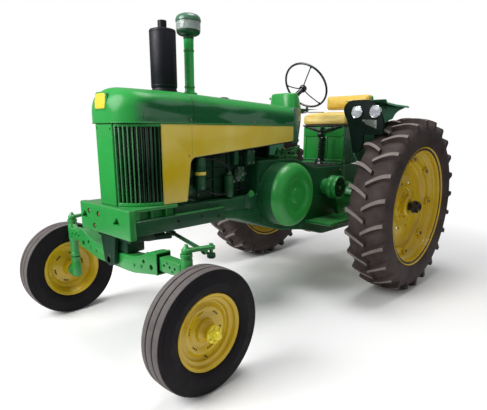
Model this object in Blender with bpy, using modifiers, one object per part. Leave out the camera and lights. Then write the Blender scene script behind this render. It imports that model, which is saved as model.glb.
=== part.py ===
"""Row-crop tractor of the 1950s with a wide adjustable front axle, as separate named pieces.

Metres, +Z up. The front faces -Y and the tractor's left side faces +X. The origin is on
the ground under the middle of the tractor. Inside the script every place is measured from
the point on the ground under the rear axle, and the empty named tractor_datum moves the
whole to its origin.
"""
import bpy
import bmesh
from math import cos, pi, radians, sin, sqrt, tau
from mathutils import Matrix, Vector

# Fits
FIT = 0.0003                 # gap between pieces that touch
PIN_CLEARANCE = 0.001        # round a pin that turns in its bore
RUNNING_GAP = 0.006          # between a moving piece and its neighbour
BEAD_CLEARANCE = 0.001       # between a tyre's bead and the edge of the rim's flange

# Driving sizes
WHEELBASE = 2.286
FRONT_TYRE_RADIUS = 0.345
FRONT_TYRE_WIDTH = 0.157
FRONT_WHEEL_X = 0.7775
REAR_TYRE_RADIUS = 0.736
REAR_TYRE_WIDTH = 0.327
REAR_WHEEL_X = 0.821

# Places along the main casting, as shares of the wheelbase ahead of the rear axle
AHEAD_SHARES = {
    "head_front": 0.855206,
    "engine_front": 0.787402,
    "filter": 0.769904,
    "case_front": 0.765529,
    "intake": 0.739283,
    "tank_front": 0.699913,
    "tank_front_leg": 0.673666,
    "case_step": 0.651794,
    "filler_cap": 0.599300,
    "cover_boss": 0.591864,
    "crank_front": 0.546807,
    "crank": 0.441820,
    "sump": 0.437445,
    "tank_rear": 0.380577,
    "hood_rear": 0.371829,
    "crank_rear": 0.349956,
    "case_mid": 0.262467,
    "case_top": 0.218723,
    "case_low_front": 0.153106,
    "brake": 0.150919,
}
AHEAD = {name: -WHEELBASE * share for name, share in AHEAD_SHARES.items()}

# Places at the nose, in metres behind the front axle
NOSE_SETBACKS = {
    "bolster": -0.103,
    "nose": -0.071,
    "radiator": 0.016,
    "grille_rear": 0.163,
    "centre_arm": 0.206,
    "core_rear": 0.266,
    "panel_notch": 0.386,
}
AT_NOSE = {name: -WHEELBASE + setback for name, setback in NOSE_SETBACKS.items()}

# Places behind the hood, in metres behind its rear edge
COWL_SETBACKS = {
    "cowl_foot": 0.035,
    "hump_front": 0.030,
    "cowl_back": 0.155,
    "hump_side": 0.190,
    "column_foot": 0.290,
    "hump_back": 0.325,
    "steering_wheel": 0.490,
}
AT_COWL = {name: AHEAD["hood_rear"] + setback for name, setback in COWL_SETBACKS.items()}

# Front tyre and rim
FRONT_SEGMENTS = 20
FRONT_TREAD_HALF = 0.052
FRONT_SHOULDER_DROP = 0.012
FRONT_SHOULDER_SHARE = 0.93
FRONT_BEAD_HALF = 0.052
FRONT_SEAT_RADIUS = 0.194
FRONT_BULGE_SHARE = 0.503
FRONT_BULGE_RADIUS = FRONT_SEAT_RADIUS + (FRONT_TYRE_RADIUS - FRONT_SEAT_RADIUS) * FRONT_BULGE_SHARE
FRONT_FLANGE_HEIGHT = 0.018
FRONT_FLANGE_RADIUS = FRONT_SEAT_RADIUS + FRONT_FLANGE_HEIGHT
FRONT_BEAD_RADIUS = FRONT_FLANGE_RADIUS + BEAD_CLEARANCE
FRONT_FLANGE_THICKNESS = 0.007
FRONT_WELL_DEPTH = 0.022
FRONT_WELL_RADIUS = FRONT_SEAT_RADIUS - FRONT_WELL_DEPTH
FRONT_RIM_WALL = 0.006
FRONT_DISC_STEP = 0.052
FRONT_DISC_STEP_RADIUS = FRONT_WELL_RADIUS - FRONT_DISC_STEP
FRONT_DISC_DEPTH = 0.022
FRONT_HUB_RADIUS = 0.062
FRONT_HUB_INNER = 0.072
FRONT_HUB_OUTER = 0.036
FRONT_CAP_RADIUS = 0.034
FRONT_CAP_LENGTH = 0.038
FRONT_GROOVE_WIDTH = 0.010
FRONT_GROOVE_DEPTH = 0.008

# Rear tyre and rim
LUG_PAIRS = 22
LUG_HEIGHT = 0.034
LUG_WIDTH = 0.030
LUG_SWEEP = radians(38)
LUG_INNER_X = -0.012
LUG_OUTER_X = 0.158
LUG_FOOT = 0.012
REAR_SHOULDER_X = 0.132
REAR_SHOULDER_DROP = 0.024
REAR_BEAD_HALF = 0.134
REAR_SEAT_RADIUS = 0.474
REAR_BULGE_SHARE = 0.424
REAR_BULGE_RADIUS = REAR_SEAT_RADIUS + (REAR_TYRE_RADIUS - REAR_SEAT_RADIUS) * REAR_BULGE_SHARE
REAR_FLANGE_HEIGHT = 0.030
REAR_FLANGE_RADIUS = REAR_SEAT_RADIUS + REAR_FLANGE_HEIGHT
REAR_BEAD_RADIUS = REAR_FLANGE_RADIUS + BEAD_CLEARANCE
REAR_FLANGE_THICKNESS = 0.010
REAR_WELL_DEPTH = 0.034
REAR_WELL_RADIUS = REAR_SEAT_RADIUS - REAR_WELL_DEPTH
REAR_RIM_WALL = 0.010
REAR_DISC_X = 0.030
REAR_DISC_STEP = 0.080
REAR_DISC_STEP_RADIUS = REAR_WELL_RADIUS - REAR_DISC_STEP
REAR_DISC_DEPTH = 0.045
REAR_HUB_RADIUS = 0.085
REAR_HUB_HALF = 0.070

# Rear axle
AXLE_SHAFT_RADIUS = 0.038
AXLE_SHAFT_END_X = 0.967
AXLE_SHAFT_INNER_X = 0.400
HOUSING_FLANGE_RADIUS = 0.165
HOUSING_FLANGE_LENGTH = 0.040
HOUSING_ROOT_RADIUS = 0.125
HOUSING_TIP_RADIUS = 0.072
HOUSING_TIP_X = 0.590

# Front axle
BEAM_HALF_DEPTH = 0.050
BEAM_END_X = 0.455
BEAM_MID_X = 0.200
BEAM_MID_BOTTOM_Z = 0.535
BEAM_MID_TOP_Z = 0.632
BEAM_END_BOTTOM_Z = 0.578
BEAM_END_TOP_Z = 0.706
BEAM_EAR_X = 0.385
BEAM_HOLE_X = 0.326
BEAM_HOLE_Z = 0.632
BEAM_HOLE_RADIUS = 0.014
PIVOT_Z = 0.583
PIVOT_RADIUS = 0.022
KINGPIN_X = 0.655
KINGPIN_RADIUS = 0.019
KINGPIN_TOP_Z = 0.785
SPINDLE_TUBE_RADIUS = 0.033
SPINDLE_TUBE_BOTTOM_Z = 0.460
SPINDLE_TUBE_TOP_Z = 0.735
EXTENSION_HALF_DEPTH = 0.034
EXTENSION_BOTTOM_Z = 0.600
EXTENSION_TOP_Z = 0.684
EXTENSION_HOLES = (0.045, 0.096, 0.140)     # out from the end of the beam
EXTENSION_HOLE_RADIUS = 0.009
EXTENSION_HOLE_Z = (EXTENSION_BOTTOM_Z + EXTENSION_TOP_Z) / 2
STUB_RADIUS = 0.022
KNUCKLE_HALF_WIDTH = 0.036
KNUCKLE_HALF_DEPTH = 0.040
KNUCKLE_BOTTOM_Z = 0.298

# Steering linkage: knuckle arms and centre arm are alike, so the rods only shift
ARM_X = 0.040
ARM_Y = 0.140
ARM_BOTTOM_Z = 0.741
ARM_THICKNESS = 0.020
ARM_RADIUS = 0.026
ROD_Z = 0.705
ROD_RADIUS = 0.013
ROD_EYE_RADIUS = 0.024
ROD_EYE_HALF = 0.014
ROD_PIN_RADIUS = 0.010
CENTRE_ARM_Y = AT_NOSE["centre_arm"]
CENTRE_ARM_THICKNESS = 0.022
CENTRE_SHAFT_RADIUS = 0.022
POST_RADIUS = 0.065
POST_BOTTOM_Z = 0.700

# Front frame
BOLSTER_FRONT_Y = AT_NOSE["bolster"]
BOLSTER_THICKNESS = 0.044
BOLSTER_HALF_WIDTH = 0.290
BOLSTER_BOTTOM_Z = 0.748
BOLSTER_POCKET_X = 0.147
BOLSTER_POCKET_Z = 0.824
BOLSTER_POCKET_HALF = 0.022
BOLSTER_POCKET_HEIGHT = 0.042
BOLSTER_POCKET_DEPTH = 0.014
FRAME_TOP_Z = 0.925
FRAME_CORE_HALF = 0.225
FRAME_CORE_REAR_Y = AT_NOSE["core_rear"]
FRAME_CORE_BOTTOM_Z = 0.785
RAIL_OUTER_X = 0.285
RAIL_BOTTOM_Z = 0.768
RAIL_TOP_Z = 0.856
RAIL_LAP = 0.110
RAIL_REAR_Y = AHEAD["case_front"] + RAIL_LAP
RAIL_FLANGE = 0.014
EAR_HALF_WIDTH = 0.095
EAR_THICKNESS = 0.028
EAR_BOTTOM_Z = 0.545

# Sheet metal
HOOD_HALF_WIDTH = 0.250
SHEET = 0.004
SIDE_TOP_Z = 1.402
NOSE_FRONT_Y = AT_NOSE["nose"]
NOSE_CORNER_RADIUS = 0.105
NOSE_TOP_RADIUS = 0.075
HOOD_SEAM_SETBACK = 0.085
HOOD_SEAM_Y = AHEAD["head_front"] + HOOD_SEAM_SETBACK
HOOD_REAR_Y = AHEAD["hood_rear"]
CROWN_FRONT_Z = 1.606
CROWN_REAR_Z = 1.552
SHOULDER_RADIUS = 0.100
CROWN_RISE = 0.016
SHOULDER_STEPS = 5
NOSE_STEPS = 6
GRILLE_SETBACK = 0.012
GRILLE_FRONT_Y = NOSE_FRONT_Y + GRILLE_SETBACK
GRILLE_REAR_Y = AT_NOSE["grille_rear"]
GRILLE_CORNER_RADIUS = 0.100
GRILLE_DEPTH = 0.022
GRILLE_RAIL_HEIGHT = 0.020
GRILLE_STRIP_HALF = 0.092
GRILLE_BARS = 10
GRILLE_BAR_WIDTH = 0.009
PANEL_THICKNESS = 0.006
PANEL_REAR_GAP = 0.003
PANEL_REAR_Y = HOOD_REAR_Y - PANEL_REAR_GAP
PANEL_REAR_BOTTOM_Z = 1.287
PANEL_NOTCH_Y = AT_NOSE["panel_notch"]
PANEL_NOTCH_Z = 1.196
PANEL_NOTCH_RADIUS = 0.035
PANEL_NOTCH_SLANT = 0.036
PANEL_FOOT_REAR_Y = PANEL_NOTCH_Y - PANEL_NOTCH_SLANT

# Radiator and tank
RADIATOR_HALF_WIDTH = 0.200
RADIATOR_FRONT_Y = AT_NOSE["radiator"]
RADIATOR_DEPTH = 0.120
RADIATOR_REAR_Y = RADIATOR_FRONT_Y + RADIATOR_DEPTH
RADIATOR_TANK_BOTTOM_Z = 1.410
RADIATOR_TANK_TOP_Z = 1.485
TANK_FRONT_Y = AHEAD["tank_front"]
TANK_REAR_Y = AHEAD["tank_rear"]
TANK_BOTTOM_Z = 1.385
TANK_TOP_Z = 1.505
TANK_SIDE_Z = 1.430
TANK_CHAMFER = 0.085
TANK_LEG_HALF_WIDTH = 0.110
TANK_LEG_THICKNESS = 0.030
TANK_FRONT_LEG_Y = AHEAD["tank_front_leg"]
TANK_REAR_LEG_Y = AHEAD["sump"]

# Engine
ENGINE_HALF_WIDTH = 0.165
ENGINE_FRONT_Y = AHEAD["engine_front"]
ENGINE_TOP_Z = 1.250
HEAD_FRONT_Y = AHEAD["head_front"]
HEAD_HALF_WIDTH = 0.190
HEAD_BOTTOM_Z = 0.930
HEAD_TOP_Z = 1.225
FILTER_Y = AHEAD["filter"]
FILTER_RADIUS = 0.042
FILTER_BOTTOM_Z = 0.985
FILTER_TOP_Z = 1.200
FILTER_BAND_Z = 1.100
FILTER_BRACKET_HALF = 0.030
FILTER_CAP_SHARE = 0.8
FILTER_FOOT_SHARE = 0.6

# Main case
CASE_HALF_WIDTH = 0.235
CASE_FRONT_Y = AHEAD["case_front"]
CASE_FRONT_BOTTOM_Z = 0.775
CASE_DECK_Z = 0.900
CASE_STEP_Y = AHEAD["case_step"]
CASE_STEP_Z = 0.752
CRANK_FRONT_Y = AHEAD["crank_front"]
CRANK_TOP_Z = 1.150
CRANK_REAR_Y = AHEAD["crank_rear"]
SUMP_Y = AHEAD["sump"]
SUMP_Z = 0.585
CASE_MID_Y = AHEAD["case_mid"]
CASE_MID_Z = 0.525
CASE_TOP_Y = AHEAD["case_top"]
CASE_TOP_Z = 1.060
CASE_LOW_FRONT_Y = AHEAD["case_low_front"]
CASE_LOW_Z = 0.445
CASE_LOW_REAR_Y = 0.240
CASE_REAR_Y = 0.330
CASE_REAR_BOTTOM_Z = 0.560
CASE_REAR_TOP_Z = 0.950
CASE_CORNER_Y = 0.230
COVER_BOSS_Y = AHEAD["cover_boss"]
COVER_BOSS_Z = 0.923
COVER_BOSS_RADIUS = 0.060
COVER_BOSS_HEIGHT = 0.016
CRANK_Y = AHEAD["crank"]
CRANK_Z = 0.887
FLYWHEEL_RADIUS = 0.245
FLYWHEEL_EDGE_X = 0.350
FLYWHEEL_FACE_X = 0.412
FLYWHEEL_FACE_RADIUS = 0.165
FLYWHEEL_DISH_X = 0.398
FLYWHEEL_DISH_RADIUS = 0.120
FLYWHEEL_HUB_RADIUS = 0.060
FLYWHEEL_HUB_X = 0.408
PULLEY_RADIUS = 0.160
PULLEY_WIDTH = 0.185
PULLEY_RIM = 0.012
PULLEY_WEB = 0.020
PULLEY_HUB_RADIUS = 0.055
PULLEY_HUB_END = 0.030
PULLEY_SEAT_RADIUS = 0.070
PULLEY_SEAT_LENGTH = 0.030
PULLEY_STUB_SHARE = 0.6
BRAKE_Y = AHEAD["brake"]
BRAKE_Z = 0.885
BRAKE_RADIUS = 0.102
BRAKE_EDGE_X = 0.385
BRAKE_FACE_X = 0.400
BRAKE_NECK_RADIUS = 0.070
BRAKE_NECK_X = 0.290
BRAKE_FACE_SHARE = 0.85

# Stacks
MUFFLER_SETBACK = 0.030
MUFFLER_Y = HOOD_SEAM_Y - MUFFLER_SETBACK
MUFFLER_RADIUS = 0.083
MUFFLER_BOTTOM_Z = 1.622
MUFFLER_LENGTH = 0.350
MUFFLER_TOP_Z = MUFFLER_BOTTOM_Z + MUFFLER_LENGTH
MUFFLER_EDGE = 0.010
PIPE_RADIUS = 0.028
PIPE_LENGTH = 0.052
PIPE_TOP_Z = MUFFLER_TOP_Z + PIPE_LENGTH
STACK_Y = AHEAD["intake"]
STACK_RADIUS = 0.033
STACK_TOP_Z = 1.945
FUNNEL_HEIGHT = 0.050
FUNNEL_TOP_Z = STACK_TOP_Z + FUNNEL_HEIGHT
FUNNEL_RADIUS = 0.078
BOWL_RADIUS = 0.080
BOWL_HEIGHT = 0.055
BOWL_TOP_Z = FUNNEL_TOP_Z + BOWL_HEIGHT
LID_RADIUS = 0.086
LID_SKIRT = 0.028
LID_EDGE_Z = BOWL_TOP_Z + LID_SKIRT
LID_DOME = 0.023
LID_CROWN_SHARE = 0.6
LID_TOP_Z = LID_EDGE_Z + LID_DOME
HOLE_CLEARANCE = 0.0012
CAP_Y = AHEAD["filler_cap"]
CAP_RADIUS = 0.036
CAP_HEIGHT = 0.022
CAP_CROWN_SHARE = 0.7

# Cowl and steering column
COWL_FOOT_Y = AT_COWL["cowl_foot"]
COWL_FOOT_Z = 1.271
COWL_BACK_Y = AT_COWL["cowl_back"]
COWL_SHOULDER_Z = 1.540
COWL_FOOT_HALF = 0.238
COWL_BACK_HALF = 0.205
COWL_WAIST_Z = 1.450
COWL_ROUND = 0.012
HUMP_HALF_WIDTH = 0.180
HUMP_TOP_HALF = 0.160
HUMP_BACK_SHARE = 0.45
HUMP_FRONT_Y = AT_COWL["hump_front"]
HUMP_SIDE_Y = AT_COWL["hump_side"]
HUMP_BACK_Y = AT_COWL["hump_back"]
HUMP_LEAN = 0.060
HUMP_TOP_Z = 1.668
HUMP_BROW_Z = 1.560
HUMP_FOOT_Z = 1.480
STEER_Y = AT_COWL["steering_wheel"]
STEER_Z = 1.754
STEER_TILT = radians(56.7)
STEER_RADIUS = 0.205
STEER_RIM_RADIUS = 0.0095
STEER_SPOKES = 3
STEER_SPOKE_TURN = radians(64)
STEER_SPOKE_RADIUS = 0.006
STEER_HUB_RADIUS = 0.026
STEER_HUB_HALF = 0.022
STEER_DISH = 0.020
STEER_SHAFT_RADIUS = 0.011
STEER_SHAFT_LENGTH = 0.120
COLUMN_RADIUS = 0.021
COLUMN_FOOT_Y = AT_COWL["column_foot"]
STEER_SEGMENTS = 28

# Seat
SEAT_HALF_WIDTH = 0.240
SEAT_FRONT_Y = -0.060
SEAT_DEPTH = 0.410
SEAT_BOTTOM_Z = 1.420
SEAT_THICKNESS = 0.120
SEAT_ROUND = 0.030
BACK_FRONT_Y = 0.355
BACK_THICKNESS = 0.090
BACK_BOTTOM_Z = 1.578
BACK_HEIGHT = 0.136
PAN_THICKNESS = 0.014
PAN_RIM = 0.012
BACK_STRAP_HALF = 0.030
SEAT_BOX_HALF = 0.225
SEAT_BOX_FRONT_Y = -0.050
SEAT_BOX_REAR_Y = 0.320
SEAT_BOX_BORDER = 0.030
SEAT_BOX_RIB = 0.050
SEAT_BOX_RECESS = 0.010
SEAT_BOX_STEP_Z = 1.312

# Fenders and lamps
FENDER_INNER_X = 0.460
FENDER_OUTER_X = 0.815
FENDER_CLEARANCE = 0.130
FENDER_TOP_Z = REAR_TYRE_RADIUS * 2 + FENDER_CLEARANCE
FENDER_REACH_SHARE = 0.6114
FENDER_TAIL_SHARE = 0.685
FENDER_FRONT_Y = -REAR_TYRE_RADIUS * FENDER_REACH_SHARE
FENDER_TAIL_Y = REAR_TYRE_RADIUS * FENDER_TAIL_SHARE
FENDER_FLANGE = 0.018
FENDER_LIP = 0.020
FENDER_SHEET = 0.005
FENDER_WALL_X = 0.560
# columns: place behind the rear axle, drop below the top
FENDER_SLOPE = (
    (0.279, 0.066),
    (0.199, 0.127),
    (0.094, 0.158),
)
# columns: place behind the rear axle, place out from the middle of the tractor
FENDER_EDGE = (
    (-0.380, 0.778),
    (-0.180, 0.690),
    (0.200, 0.605),
)
FENDER_NECK_Y = 0.010
FENDER_NECK_DROP = 0.402
FENDER_FOOT_HALF = 0.075
FENDER_FRONT_DROP = 0.412
LIGHT_PANEL_DEPTH = 0.020
LIGHT_PANEL_ROUND = 0.045
LIGHT_PANEL_WAIST = 0.052
TYRE_CLEARANCE = 0.014
# columns: place out from the panel's inner edge, drop below its top
LIGHT_PANEL_FOOT = (
    (0.103, FENDER_FRONT_DROP),
    (0.151, 0.408),
    (0.188, 0.360),
)
# the same columns, up the outer side from the widest point
LIGHT_PANEL_SIDE = (
    (0.355, 0.164),
    (0.340, 0.120),
    (0.311, 0.073),
    (0.282, 0.038),
    (0.249, 0.014),
    (0.210, 0.003),
)
LAMP_RADIUS = 0.049
LAMP_DEPTH = 0.022
LAMP_DROP = 0.092
LAMP_Z = FENDER_TOP_Z - LAMP_DROP
LAMP_INNER_X = 0.584
LAMP_OUTER_X = 0.738
LAMP_SEGMENTS = 20
LAMP_EDGE_SHARE = 0.9

# Platforms, drawbar, levers
PLATFORM_FRONT_Y = -0.640
PLATFORM_REAR_Y = -0.200
PLATFORM_OUTER_X = 0.500
PLATFORM_TOP_Z = 0.620
PLATFORM_THICKNESS = 0.025
DRAWBAR_HALF_WIDTH = 0.035
DRAWBAR_THICKNESS = 0.032
DRAWBAR_FRONT_Y = -0.250
DRAWBAR_REAR_Y = 0.700
DRAWBAR_HOLE_RADIUS = 0.014
LEVER_X = 0.050
LEVER_Y = -0.180
LEVER_RADIUS = 0.012
LEVER_TOP_Z = 1.330
LEVER_KNOB_RADIUS = 0.022

SEGMENTS = 16
SMALL_SEGMENTS = 10
ROUND_SEGMENTS = 24
CUT_OVERRUN = 0.020

REAR_AXLE_Y = (WHEELBASE + FRONT_TYRE_RADIUS - REAR_TYRE_RADIUS) / 2

# Colours: name -> (red, green, blue, roughness, metallic)
PAINTS = {
    "green": (0.020, 0.240, 0.035, 0.30, 0.0),
    "dark_green": (0.010, 0.120, 0.030, 0.45, 0.0),
    "yellow": (0.600, 0.400, 0.020, 0.35, 0.0),
    "black": (0.010, 0.010, 0.012, 0.45, 0.0),
    "rubber": (0.020, 0.018, 0.018, 0.85, 0.0),
    "steel": (0.300, 0.300, 0.300, 0.40, 0.8),
    "glass": (0.600, 0.700, 0.650, 0.10, 0.0),
    "seat": (0.700, 0.500, 0.150, 0.60, 0.0),
}


# Scene set-up

def clear_scene():
    """Removes what the start file holds, so that only the tractor is left."""
    for item in list(bpy.data.objects):
        bpy.data.objects.remove(item, do_unlink=True)


def collection(name):
    """A collection under the scene's own."""
    made = bpy.data.collections.new(name)
    bpy.context.scene.collection.children.link(made)
    return made


def paint(name):
    """The Principled material for one named colour."""
    found = bpy.data.materials.get(name)
    if found:
        return found
    red, green, blue, roughness, metallic = PAINTS[name]
    made = bpy.data.materials.new(name)
    made.use_nodes = True
    shader = made.node_tree.nodes["Principled BSDF"]
    shader.inputs["Base Color"].default_value = (red, green, blue, 1.0)
    shader.inputs["Roughness"].default_value = roughness
    shader.inputs["Metallic"].default_value = metallic
    return made


def empty(name, place, parent=None):
    """An empty that marks a datum or a joint's axis."""
    made = bpy.data.objects.new(name, None)
    PIECES.objects.link(made)
    made.parent = parent
    made.location = place
    return made


# Shapes: each returns an object whose mesh is in its own coordinates

def raw_object(name, mesh):
    """An object for a mesh, in no collection yet but the pieces'."""
    made = bpy.data.objects.new(name, mesh)
    PIECES.objects.link(made)
    return made


def face_outward(bm):
    """Turns every face of a closed bmesh to point out."""
    bmesh.ops.recalc_face_normals(bm, faces=bm.faces)
    if bm.calc_volume(signed=True) < 0:
        bmesh.ops.reverse_faces(bm, faces=bm.faces)


def from_bmesh(name, bm):
    """Closes a bmesh into an object, its faces pointing out."""
    face_outward(bm)
    mesh = bpy.data.meshes.new(name)
    bm.to_mesh(mesh)
    bm.free()
    return raw_object(name, mesh)


def box(name, low, high, rounding=0.0, steps=2):
    """A block between two corners, its edges rounded by a Bevel where asked."""
    bm = bmesh.new()
    bmesh.ops.create_cube(bm, size=1.0)
    size = [b - a for a, b in zip(low, high)]
    middle = [(a + b) / 2 for a, b in zip(low, high)]
    bmesh.ops.scale(bm, vec=size, verts=bm.verts)
    bmesh.ops.translate(bm, vec=middle, verts=bm.verts)
    made = from_bmesh(name, bm)
    if rounding:
        bevel = made.modifiers.new("rounding", "BEVEL")
        bevel.width = rounding
        bevel.segments = steps
        bevel.limit_method = "ANGLE"
    return made


AXES = {
    "X": Matrix.Rotation(pi / 2, 4, "Y"),
    "-X": Matrix.Rotation(-pi / 2, 4, "Y"),
    "Y": Matrix.Rotation(-pi / 2, 4, "X"),
    "Z": Matrix.Identity(4),
}


def cylinder(name, radius, start, end, axis="Z", segments=SMALL_SEGMENTS, tip_radius=None):
    """A round bar from start to end along one axis; start and end are 3-D points on it."""
    start, end = Vector(start), Vector(end)
    length = (end - start).length
    bm = bmesh.new()
    bmesh.ops.create_cone(bm, cap_ends=True, segments=segments, radius1=radius,
                          radius2=radius if tip_radius is None else tip_radius, depth=length)
    turn = AXES[axis] if axis else (end - start).to_track_quat("Z", "Y").to_matrix().to_4x4()
    bm.transform(Matrix.Translation((start + end) / 2) @ turn)
    return from_bmesh(name, bm)


def turned(name, profile, axis="Z", segments=SEGMENTS, place=(0, 0, 0), closed=False):
    """A turned solid. profile is (radius, height) points; an open one starts and ends on the axis."""
    bm = bmesh.new()
    rim = [bm.verts.new((radius, 0, height)) for radius, height in profile]
    for first, second in zip(rim, rim[1:] + ([rim[0]] if closed else [])):
        bm.edges.new((first, second))
    mesh = bpy.data.meshes.new(name)
    bm.to_mesh(mesh)
    bm.free()
    made = raw_object(name, mesh)
    screw = made.modifiers.new("turning", "SCREW")
    screw.steps = screw.render_steps = segments
    screw.use_merge_vertices = True
    screw.merge_threshold = FIT / 10
    screw.use_normal_calculate = True
    return settle(made, Matrix.Translation(place) @ AXES[axis])


def prism(name, outline, low, high, axis="X"):
    """A flat outline drawn as a filled 2-D curve and thickened between low and high along an axis.

    The outline's two numbers are the two other axes in X, Y, Z order.
    """
    curve = bpy.data.curves.new(name, "CURVE")
    curve.dimensions = "2D"
    curve.fill_mode = "BOTH"
    curve.extrude = (high - low) / 2
    loops = outline if isinstance(outline[0][0], (tuple, list)) else [outline]
    for loop in loops:
        spline = curve.splines.new("POLY")
        spline.points.add(len(loop) - 1)
        for point, (first, second) in zip(spline.points, loop):
            point.co = (first, second, 0, 1)
        spline.use_cyclic_u = True
    made = raw_object(name, curve)
    frames = {
        "X": Matrix(((0, 0, 1, 0), (1, 0, 0, 0), (0, 1, 0, 0), (0, 0, 0, 1))),
        "Y": Matrix(((1, 0, 0, 0), (0, 0, 1, 0), (0, 1, 0, 0), (0, 0, 0, 1))),
        "Z": Matrix.Identity(4),
    }
    shift = {"X": (1, 0, 0), "Y": (0, 1, 0), "Z": (0, 0, 1)}[axis]
    middle = (low + high) / 2
    return settle(made, Matrix.Translation([middle * part for part in shift]) @ frames[axis])


def tube(name, points, radius, closed=False, resolution=2):
    """A round bar along a line of points, with filled ends."""
    curve = bpy.data.curves.new(name, "CURVE")
    curve.dimensions = "3D"
    curve.bevel_depth = radius
    curve.bevel_resolution = resolution
    curve.use_fill_caps = not closed
    spline = curve.splines.new("POLY")
    spline.points.add(len(points) - 1)
    for point, place in zip(spline.points, points):
        point.co = (*place, 1)
    spline.use_cyclic_u = closed
    return settle(raw_object(name, curve), Matrix.Identity(4))


def settle(item, matrix):
    """Turns an object into a plain welded mesh, moved by matrix, with its faces pointing out."""
    name = item.name
    bpy.context.view_layer.update()
    graph = bpy.context.evaluated_depsgraph_get()
    mesh = bpy.data.meshes.new_from_object(item.evaluated_get(graph))
    bpy.data.objects.remove(item, do_unlink=True)
    bm = bmesh.new()
    bm.from_mesh(mesh)
    bmesh.ops.remove_doubles(bm, verts=bm.verts, dist=FIT / 10)
    bm.transform(matrix)
    face_outward(bm)
    bm.to_mesh(mesh)
    bm.free()
    made = raw_object(name, mesh)
    made.name = mesh.name = name
    return made


def shell(name, rows, thickness, caps=()):
    """An open sheet through rows of points, thickened inward. caps name rows that are filled."""
    bm = bmesh.new()
    grid = [[bm.verts.new(point) for point in row] for row in rows]
    for row, after in zip(grid, grid[1:]):
        for a, b, c, d in zip(row, row[1:], after[1:], after):
            bm.faces.new((a, b, c, d))
    for index in caps:
        bm.faces.new(grid[index])
    bmesh.ops.recalc_face_normals(bm, faces=bm.faces)
    upward = sum(face.normal.z * face.calc_area() for face in bm.faces)
    if upward < 0:
        bmesh.ops.reverse_faces(bm, faces=bm.faces)
    mesh = bpy.data.meshes.new(name)
    bm.to_mesh(mesh)
    bm.free()
    made = raw_object(name, mesh)
    skin = made.modifiers.new("skin", "SOLIDIFY")
    skin.thickness = thickness
    skin.offset = -1
    skin.use_even_offset = True
    return settle(made, Matrix.Identity(4))


def combine(base, others, operation="UNION"):
    """Joins other shapes to base, or cuts them out of it, through one collection of tools."""
    group = bpy.data.collections.new(base.name + "_tools")
    CUTTERS.children.link(group)
    for item in others:
        for owner in list(item.users_collection):
            owner.objects.unlink(item)
        group.objects.link(item)
        item.hide_render = True
        item.display_type = "WIRE"
    change = base.modifiers.new(operation.lower(), "BOOLEAN")
    change.operation = operation
    change.operand_type = "COLLECTION"
    change.collection = group
    return base


def finish(item, colour, parent, smooth=True):
    """Gives a piece its material, its parent and its shading."""
    item.parent = parent
    tools = bpy.data.collections.get(item.name + "_tools")
    for tool in tools.objects if tools else ():
        tool.parent = parent
    item.data.materials.clear()
    item.data.materials.append(paint(colour))
    if smooth:
        item.data.shade_smooth()
        item.data.set_sharp_from_angle(angle=radians(35))
    return item


def arc(centre, radius, start, end, steps):
    """Points on an arc from one angle to another, in degrees, both ends included."""
    first, last = radians(start), radians(end)
    return [(centre[0] + radius * cos(first + (last - first) * step / steps),
             centre[1] + radius * sin(first + (last - first) * step / steps))
            for step in range(steps + 1)]


def outward(side):
    """The axis that points away from the tractor's middle on one side."""
    return "X" if side > 0 else "-X"


def mirrored(points):
    """A half outline, from one side of x = 0, completed with its mirror image."""
    return list(points) + [(-x, z) for x, z in reversed(points) if x > FIT]


# Wheels

def front_tyre(name, parent):
    """The steered tyre: round shoulders and three plain ribs round the tread."""
    half = FRONT_TYRE_WIDTH / 2
    crown = FRONT_TYRE_RADIUS
    groove = FRONT_TREAD_HALF / 3
    side = [
        (FRONT_SEAT_RADIUS, 0),
        (FRONT_SEAT_RADIUS, FRONT_BEAD_HALF),
        (FRONT_BEAD_RADIUS, FRONT_BEAD_HALF),
        (FRONT_BULGE_RADIUS, half),
        (crown - FRONT_SHOULDER_DROP * 2, half * FRONT_SHOULDER_SHARE),
        (crown - FRONT_SHOULDER_DROP / 4, FRONT_TREAD_HALF),
        (crown - FRONT_SHOULDER_DROP / 8, groove + FRONT_GROOVE_WIDTH),
        (crown - FRONT_GROOVE_DEPTH, groove + FRONT_GROOVE_WIDTH / 2),
        (crown, groove),
    ]
    profile = side + [(radius, -height) for radius, height in reversed(side[1:])]
    tyre = turned(name, profile, "X", FRONT_SEGMENTS, closed=True)
    return finish(tyre, "rubber", parent)


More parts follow.
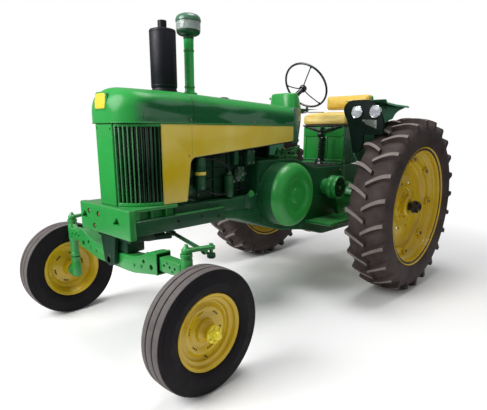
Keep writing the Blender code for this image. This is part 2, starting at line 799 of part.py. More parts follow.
def front_rim(name, parent, side):
    """Rim, dished disc, hub and cap of a front wheel, turned as one."""
    lip = FRONT_BEAD_HALF + FIT + FRONT_FLANGE_THICKNESS
    bead = FRONT_BEAD_HALF + FIT
    seat = FRONT_SEAT_RADIUS - FIT
    wall = FRONT_RIM_WALL
    bore = STUB_RADIUS + PIN_CLEARANCE
    well = FRONT_WELL_RADIUS
    hub_face = FRONT_HUB_OUTER - wall
    profile = [
        (0, FRONT_HUB_OUTER + FRONT_CAP_LENGTH),
        (FRONT_CAP_RADIUS, FRONT_HUB_OUTER + FRONT_CAP_LENGTH - wall),
        (FRONT_CAP_RADIUS, FRONT_HUB_OUTER),
        (FRONT_HUB_RADIUS, hub_face),
        (FRONT_HUB_RADIUS, wall),
        (FRONT_DISC_STEP_RADIUS, FRONT_DISC_DEPTH),
        (well - wall, wall),
        (FRONT_FLANGE_RADIUS - wall, lip),
        (FRONT_FLANGE_RADIUS, lip),
        (FRONT_FLANGE_RADIUS, bead),
        (seat, bead),
        (well, wall),
        (well, -wall * 2),
        (seat, -bead),
        (FRONT_FLANGE_RADIUS, -bead),
        (FRONT_FLANGE_RADIUS, -lip),
        (well - wall, -wall * 2),
        (FRONT_DISC_STEP_RADIUS, FRONT_DISC_DEPTH - wall),
        (FRONT_HUB_RADIUS - wall, -wall),
        (FRONT_HUB_RADIUS - wall * 2, -FRONT_HUB_INNER),
        (bore, -FRONT_HUB_INNER),
        (bore, hub_face),
        (0, hub_face),
    ]
    return finish(turned(name, profile, outward(side), FRONT_SEGMENTS), "yellow", parent)


def rear_tyre(name, parent):
    """The drive tyre: a round carcass with two rows of slanted lugs, joined to it."""
    half = REAR_TYRE_WIDTH / 2
    base = REAR_TYRE_RADIUS - LUG_HEIGHT
    flank = [
        (REAR_SEAT_RADIUS, 0),
        (REAR_SEAT_RADIUS, REAR_BEAD_HALF),
        (REAR_BEAD_RADIUS, REAR_BEAD_HALF),
        (REAR_BULGE_RADIUS, half),
        (base - REAR_SHOULDER_DROP, REAR_SHOULDER_X + LUG_FOOT),
        (base, REAR_SHOULDER_X / 2),
    ]
    profile = flank + [(radius, -height) for radius, height in reversed(flank[1:])]
    tyre = turned(name, profile, "X", LUG_PAIRS, closed=True)
    lugs = [lug(name, index) for index in range(2 * LUG_PAIRS)]
    combine(tyre, lugs)
    return finish(tyre, "rubber", parent, smooth=False)


def lug(name, index):
    """One lug: a slanted bar whose top follows the tread's curve across the tyre."""
    row = 1 if index % 2 else -1
    around = tau * index / (2 * LUG_PAIRS) - pi / 2
    span = LUG_OUTER_X - LUG_INNER_X
    lag = span * sin(LUG_SWEEP) / cos(LUG_SWEEP)
    top = REAR_TYRE_RADIUS
    low = REAR_TYRE_RADIUS - LUG_HEIGHT - LUG_FOOT
    # columns: place across the lug from its inner end, height of its top, height of its foot
    stations = [
        (0.0, top, low),
        (1.0, top - REAR_SHOULDER_DROP, low - REAR_SHOULDER_DROP * 1.5),
    ]
    bm = bmesh.new()
    rings = []
    for share, high, foot in stations:
        across = row * (LUG_INNER_X + span * share)
        along = -lag * (share - 0.5)
        half = LUG_WIDTH / 2 / cos(LUG_SWEEP)
        taper = LUG_WIDTH / 8
        corners = [(along - half, foot), (along + half, foot),
                   (along + half - taper, high), (along - half + taper, high)]
        ring = []
        for place, radius in corners:
            angle = around + place / REAR_TYRE_RADIUS
            ring.append(bm.verts.new((across, radius * cos(angle), radius * sin(angle))))
        rings.append(ring)
    for ring, after in zip(rings, rings[1:]):
        for corner in range(4):
            turn = (corner + 1) % 4
            bm.faces.new((ring[corner], ring[turn], after[turn], after[corner]))
    bm.faces.new(rings[0])
    bm.faces.new(rings[-1])
    return from_bmesh(f"{name}_lug_{index:02d}", bm)


def rear_rim(name, parent, side):
    """Rim and dished disc of a rear wheel, bored for its hub."""
    wall = REAR_RIM_WALL
    outer = REAR_FLANGE_THICKNESS
    seat = REAR_SEAT_RADIUS - FIT
    bead = REAR_BEAD_HALF + FIT
    well = REAR_WELL_RADIUS
    disc = REAR_DISC_X
    deep = REAR_DISC_X - REAR_DISC_DEPTH
    bore = REAR_HUB_RADIUS + FIT
    step = REAR_DISC_STEP_RADIUS
    profile = [
        (bore, deep + wall),
        (step, deep + wall),
        (step + wall * 2, disc + wall),
        (well - wall, disc + wall),
        (REAR_FLANGE_RADIUS - wall, bead + outer),
        (REAR_FLANGE_RADIUS, bead + outer),
        (REAR_FLANGE_RADIUS, bead),
        (seat, bead),
        (well, disc + wall),
        (well, -disc),
        (seat, -bead),
        (REAR_FLANGE_RADIUS, -bead),
        (REAR_FLANGE_RADIUS, -bead - outer),
        (REAR_FLANGE_RADIUS - wall, -bead - outer),
        (well - wall, -disc),
        (well - wall, disc),
        (step + wall * 2, disc),
        (step, deep),
        (bore, deep),
    ]
    rim = turned(name, profile, outward(side), LUG_PAIRS, closed=True)
    return finish(rim, "yellow", parent)


def rear_hub(name, parent, side):
    """The clamping hub and the axle shaft that turns with the wheel."""
    inner = AXLE_SHAFT_INNER_X - REAR_WHEEL_X
    outer = AXLE_SHAFT_END_X - REAR_WHEEL_X
    centre = REAR_DISC_X - REAR_DISC_DEPTH
    half = REAR_HUB_HALF
    profile = [
        (0, outer),
        (AXLE_SHAFT_RADIUS, outer),
        (AXLE_SHAFT_RADIUS, centre + half),
        (REAR_HUB_RADIUS, centre + half),
        (REAR_HUB_RADIUS, centre - half),
        (AXLE_SHAFT_RADIUS, centre - half),
        (AXLE_SHAFT_RADIUS, inner),
        (0, inner),
    ]
    return finish(turned(name, profile, outward(side), LUG_PAIRS), "steel", parent)


# Front axle and steering

def front_frame(parent):
    """Front casting, its pivot ears and pin, the steering post and the two channel rails."""
    front = BOLSTER_FRONT_Y
    back = BOLSTER_FRONT_Y + BOLSTER_THICKNESS
    bolster = box("front_frame", (-BOLSTER_HALF_WIDTH, front, BOLSTER_BOTTOM_Z),
                  (BOLSTER_HALF_WIDTH, back, FRAME_TOP_Z))
    core = box("frame_core", (-FRAME_CORE_HALF, back - SHEET, FRAME_CORE_BOTTOM_Z),
               (FRAME_CORE_HALF, FRAME_CORE_REAR_Y, FRAME_TOP_Z))
    pieces = [core]
    gap = BEAM_HALF_DEPTH + RUNNING_GAP
    for direction in (-1, 1):
        near = -WHEELBASE + direction * gap
        far = near + direction * EAR_THICKNESS
        outline = mirrored([(EAR_HALF_WIDTH, FRAME_CORE_BOTTOM_Z + SHEET)]
                           + arc((0, PIVOT_Z), PIVOT_Z - EAR_BOTTOM_Z, 0, -90, 4))
        pieces.append(prism(f"ear_{direction}", outline, min(near, far), max(near, far), "Y"))
    pieces.append(cylinder("pivot_pin", PIVOT_RADIUS, (0, -WHEELBASE - gap - EAR_THICKNESS / 2, PIVOT_Z),
                           (0, -WHEELBASE + gap + EAR_THICKNESS / 2, PIVOT_Z), "Y"))
    pieces.append(cylinder("post", POST_RADIUS, (0, CENTRE_ARM_Y, POST_BOTTOM_Z),
                           (0, CENTRE_ARM_Y, FRAME_CORE_BOTTOM_Z + SHEET)))
    for side in (-1, 1):
        inner = CASE_HALF_WIDTH + FIT
        web = (RAIL_OUTER_X - RAIL_FLANGE)
        xs = sorted((side * (FRAME_CORE_HALF - SHEET), side * RAIL_OUTER_X))
        pieces.append(box(f"rail_head_{side}", (xs[0], back - SHEET, RAIL_BOTTOM_Z),
                          (xs[1], FRAME_CORE_REAR_Y, RAIL_TOP_Z)))
        channel = [(inner, RAIL_BOTTOM_Z), (RAIL_OUTER_X, RAIL_BOTTOM_Z), (RAIL_OUTER_X, RAIL_TOP_Z),
                   (inner, RAIL_TOP_Z), (inner, RAIL_TOP_Z - RAIL_FLANGE),
                   (web, RAIL_TOP_Z - RAIL_FLANGE), (web, RAIL_BOTTOM_Z + RAIL_FLANGE),
                   (inner, RAIL_BOTTOM_Z + RAIL_FLANGE)]
        channel = [(side * x, z) for x, z in channel]
        pieces.append(prism(f"rail_{side}", channel, FRAME_CORE_REAR_Y - SHEET, RAIL_REAR_Y, "Y"))
    combine(bolster, pieces)
    bore = cylinder("post_bore", CENTRE_SHAFT_RADIUS + PIN_CLEARANCE,
                    (0, CENTRE_ARM_Y, POST_BOTTOM_Z - CUT_OVERRUN),
                    (0, CENTRE_ARM_Y, FRAME_CORE_BOTTOM_Z), segments=SEGMENTS)
    pocket = prism("bolster_pocket", [(BOLSTER_POCKET_X - BOLSTER_POCKET_HALF, BOLSTER_POCKET_Z),
                                      (BOLSTER_POCKET_X + BOLSTER_POCKET_HALF, BOLSTER_POCKET_Z),
                                      (BOLSTER_POCKET_X, BOLSTER_POCKET_Z + BOLSTER_POCKET_HEIGHT)],
                   front - CUT_OVERRUN, front + BOLSTER_POCKET_DEPTH, "Y")
    cut(bolster, [bore, pocket])
    return finish(bolster, "green", parent)


def cut(base, cutters):
    """Takes shapes out of a piece, one Boolean each, after what has been joined to it."""
    for number, item in enumerate(cutters):
        for owner in list(item.users_collection):
            owner.objects.unlink(item)
        CUTTERS.objects.link(item)
        item.hide_render = True
        item.display_type = "WIRE"
        change = base.modifiers.new(f"cut_{number}", "BOOLEAN")
        change.operation = "DIFFERENCE"
        change.object = item
        HOLES.append((item, base))
    return base


def front_beam(parent):
    """The shallow V beam with its raised ends, bored for the pivot pin."""
    outline = mirrored([
        (0, BEAM_MID_TOP_Z),
        (BEAM_MID_X, BEAM_MID_TOP_Z + SHEET),
        (BEAM_EAR_X - RAIL_FLANGE, BEAM_END_TOP_Z - RAIL_FLANGE),
        (BEAM_EAR_X, BEAM_END_TOP_Z),
        (BEAM_END_X, BEAM_END_TOP_Z),
        (BEAM_END_X, BEAM_END_BOTTOM_Z),
        (BEAM_MID_X, BEAM_MID_BOTTOM_Z),
    ])
    near = -WHEELBASE - BEAM_HALF_DEPTH
    far = -WHEELBASE + BEAM_HALF_DEPTH
    beam = prism("front_axle_beam", outline, near, far, "Y")
    bore = cylinder("beam_bore", PIVOT_RADIUS + FIT, (0, near - CUT_OVERRUN, PIVOT_Z),
                    (0, far + CUT_OVERRUN, PIVOT_Z), "Y")
    holes = [cylinder(f"beam_hole_{place}", BEAM_HOLE_RADIUS, (place, near - CUT_OVERRUN, BEAM_HOLE_Z),
                      (place, far + CUT_OVERRUN, BEAM_HOLE_Z), "Y")
             for place in (-BEAM_HOLE_X, BEAM_HOLE_X)]
    cut(beam, [bore] + holes)
    return finish(beam, "green", parent)


def axle_extension(name, parent, side):
    """The sliding end of the front axle with the upright tube that holds the kingpin."""
    xs = sorted((side * (BEAM_END_X + FIT), side * KINGPIN_X))
    arm = box(name, (xs[0], -WHEELBASE - EXTENSION_HALF_DEPTH, EXTENSION_BOTTOM_Z),
              (xs[1], -WHEELBASE + EXTENSION_HALF_DEPTH, EXTENSION_TOP_Z))
    upright = cylinder(name + "_tube", SPINDLE_TUBE_RADIUS,
                       (side * KINGPIN_X, -WHEELBASE, SPINDLE_TUBE_BOTTOM_Z),
                       (side * KINGPIN_X, -WHEELBASE, SPINDLE_TUBE_TOP_Z))
    combine(arm, [upright])
    bore = cylinder(name + "_bore", KINGPIN_RADIUS + PIN_CLEARANCE,
                    (side * KINGPIN_X, -WHEELBASE, SPINDLE_TUBE_BOTTOM_Z - CUT_OVERRUN),
                    (side * KINGPIN_X, -WHEELBASE, SPINDLE_TUBE_TOP_Z + CUT_OVERRUN))
    holes = []
    for out in EXTENSION_HOLES:
        x = side * (BEAM_END_X + out)
        holes.append(cylinder(f"{name}_hole_{out}", EXTENSION_HOLE_RADIUS,
                              (x, -WHEELBASE - EXTENSION_HALF_DEPTH - CUT_OVERRUN, EXTENSION_HOLE_Z),
                              (x, -WHEELBASE + EXTENSION_HALF_DEPTH + CUT_OVERRUN, EXTENSION_HOLE_Z), "Y"))
    cut(arm, [bore] + holes)
    return finish(arm, "green", parent)


def arm_outline(side, steps=4):
    """A flat steering arm from its turning centre to its rod pin, as a round-ended strip."""
    reach = sqrt(ARM_X ** 2 + ARM_Y ** 2)
    across = Vector((ARM_Y, -ARM_X)).normalized() * ARM_RADIUS
    start = Vector((0, 0))
    end = Vector((ARM_X, ARM_Y))
    along = end / reach
    points = []
    for centre, first in ((start, 180), (end, 0)):
        for step in range(steps + 1):
            turn = radians(first + 180 * step / steps)
            points.append(centre + across * cos(turn) + along * ARM_RADIUS * sin(turn))
    return [(side * point.x, point.y) for point in points]


def knuckle(name, parent, side):
    """Kingpin, stub axle and steering arm, in coordinates from the kingpin at the ground."""
    wheel_z = FRONT_TYRE_RADIUS
    stub_end = FRONT_WHEEL_X - KINGPIN_X + FRONT_HUB_OUTER - FRONT_RIM_WALL * 2
    body = box(name, (-KNUCKLE_HALF_WIDTH, -KNUCKLE_HALF_DEPTH, KNUCKLE_BOTTOM_Z),
               (KNUCKLE_HALF_WIDTH, KNUCKLE_HALF_DEPTH, SPINDLE_TUBE_BOTTOM_Z - RUNNING_GAP))
    pin = cylinder(name + "_pin", KINGPIN_RADIUS, (0, 0, KNUCKLE_BOTTOM_Z + RUNNING_GAP),
                   (0, 0, ARM_BOTTOM_Z + ARM_THICKNESS / 2))
    top = cylinder(name + "_top", ARM_RADIUS, (0, 0, ARM_BOTTOM_Z), (0, 0, KINGPIN_TOP_Z),
                   tip_radius=ARM_RADIUS / 3)
    stub = cylinder(name + "_stub", STUB_RADIUS, (0, 0, wheel_z), (side * stub_end, 0, wheel_z), "X")
    arm = prism(name + "_arm", arm_outline(side), ARM_BOTTOM_Z, ARM_BOTTOM_Z + ARM_THICKNESS, "Z")
    stud = cylinder(name + "_stud", ROD_PIN_RADIUS,
                    (side * ARM_X, ARM_Y, ROD_Z - ROD_EYE_HALF - RUNNING_GAP),
                    (side * ARM_X, ARM_Y, ARM_BOTTOM_Z + ARM_THICKNESS / 2))
    combine(body, [pin, top, stub, arm, stud])
    return finish(body, "green", parent)


def centre_arm(parent):
    """The arm under the steering post that moves both rods, from its shaft at the ground."""
    top = ROD_Z - ROD_EYE_HALF - RUNNING_GAP
    bottom = top - CENTRE_ARM_THICKNESS
    plate = prism("centre_steering_arm", arm_outline(1), bottom, top, "Z")
    other = prism("centre_arm_half", arm_outline(-1), bottom, top, "Z")
    shaft = cylinder("centre_shaft", CENTRE_SHAFT_RADIUS, (0, 0, bottom + FIT),
                     (0, 0, FRAME_CORE_BOTTOM_Z - RUNNING_GAP), segments=SEGMENTS)
    studs = [cylinder(f"centre_stud_{side}", ROD_PIN_RADIUS, (side * ARM_X, ARM_Y, bottom + FIT),
                      (side * ARM_X, ARM_Y, ROD_Z + ROD_EYE_HALF)) for side in (-1, 1)]
    combine(plate, [other, shaft] + studs)
    return finish(plate, "black", parent)


def tie_rod(name, parent, side):
    """A steering rod with an eye at each end, in coordinates from its inner pin."""
    reach = Vector((side * KINGPIN_X, -WHEELBASE - CENTRE_ARM_Y, 0))
    way = reach.normalized() * ROD_EYE_RADIUS / 2
    rod = cylinder(name, ROD_RADIUS, Vector((0, 0, ROD_Z)) + way,
                   reach - way + Vector((0, 0, ROD_Z)), None, 12)
    eyes = [cylinder(f"{name}_eye_{number}", ROD_EYE_RADIUS, (*place.xy, ROD_Z - ROD_EYE_HALF),
                     (*place.xy, ROD_Z + ROD_EYE_HALF))
            for number, place in enumerate((Vector((0, 0, 0)), reach))]
    combine(rod, eyes)
    inner = cylinder(name + "_inner_bore", ROD_PIN_RADIUS + PIN_CLEARANCE,
                     (0, 0, ROD_Z - ROD_EYE_HALF - CUT_OVERRUN), (0, 0, ROD_Z + ROD_EYE_HALF + CUT_OVERRUN))
    outer = cylinder(name + "_outer_bore", ROD_PIN_RADIUS + 2 * PIN_CLEARANCE,
                     (*reach.xy, ROD_Z - ROD_EYE_HALF - CUT_OVERRUN),
                     (*reach.xy, ROD_Z + ROD_EYE_HALF + CUT_OVERRUN))
    cut(rod, [inner, outer])
    return finish(rod, "black", parent)


# Sheet metal

def crown_height(y):
    """Height of the hood's ridge, falling evenly from nose to cowl."""
    share = (y - HOOD_SEAM_Y) / (HOOD_REAR_Y - HOOD_SEAM_Y)
    return CROWN_FRONT_Z + (CROWN_REAR_Z - CROWN_FRONT_Z) * max(share, 0)


def hood_row(y, half_width, top):
    """One cross-section of the hood: straight side, round shoulder and a gently raised crown."""
    radius = min(SHOULDER_RADIUS, half_width)
    shoulder_z = top - CROWN_RISE - radius
    right = [(half_width, SIDE_TOP_Z)]
    right += arc((half_width - radius, shoulder_z), radius, 0, 90, SHOULDER_STEPS)
    left = [(-x, z) for x, z in reversed(right)]
    return [(x, y, z) for x, z in right + [(0, top)] + left]


def hood(parent):
    """The hood over the engine, with holes for the intake stack."""
    rows = [hood_row(y, HOOD_HALF_WIDTH, crown_height(y)) for y in (HOOD_SEAM_Y + FIT, CAP_Y, HOOD_REAR_Y)]
    made = shell("hood", rows, SHEET)
    hole = cylinder("stack_hole", STACK_RADIUS + HOLE_CLEARANCE, (0, STACK_Y, TANK_TOP_Z),
                    (0, STACK_Y, STACK_TOP_Z), segments=SEGMENTS)
    cut(made, [hole])
    return finish(made, "green", parent)


def nose(parent):
    """The rounded nose ahead of the hood's seam, closed in front."""
    rows = []
    for step in range(NOSE_STEPS + 1):
        turn = pi / 2 * step / NOSE_STEPS
        y = NOSE_FRONT_Y + NOSE_CORNER_RADIUS * (1 - cos(turn))
        inset = NOSE_CORNER_RADIUS * (1 - sin(turn))
        drop = NOSE_TOP_RADIUS * (1 - sin(turn))
        rows.append(hood_row(y, HOOD_HALF_WIDTH - inset, CROWN_FRONT_Z - drop))
    rows.append(hood_row(HOOD_SEAM_Y, HOOD_HALF_WIDTH, CROWN_FRONT_Z))
    made = shell("nose", rows, SHEET, caps=(0,))
    hole = cylinder("muffler_hole", PIPE_RADIUS + HOLE_CLEARANCE, (0, MUFFLER_Y, SIDE_TOP_Z),
                    (0, MUFFLER_Y, MUFFLER_TOP_Z), segments=SEGMENTS)
    cut(made, [hole])
    return finish(made, "green", parent)


def grille_path(inset):
    """The grille's plan from the rear of one side, round the front, to the other: (x, y) points."""
    radius = GRILLE_CORNER_RADIUS - inset
    half = HOOD_HALF_WIDTH - inset
    front = GRILLE_FRONT_Y + inset
    corner = arc((half - radius, front + radius), radius, 0, -90, 5)
    right = [(half, GRILLE_REAR_Y)] + corner
    return right + [(-x, y) for x, y in reversed(right)]


def grille(parent):
    """Top and bottom rails round the nose, the plain centre strip and the upright bars."""
    outer = grille_path(0)
    inner = grille_path(GRILLE_DEPTH)
    band = outer + inner[::-1]
    low = FRAME_TOP_Z + FIT
    high = SIDE_TOP_Z - FIT
    base = prism("grille", band, low, low + GRILLE_RAIL_HEIGHT, "Z")
    pieces = [prism("grille_top", band, high - GRILLE_RAIL_HEIGHT, high, "Z")]
    lift = GRILLE_RAIL_HEIGHT / 2
    pieces.append(box("grille_strip", (-GRILLE_STRIP_HALF, GRILLE_FRONT_Y - SHEET, low + FIT),
                      (GRILLE_STRIP_HALF, GRILLE_FRONT_Y + GRILLE_DEPTH - SHEET, high - FIT)))
    radius = GRILLE_CORNER_RADIUS
    flat = HOOD_HALF_WIDTH - radius - GRILLE_STRIP_HALF
    bend = radius * pi / 2
    straight = GRILLE_REAR_Y - GRILLE_FRONT_Y - radius
    pitch = (flat + bend + straight) / GRILLE_BARS
    for side in (-1, 1):
        for number in range(GRILLE_BARS):
            run = pitch * (number + 0.5) + (GRILLE_BAR_WIDTH / 2 if number == GRILLE_BARS - 1 else 0)
            if run < flat:
                x, y, turn = GRILLE_STRIP_HALF + run, GRILLE_FRONT_Y, 0.0
            elif run < flat + bend:
                turn = (run - flat) / radius
                x = HOOD_HALF_WIDTH - radius + radius * sin(turn)
                y = GRILLE_FRONT_Y + radius - radius * cos(turn)
            else:
                turn = pi / 2
                x, y = HOOD_HALF_WIDTH, GRILLE_FRONT_Y + radius + run - flat - bend
            bar = box(f"bar_{side}_{number}", (-GRILLE_BAR_WIDTH / 2, SHEET / 4, low + lift),
                      (GRILLE_BAR_WIDTH / 2, GRILLE_DEPTH - SHEET / 4, high - lift))
            bar.data.transform(Matrix.Translation((side * x, y, 0)) @ Matrix.Rotation(side * turn, 4, "Z"))
            pieces.append(bar)
    combine(base, pieces)
    return finish(base, "green", parent)


def side_panel(name, parent, side):
    """A yellow side panel: tall behind the grille, then a tapering strip along the hood."""
    low = FRAME_TOP_Z + FIT
    high = SIDE_TOP_Z - FIT
    notch = PANEL_NOTCH_RADIUS
    outline = [
        (GRILLE_REAR_Y + FIT, low),
        (PANEL_FOOT_REAR_Y, low),
        (PANEL_NOTCH_Y, PANEL_NOTCH_Z - notch),
        (PANEL_NOTCH_Y + notch / 4, PANEL_NOTCH_Z - notch / 3),
        (PANEL_NOTCH_Y + notch, PANEL_NOTCH_Z),
        (PANEL_REAR_Y, PANEL_REAR_BOTTOM_Z),
        (PANEL_REAR_Y, high),
        (GRILLE_REAR_Y + FIT, high),
    ]
    outer = HOOD_HALF_WIDTH + PANEL_THICKNESS / 3
    xs = sorted((side * outer, side * (outer - PANEL_THICKNESS)))
    return finish(prism(name, outline, xs[0], xs[1], "X"), "yellow", parent)


def column_line():
    """Where the steering column starts in the cowl, where it ends, and its direction."""
    way = Vector((0, sin(STEER_TILT), cos(STEER_TILT)))
    hub = Vector((0, STEER_Y, STEER_Z)) - way * (STEER_DISH + STEER_HUB_HALF)
    start = hub - way * ((hub.y - COLUMN_FOOT_Y) / way.y)
    return start, hub - way * RUNNING_GAP, way


def hull(name, points, rounding, steps=3):
    """The convex solid round points, both mirrored across the tractor's middle, with rounded edges."""
    bm = bmesh.new()
    for x, y, z in points:
        bm.verts.new((x, y, z))
        if x > FIT:
            bm.verts.new((-x, y, z))
    bmesh.ops.convex_hull(bm, input=bm.verts)
    bmesh.ops.delete(bm, geom=[vert for vert in bm.verts if not vert.link_faces], context="VERTS")
    bmesh.ops.dissolve_limit(bm, angle_limit=radians(1), verts=bm.verts, edges=bm.edges)
    solid = from_bmesh(name, bm)
    bevel = solid.modifiers.new("rounding", "BEVEL")
    bevel.width = rounding
    bevel.segments = steps
    bevel.limit_method = "ANGLE"
    return solid


def cowl(parent):
    """The instrument cowl behind the hood: cheeks that draw in toward the driver, and a dome on top."""
    front = HOOD_REAR_Y + FIT
    half = HOOD_HALF_WIDTH - SHEET / 2
    cheeks = [
        (half, front, COWL_FOOT_Z),
        (half, front, COWL_SHOULDER_Z),
        (COWL_FOOT_HALF, COWL_FOOT_Y, COWL_FOOT_Z),
        (COWL_BACK_HALF, COWL_BACK_Y, COWL_WAIST_Z),
        (COWL_BACK_HALF, COWL_BACK_Y, COWL_SHOULDER_Z),
    ]
    base = hull("cowl", cheeks, COWL_ROUND, 2)
    # columns: half width as a share of the dome's, its place from front to back below and above
    rows = (
        (1.0, HUMP_FRONT_Y, HUMP_FRONT_Y),
        (1.0, HUMP_SIDE_Y, HUMP_SIDE_Y - HUMP_LEAN / 2),
        (HUMP_BACK_SHARE, HUMP_BACK_Y, HUMP_BACK_Y - HUMP_LEAN),
    )
    points = []
    for share, low_y, high_y in rows:
        points.append((HUMP_HALF_WIDTH * share, low_y, HUMP_FOOT_Z))
        points.append((HUMP_HALF_WIDTH * share, low_y, HUMP_BROW_Z))
        points.append((HUMP_TOP_HALF * share, high_y, HUMP_TOP_Z))
    dome = hull("cowl_dome", points, SHOULDER_RADIUS / 4)
    start, end, way = column_line()
    seat = cylinder("column_seat", COLUMN_RADIUS + FIT, start - way * FIT, end, None)
    combine(base, [cut(dome, [seat])])
    return finish(base, "green", parent)


def radiator(parent):
    """Core between the frame and the nose, with the wide top tank under the nose."""
    core = box("radiator", (-RADIATOR_HALF_WIDTH, RADIATOR_FRONT_Y, FRAME_TOP_Z + FIT),
               (RADIATOR_HALF_WIDTH, RADIATOR_REAR_Y, RADIATOR_TANK_TOP_Z))
    half = HOOD_HALF_WIDTH - SHEET - FIT
    head_front = GRILLE_FRONT_Y + GRILLE_CORNER_RADIUS + SHEET
    head = box("radiator_head", (-half, head_front, RADIATOR_TANK_BOTTOM_Z),
               (half, RADIATOR_REAR_Y + SHEET, RADIATOR_TANK_TOP_Z - SHEET))
    combine(core, [head])
    return finish(core, "black", parent)


def fuel_tank(parent):
    """The tank under the hood, on two feet that stand on the engine."""
    half = HOOD_HALF_WIDTH - SHEET - FIT
    section = [(half, TANK_BOTTOM_Z), (half, TANK_SIDE_Z), (half - TANK_CHAMFER, TANK_TOP_Z)]
    base = prism("fuel_tank", mirrored(section), TANK_FRONT_Y, TANK_REAR_Y, "Y")
    pieces = []
    for name, y, foot in (("front", TANK_FRONT_LEG_Y, ENGINE_TOP_Z), ("rear", TANK_REAR_LEG_Y, CRANK_TOP_Z)):
        pieces.append(box(f"tank_leg_{name}", (-TANK_LEG_HALF_WIDTH, y, foot + FIT),
                          (TANK_LEG_HALF_WIDTH, y + TANK_LEG_THICKNESS, TANK_BOTTOM_Z + SHEET)))
    combine(base, pieces)
    return finish(base, "dark_green", parent)


# Engine and drive line

def engine(parent):
    """The engine's heavy block with its cylinder head toward the front."""
    block = box("engine_block", (-ENGINE_HALF_WIDTH, ENGINE_FRONT_Y - SHEET, CASE_DECK_Z + FIT),
                (ENGINE_HALF_WIDTH, CRANK_FRONT_Y - FIT, ENGINE_TOP_Z))
    head = box("engine_head", (-HEAD_HALF_WIDTH, HEAD_FRONT_Y, HEAD_BOTTOM_Z),
               (HEAD_HALF_WIDTH, ENGINE_FRONT_Y, HEAD_TOP_Z))
    combine(block, [head])
    return finish(block, "dark_green", parent)


def oil_filter(parent):
    """The upright filter can at the left of the engine, on its bracket."""
    middle_x = ENGINE_HALF_WIDTH + FIT + FILTER_RADIUS * 1.1 + FILTER_BRACKET_HALF / 2
    can = turned("oil_filter", [
        (0, FILTER_TOP_Z),
        (FILTER_RADIUS * FILTER_CAP_SHARE, FILTER_TOP_Z),
        (FILTER_RADIUS, FILTER_TOP_Z - FILTER_RADIUS / 4),
        (FILTER_RADIUS, FILTER_BAND_Z),
        (FILTER_RADIUS * 1.1, FILTER_BAND_Z),
        (FILTER_RADIUS * 1.1, FILTER_BAND_Z - FILTER_RADIUS / 2),
        (FILTER_RADIUS, FILTER_BAND_Z - FILTER_RADIUS / 2),
        (FILTER_RADIUS, FILTER_BOTTOM_Z + FILTER_RADIUS / 4),
        (FILTER_RADIUS * FILTER_FOOT_SHARE, FILTER_BOTTOM_Z),
        (0, FILTER_BOTTOM_Z),
    ], place=(middle_x, FILTER_Y, 0))
    bracket_z = HEAD_BOTTOM_Z + FILTER_RADIUS * 3
    bracket = box("filter_bracket", (ENGINE_HALF_WIDTH + FIT, FILTER_Y - FILTER_BRACKET_HALF, bracket_z),
                  (middle_x, FILTER_Y + FILTER_BRACKET_HALF, bracket_z + FILTER_BRACKET_HALF))
    combine(can, [bracket])
    return finish(can, "dark_green", parent)


def main_case(parent):
    """Crankcase, gear case and final drive in one casting, with its two brake drums."""
    profile = [
        (CASE_FRONT_Y, CASE_FRONT_BOTTOM_Z),
        (CASE_STEP_Y, CASE_STEP_Z),
        (SUMP_Y, SUMP_Z),
        (CASE_MID_Y, CASE_MID_Z),
        (CASE_LOW_FRONT_Y, CASE_LOW_Z),
        (CASE_LOW_REAR_Y, CASE_LOW_Z),
        (CASE_REAR_Y, CASE_REAR_BOTTOM_Z),
        (CASE_REAR_Y, CASE_REAR_TOP_Z),
        (CASE_CORNER_Y, CASE_TOP_Z),
        (CASE_TOP_Y, CASE_TOP_Z),
        (CRANK_REAR_Y, CRANK_TOP_Z),
        (CRANK_FRONT_Y, CRANK_TOP_Z),
        (CRANK_FRONT_Y, CASE_DECK_Z),
        (CASE_FRONT_Y, CASE_DECK_Z),
    ]
    case = prism("main_case", profile, -CASE_HALF_WIDTH, CASE_HALF_WIDTH, "X")
    pieces = []
    for side in (-1, 1):
        pieces.append(turned(f"brake_{side}", [
            (0, side * BRAKE_FACE_X),
            (BRAKE_RADIUS * BRAKE_FACE_SHARE, side * BRAKE_FACE_X),
            (BRAKE_RADIUS, side * BRAKE_EDGE_X),
            (BRAKE_RADIUS, side * BRAKE_NECK_X),
            (BRAKE_NECK_RADIUS, side * BRAKE_NECK_X),
            (BRAKE_NECK_RADIUS, side * (CASE_HALF_WIDTH - SHEET)),
            (0, side * (CASE_HALF_WIDTH - SHEET)),
        ], "X", place=(0, BRAKE_Y, BRAKE_Z)))
    boss_z = COVER_BOSS_Z - COVER_BOSS_RADIUS
    pieces.append(cylinder("cover_boss", COVER_BOSS_RADIUS, (CASE_HALF_WIDTH - SHEET, COVER_BOSS_Y, boss_z),
                           (CASE_HALF_WIDTH + COVER_BOSS_HEIGHT, COVER_BOSS_Y, boss_z), "X"))
    seat_end = -(CASE_HALF_WIDTH + PULLEY_SEAT_LENGTH)
    pieces.append(cylinder("pulley_seat", PULLEY_SEAT_RADIUS, (seat_end, CRANK_Y, CRANK_Z),
                           (-CASE_HALF_WIDTH + SHEET, CRANK_Y, CRANK_Z), "X"))
    stub_end = seat_end - PULLEY_WIDTH * PULLEY_STUB_SHARE
    pieces.append(cylinder("crank_stub", STUB_RADIUS, (stub_end, CRANK_Y, CRANK_Z),
                           (-CASE_HALF_WIDTH, CRANK_Y, CRANK_Z), "X"))
    combine(case, pieces)
    return finish(case, "green", parent)


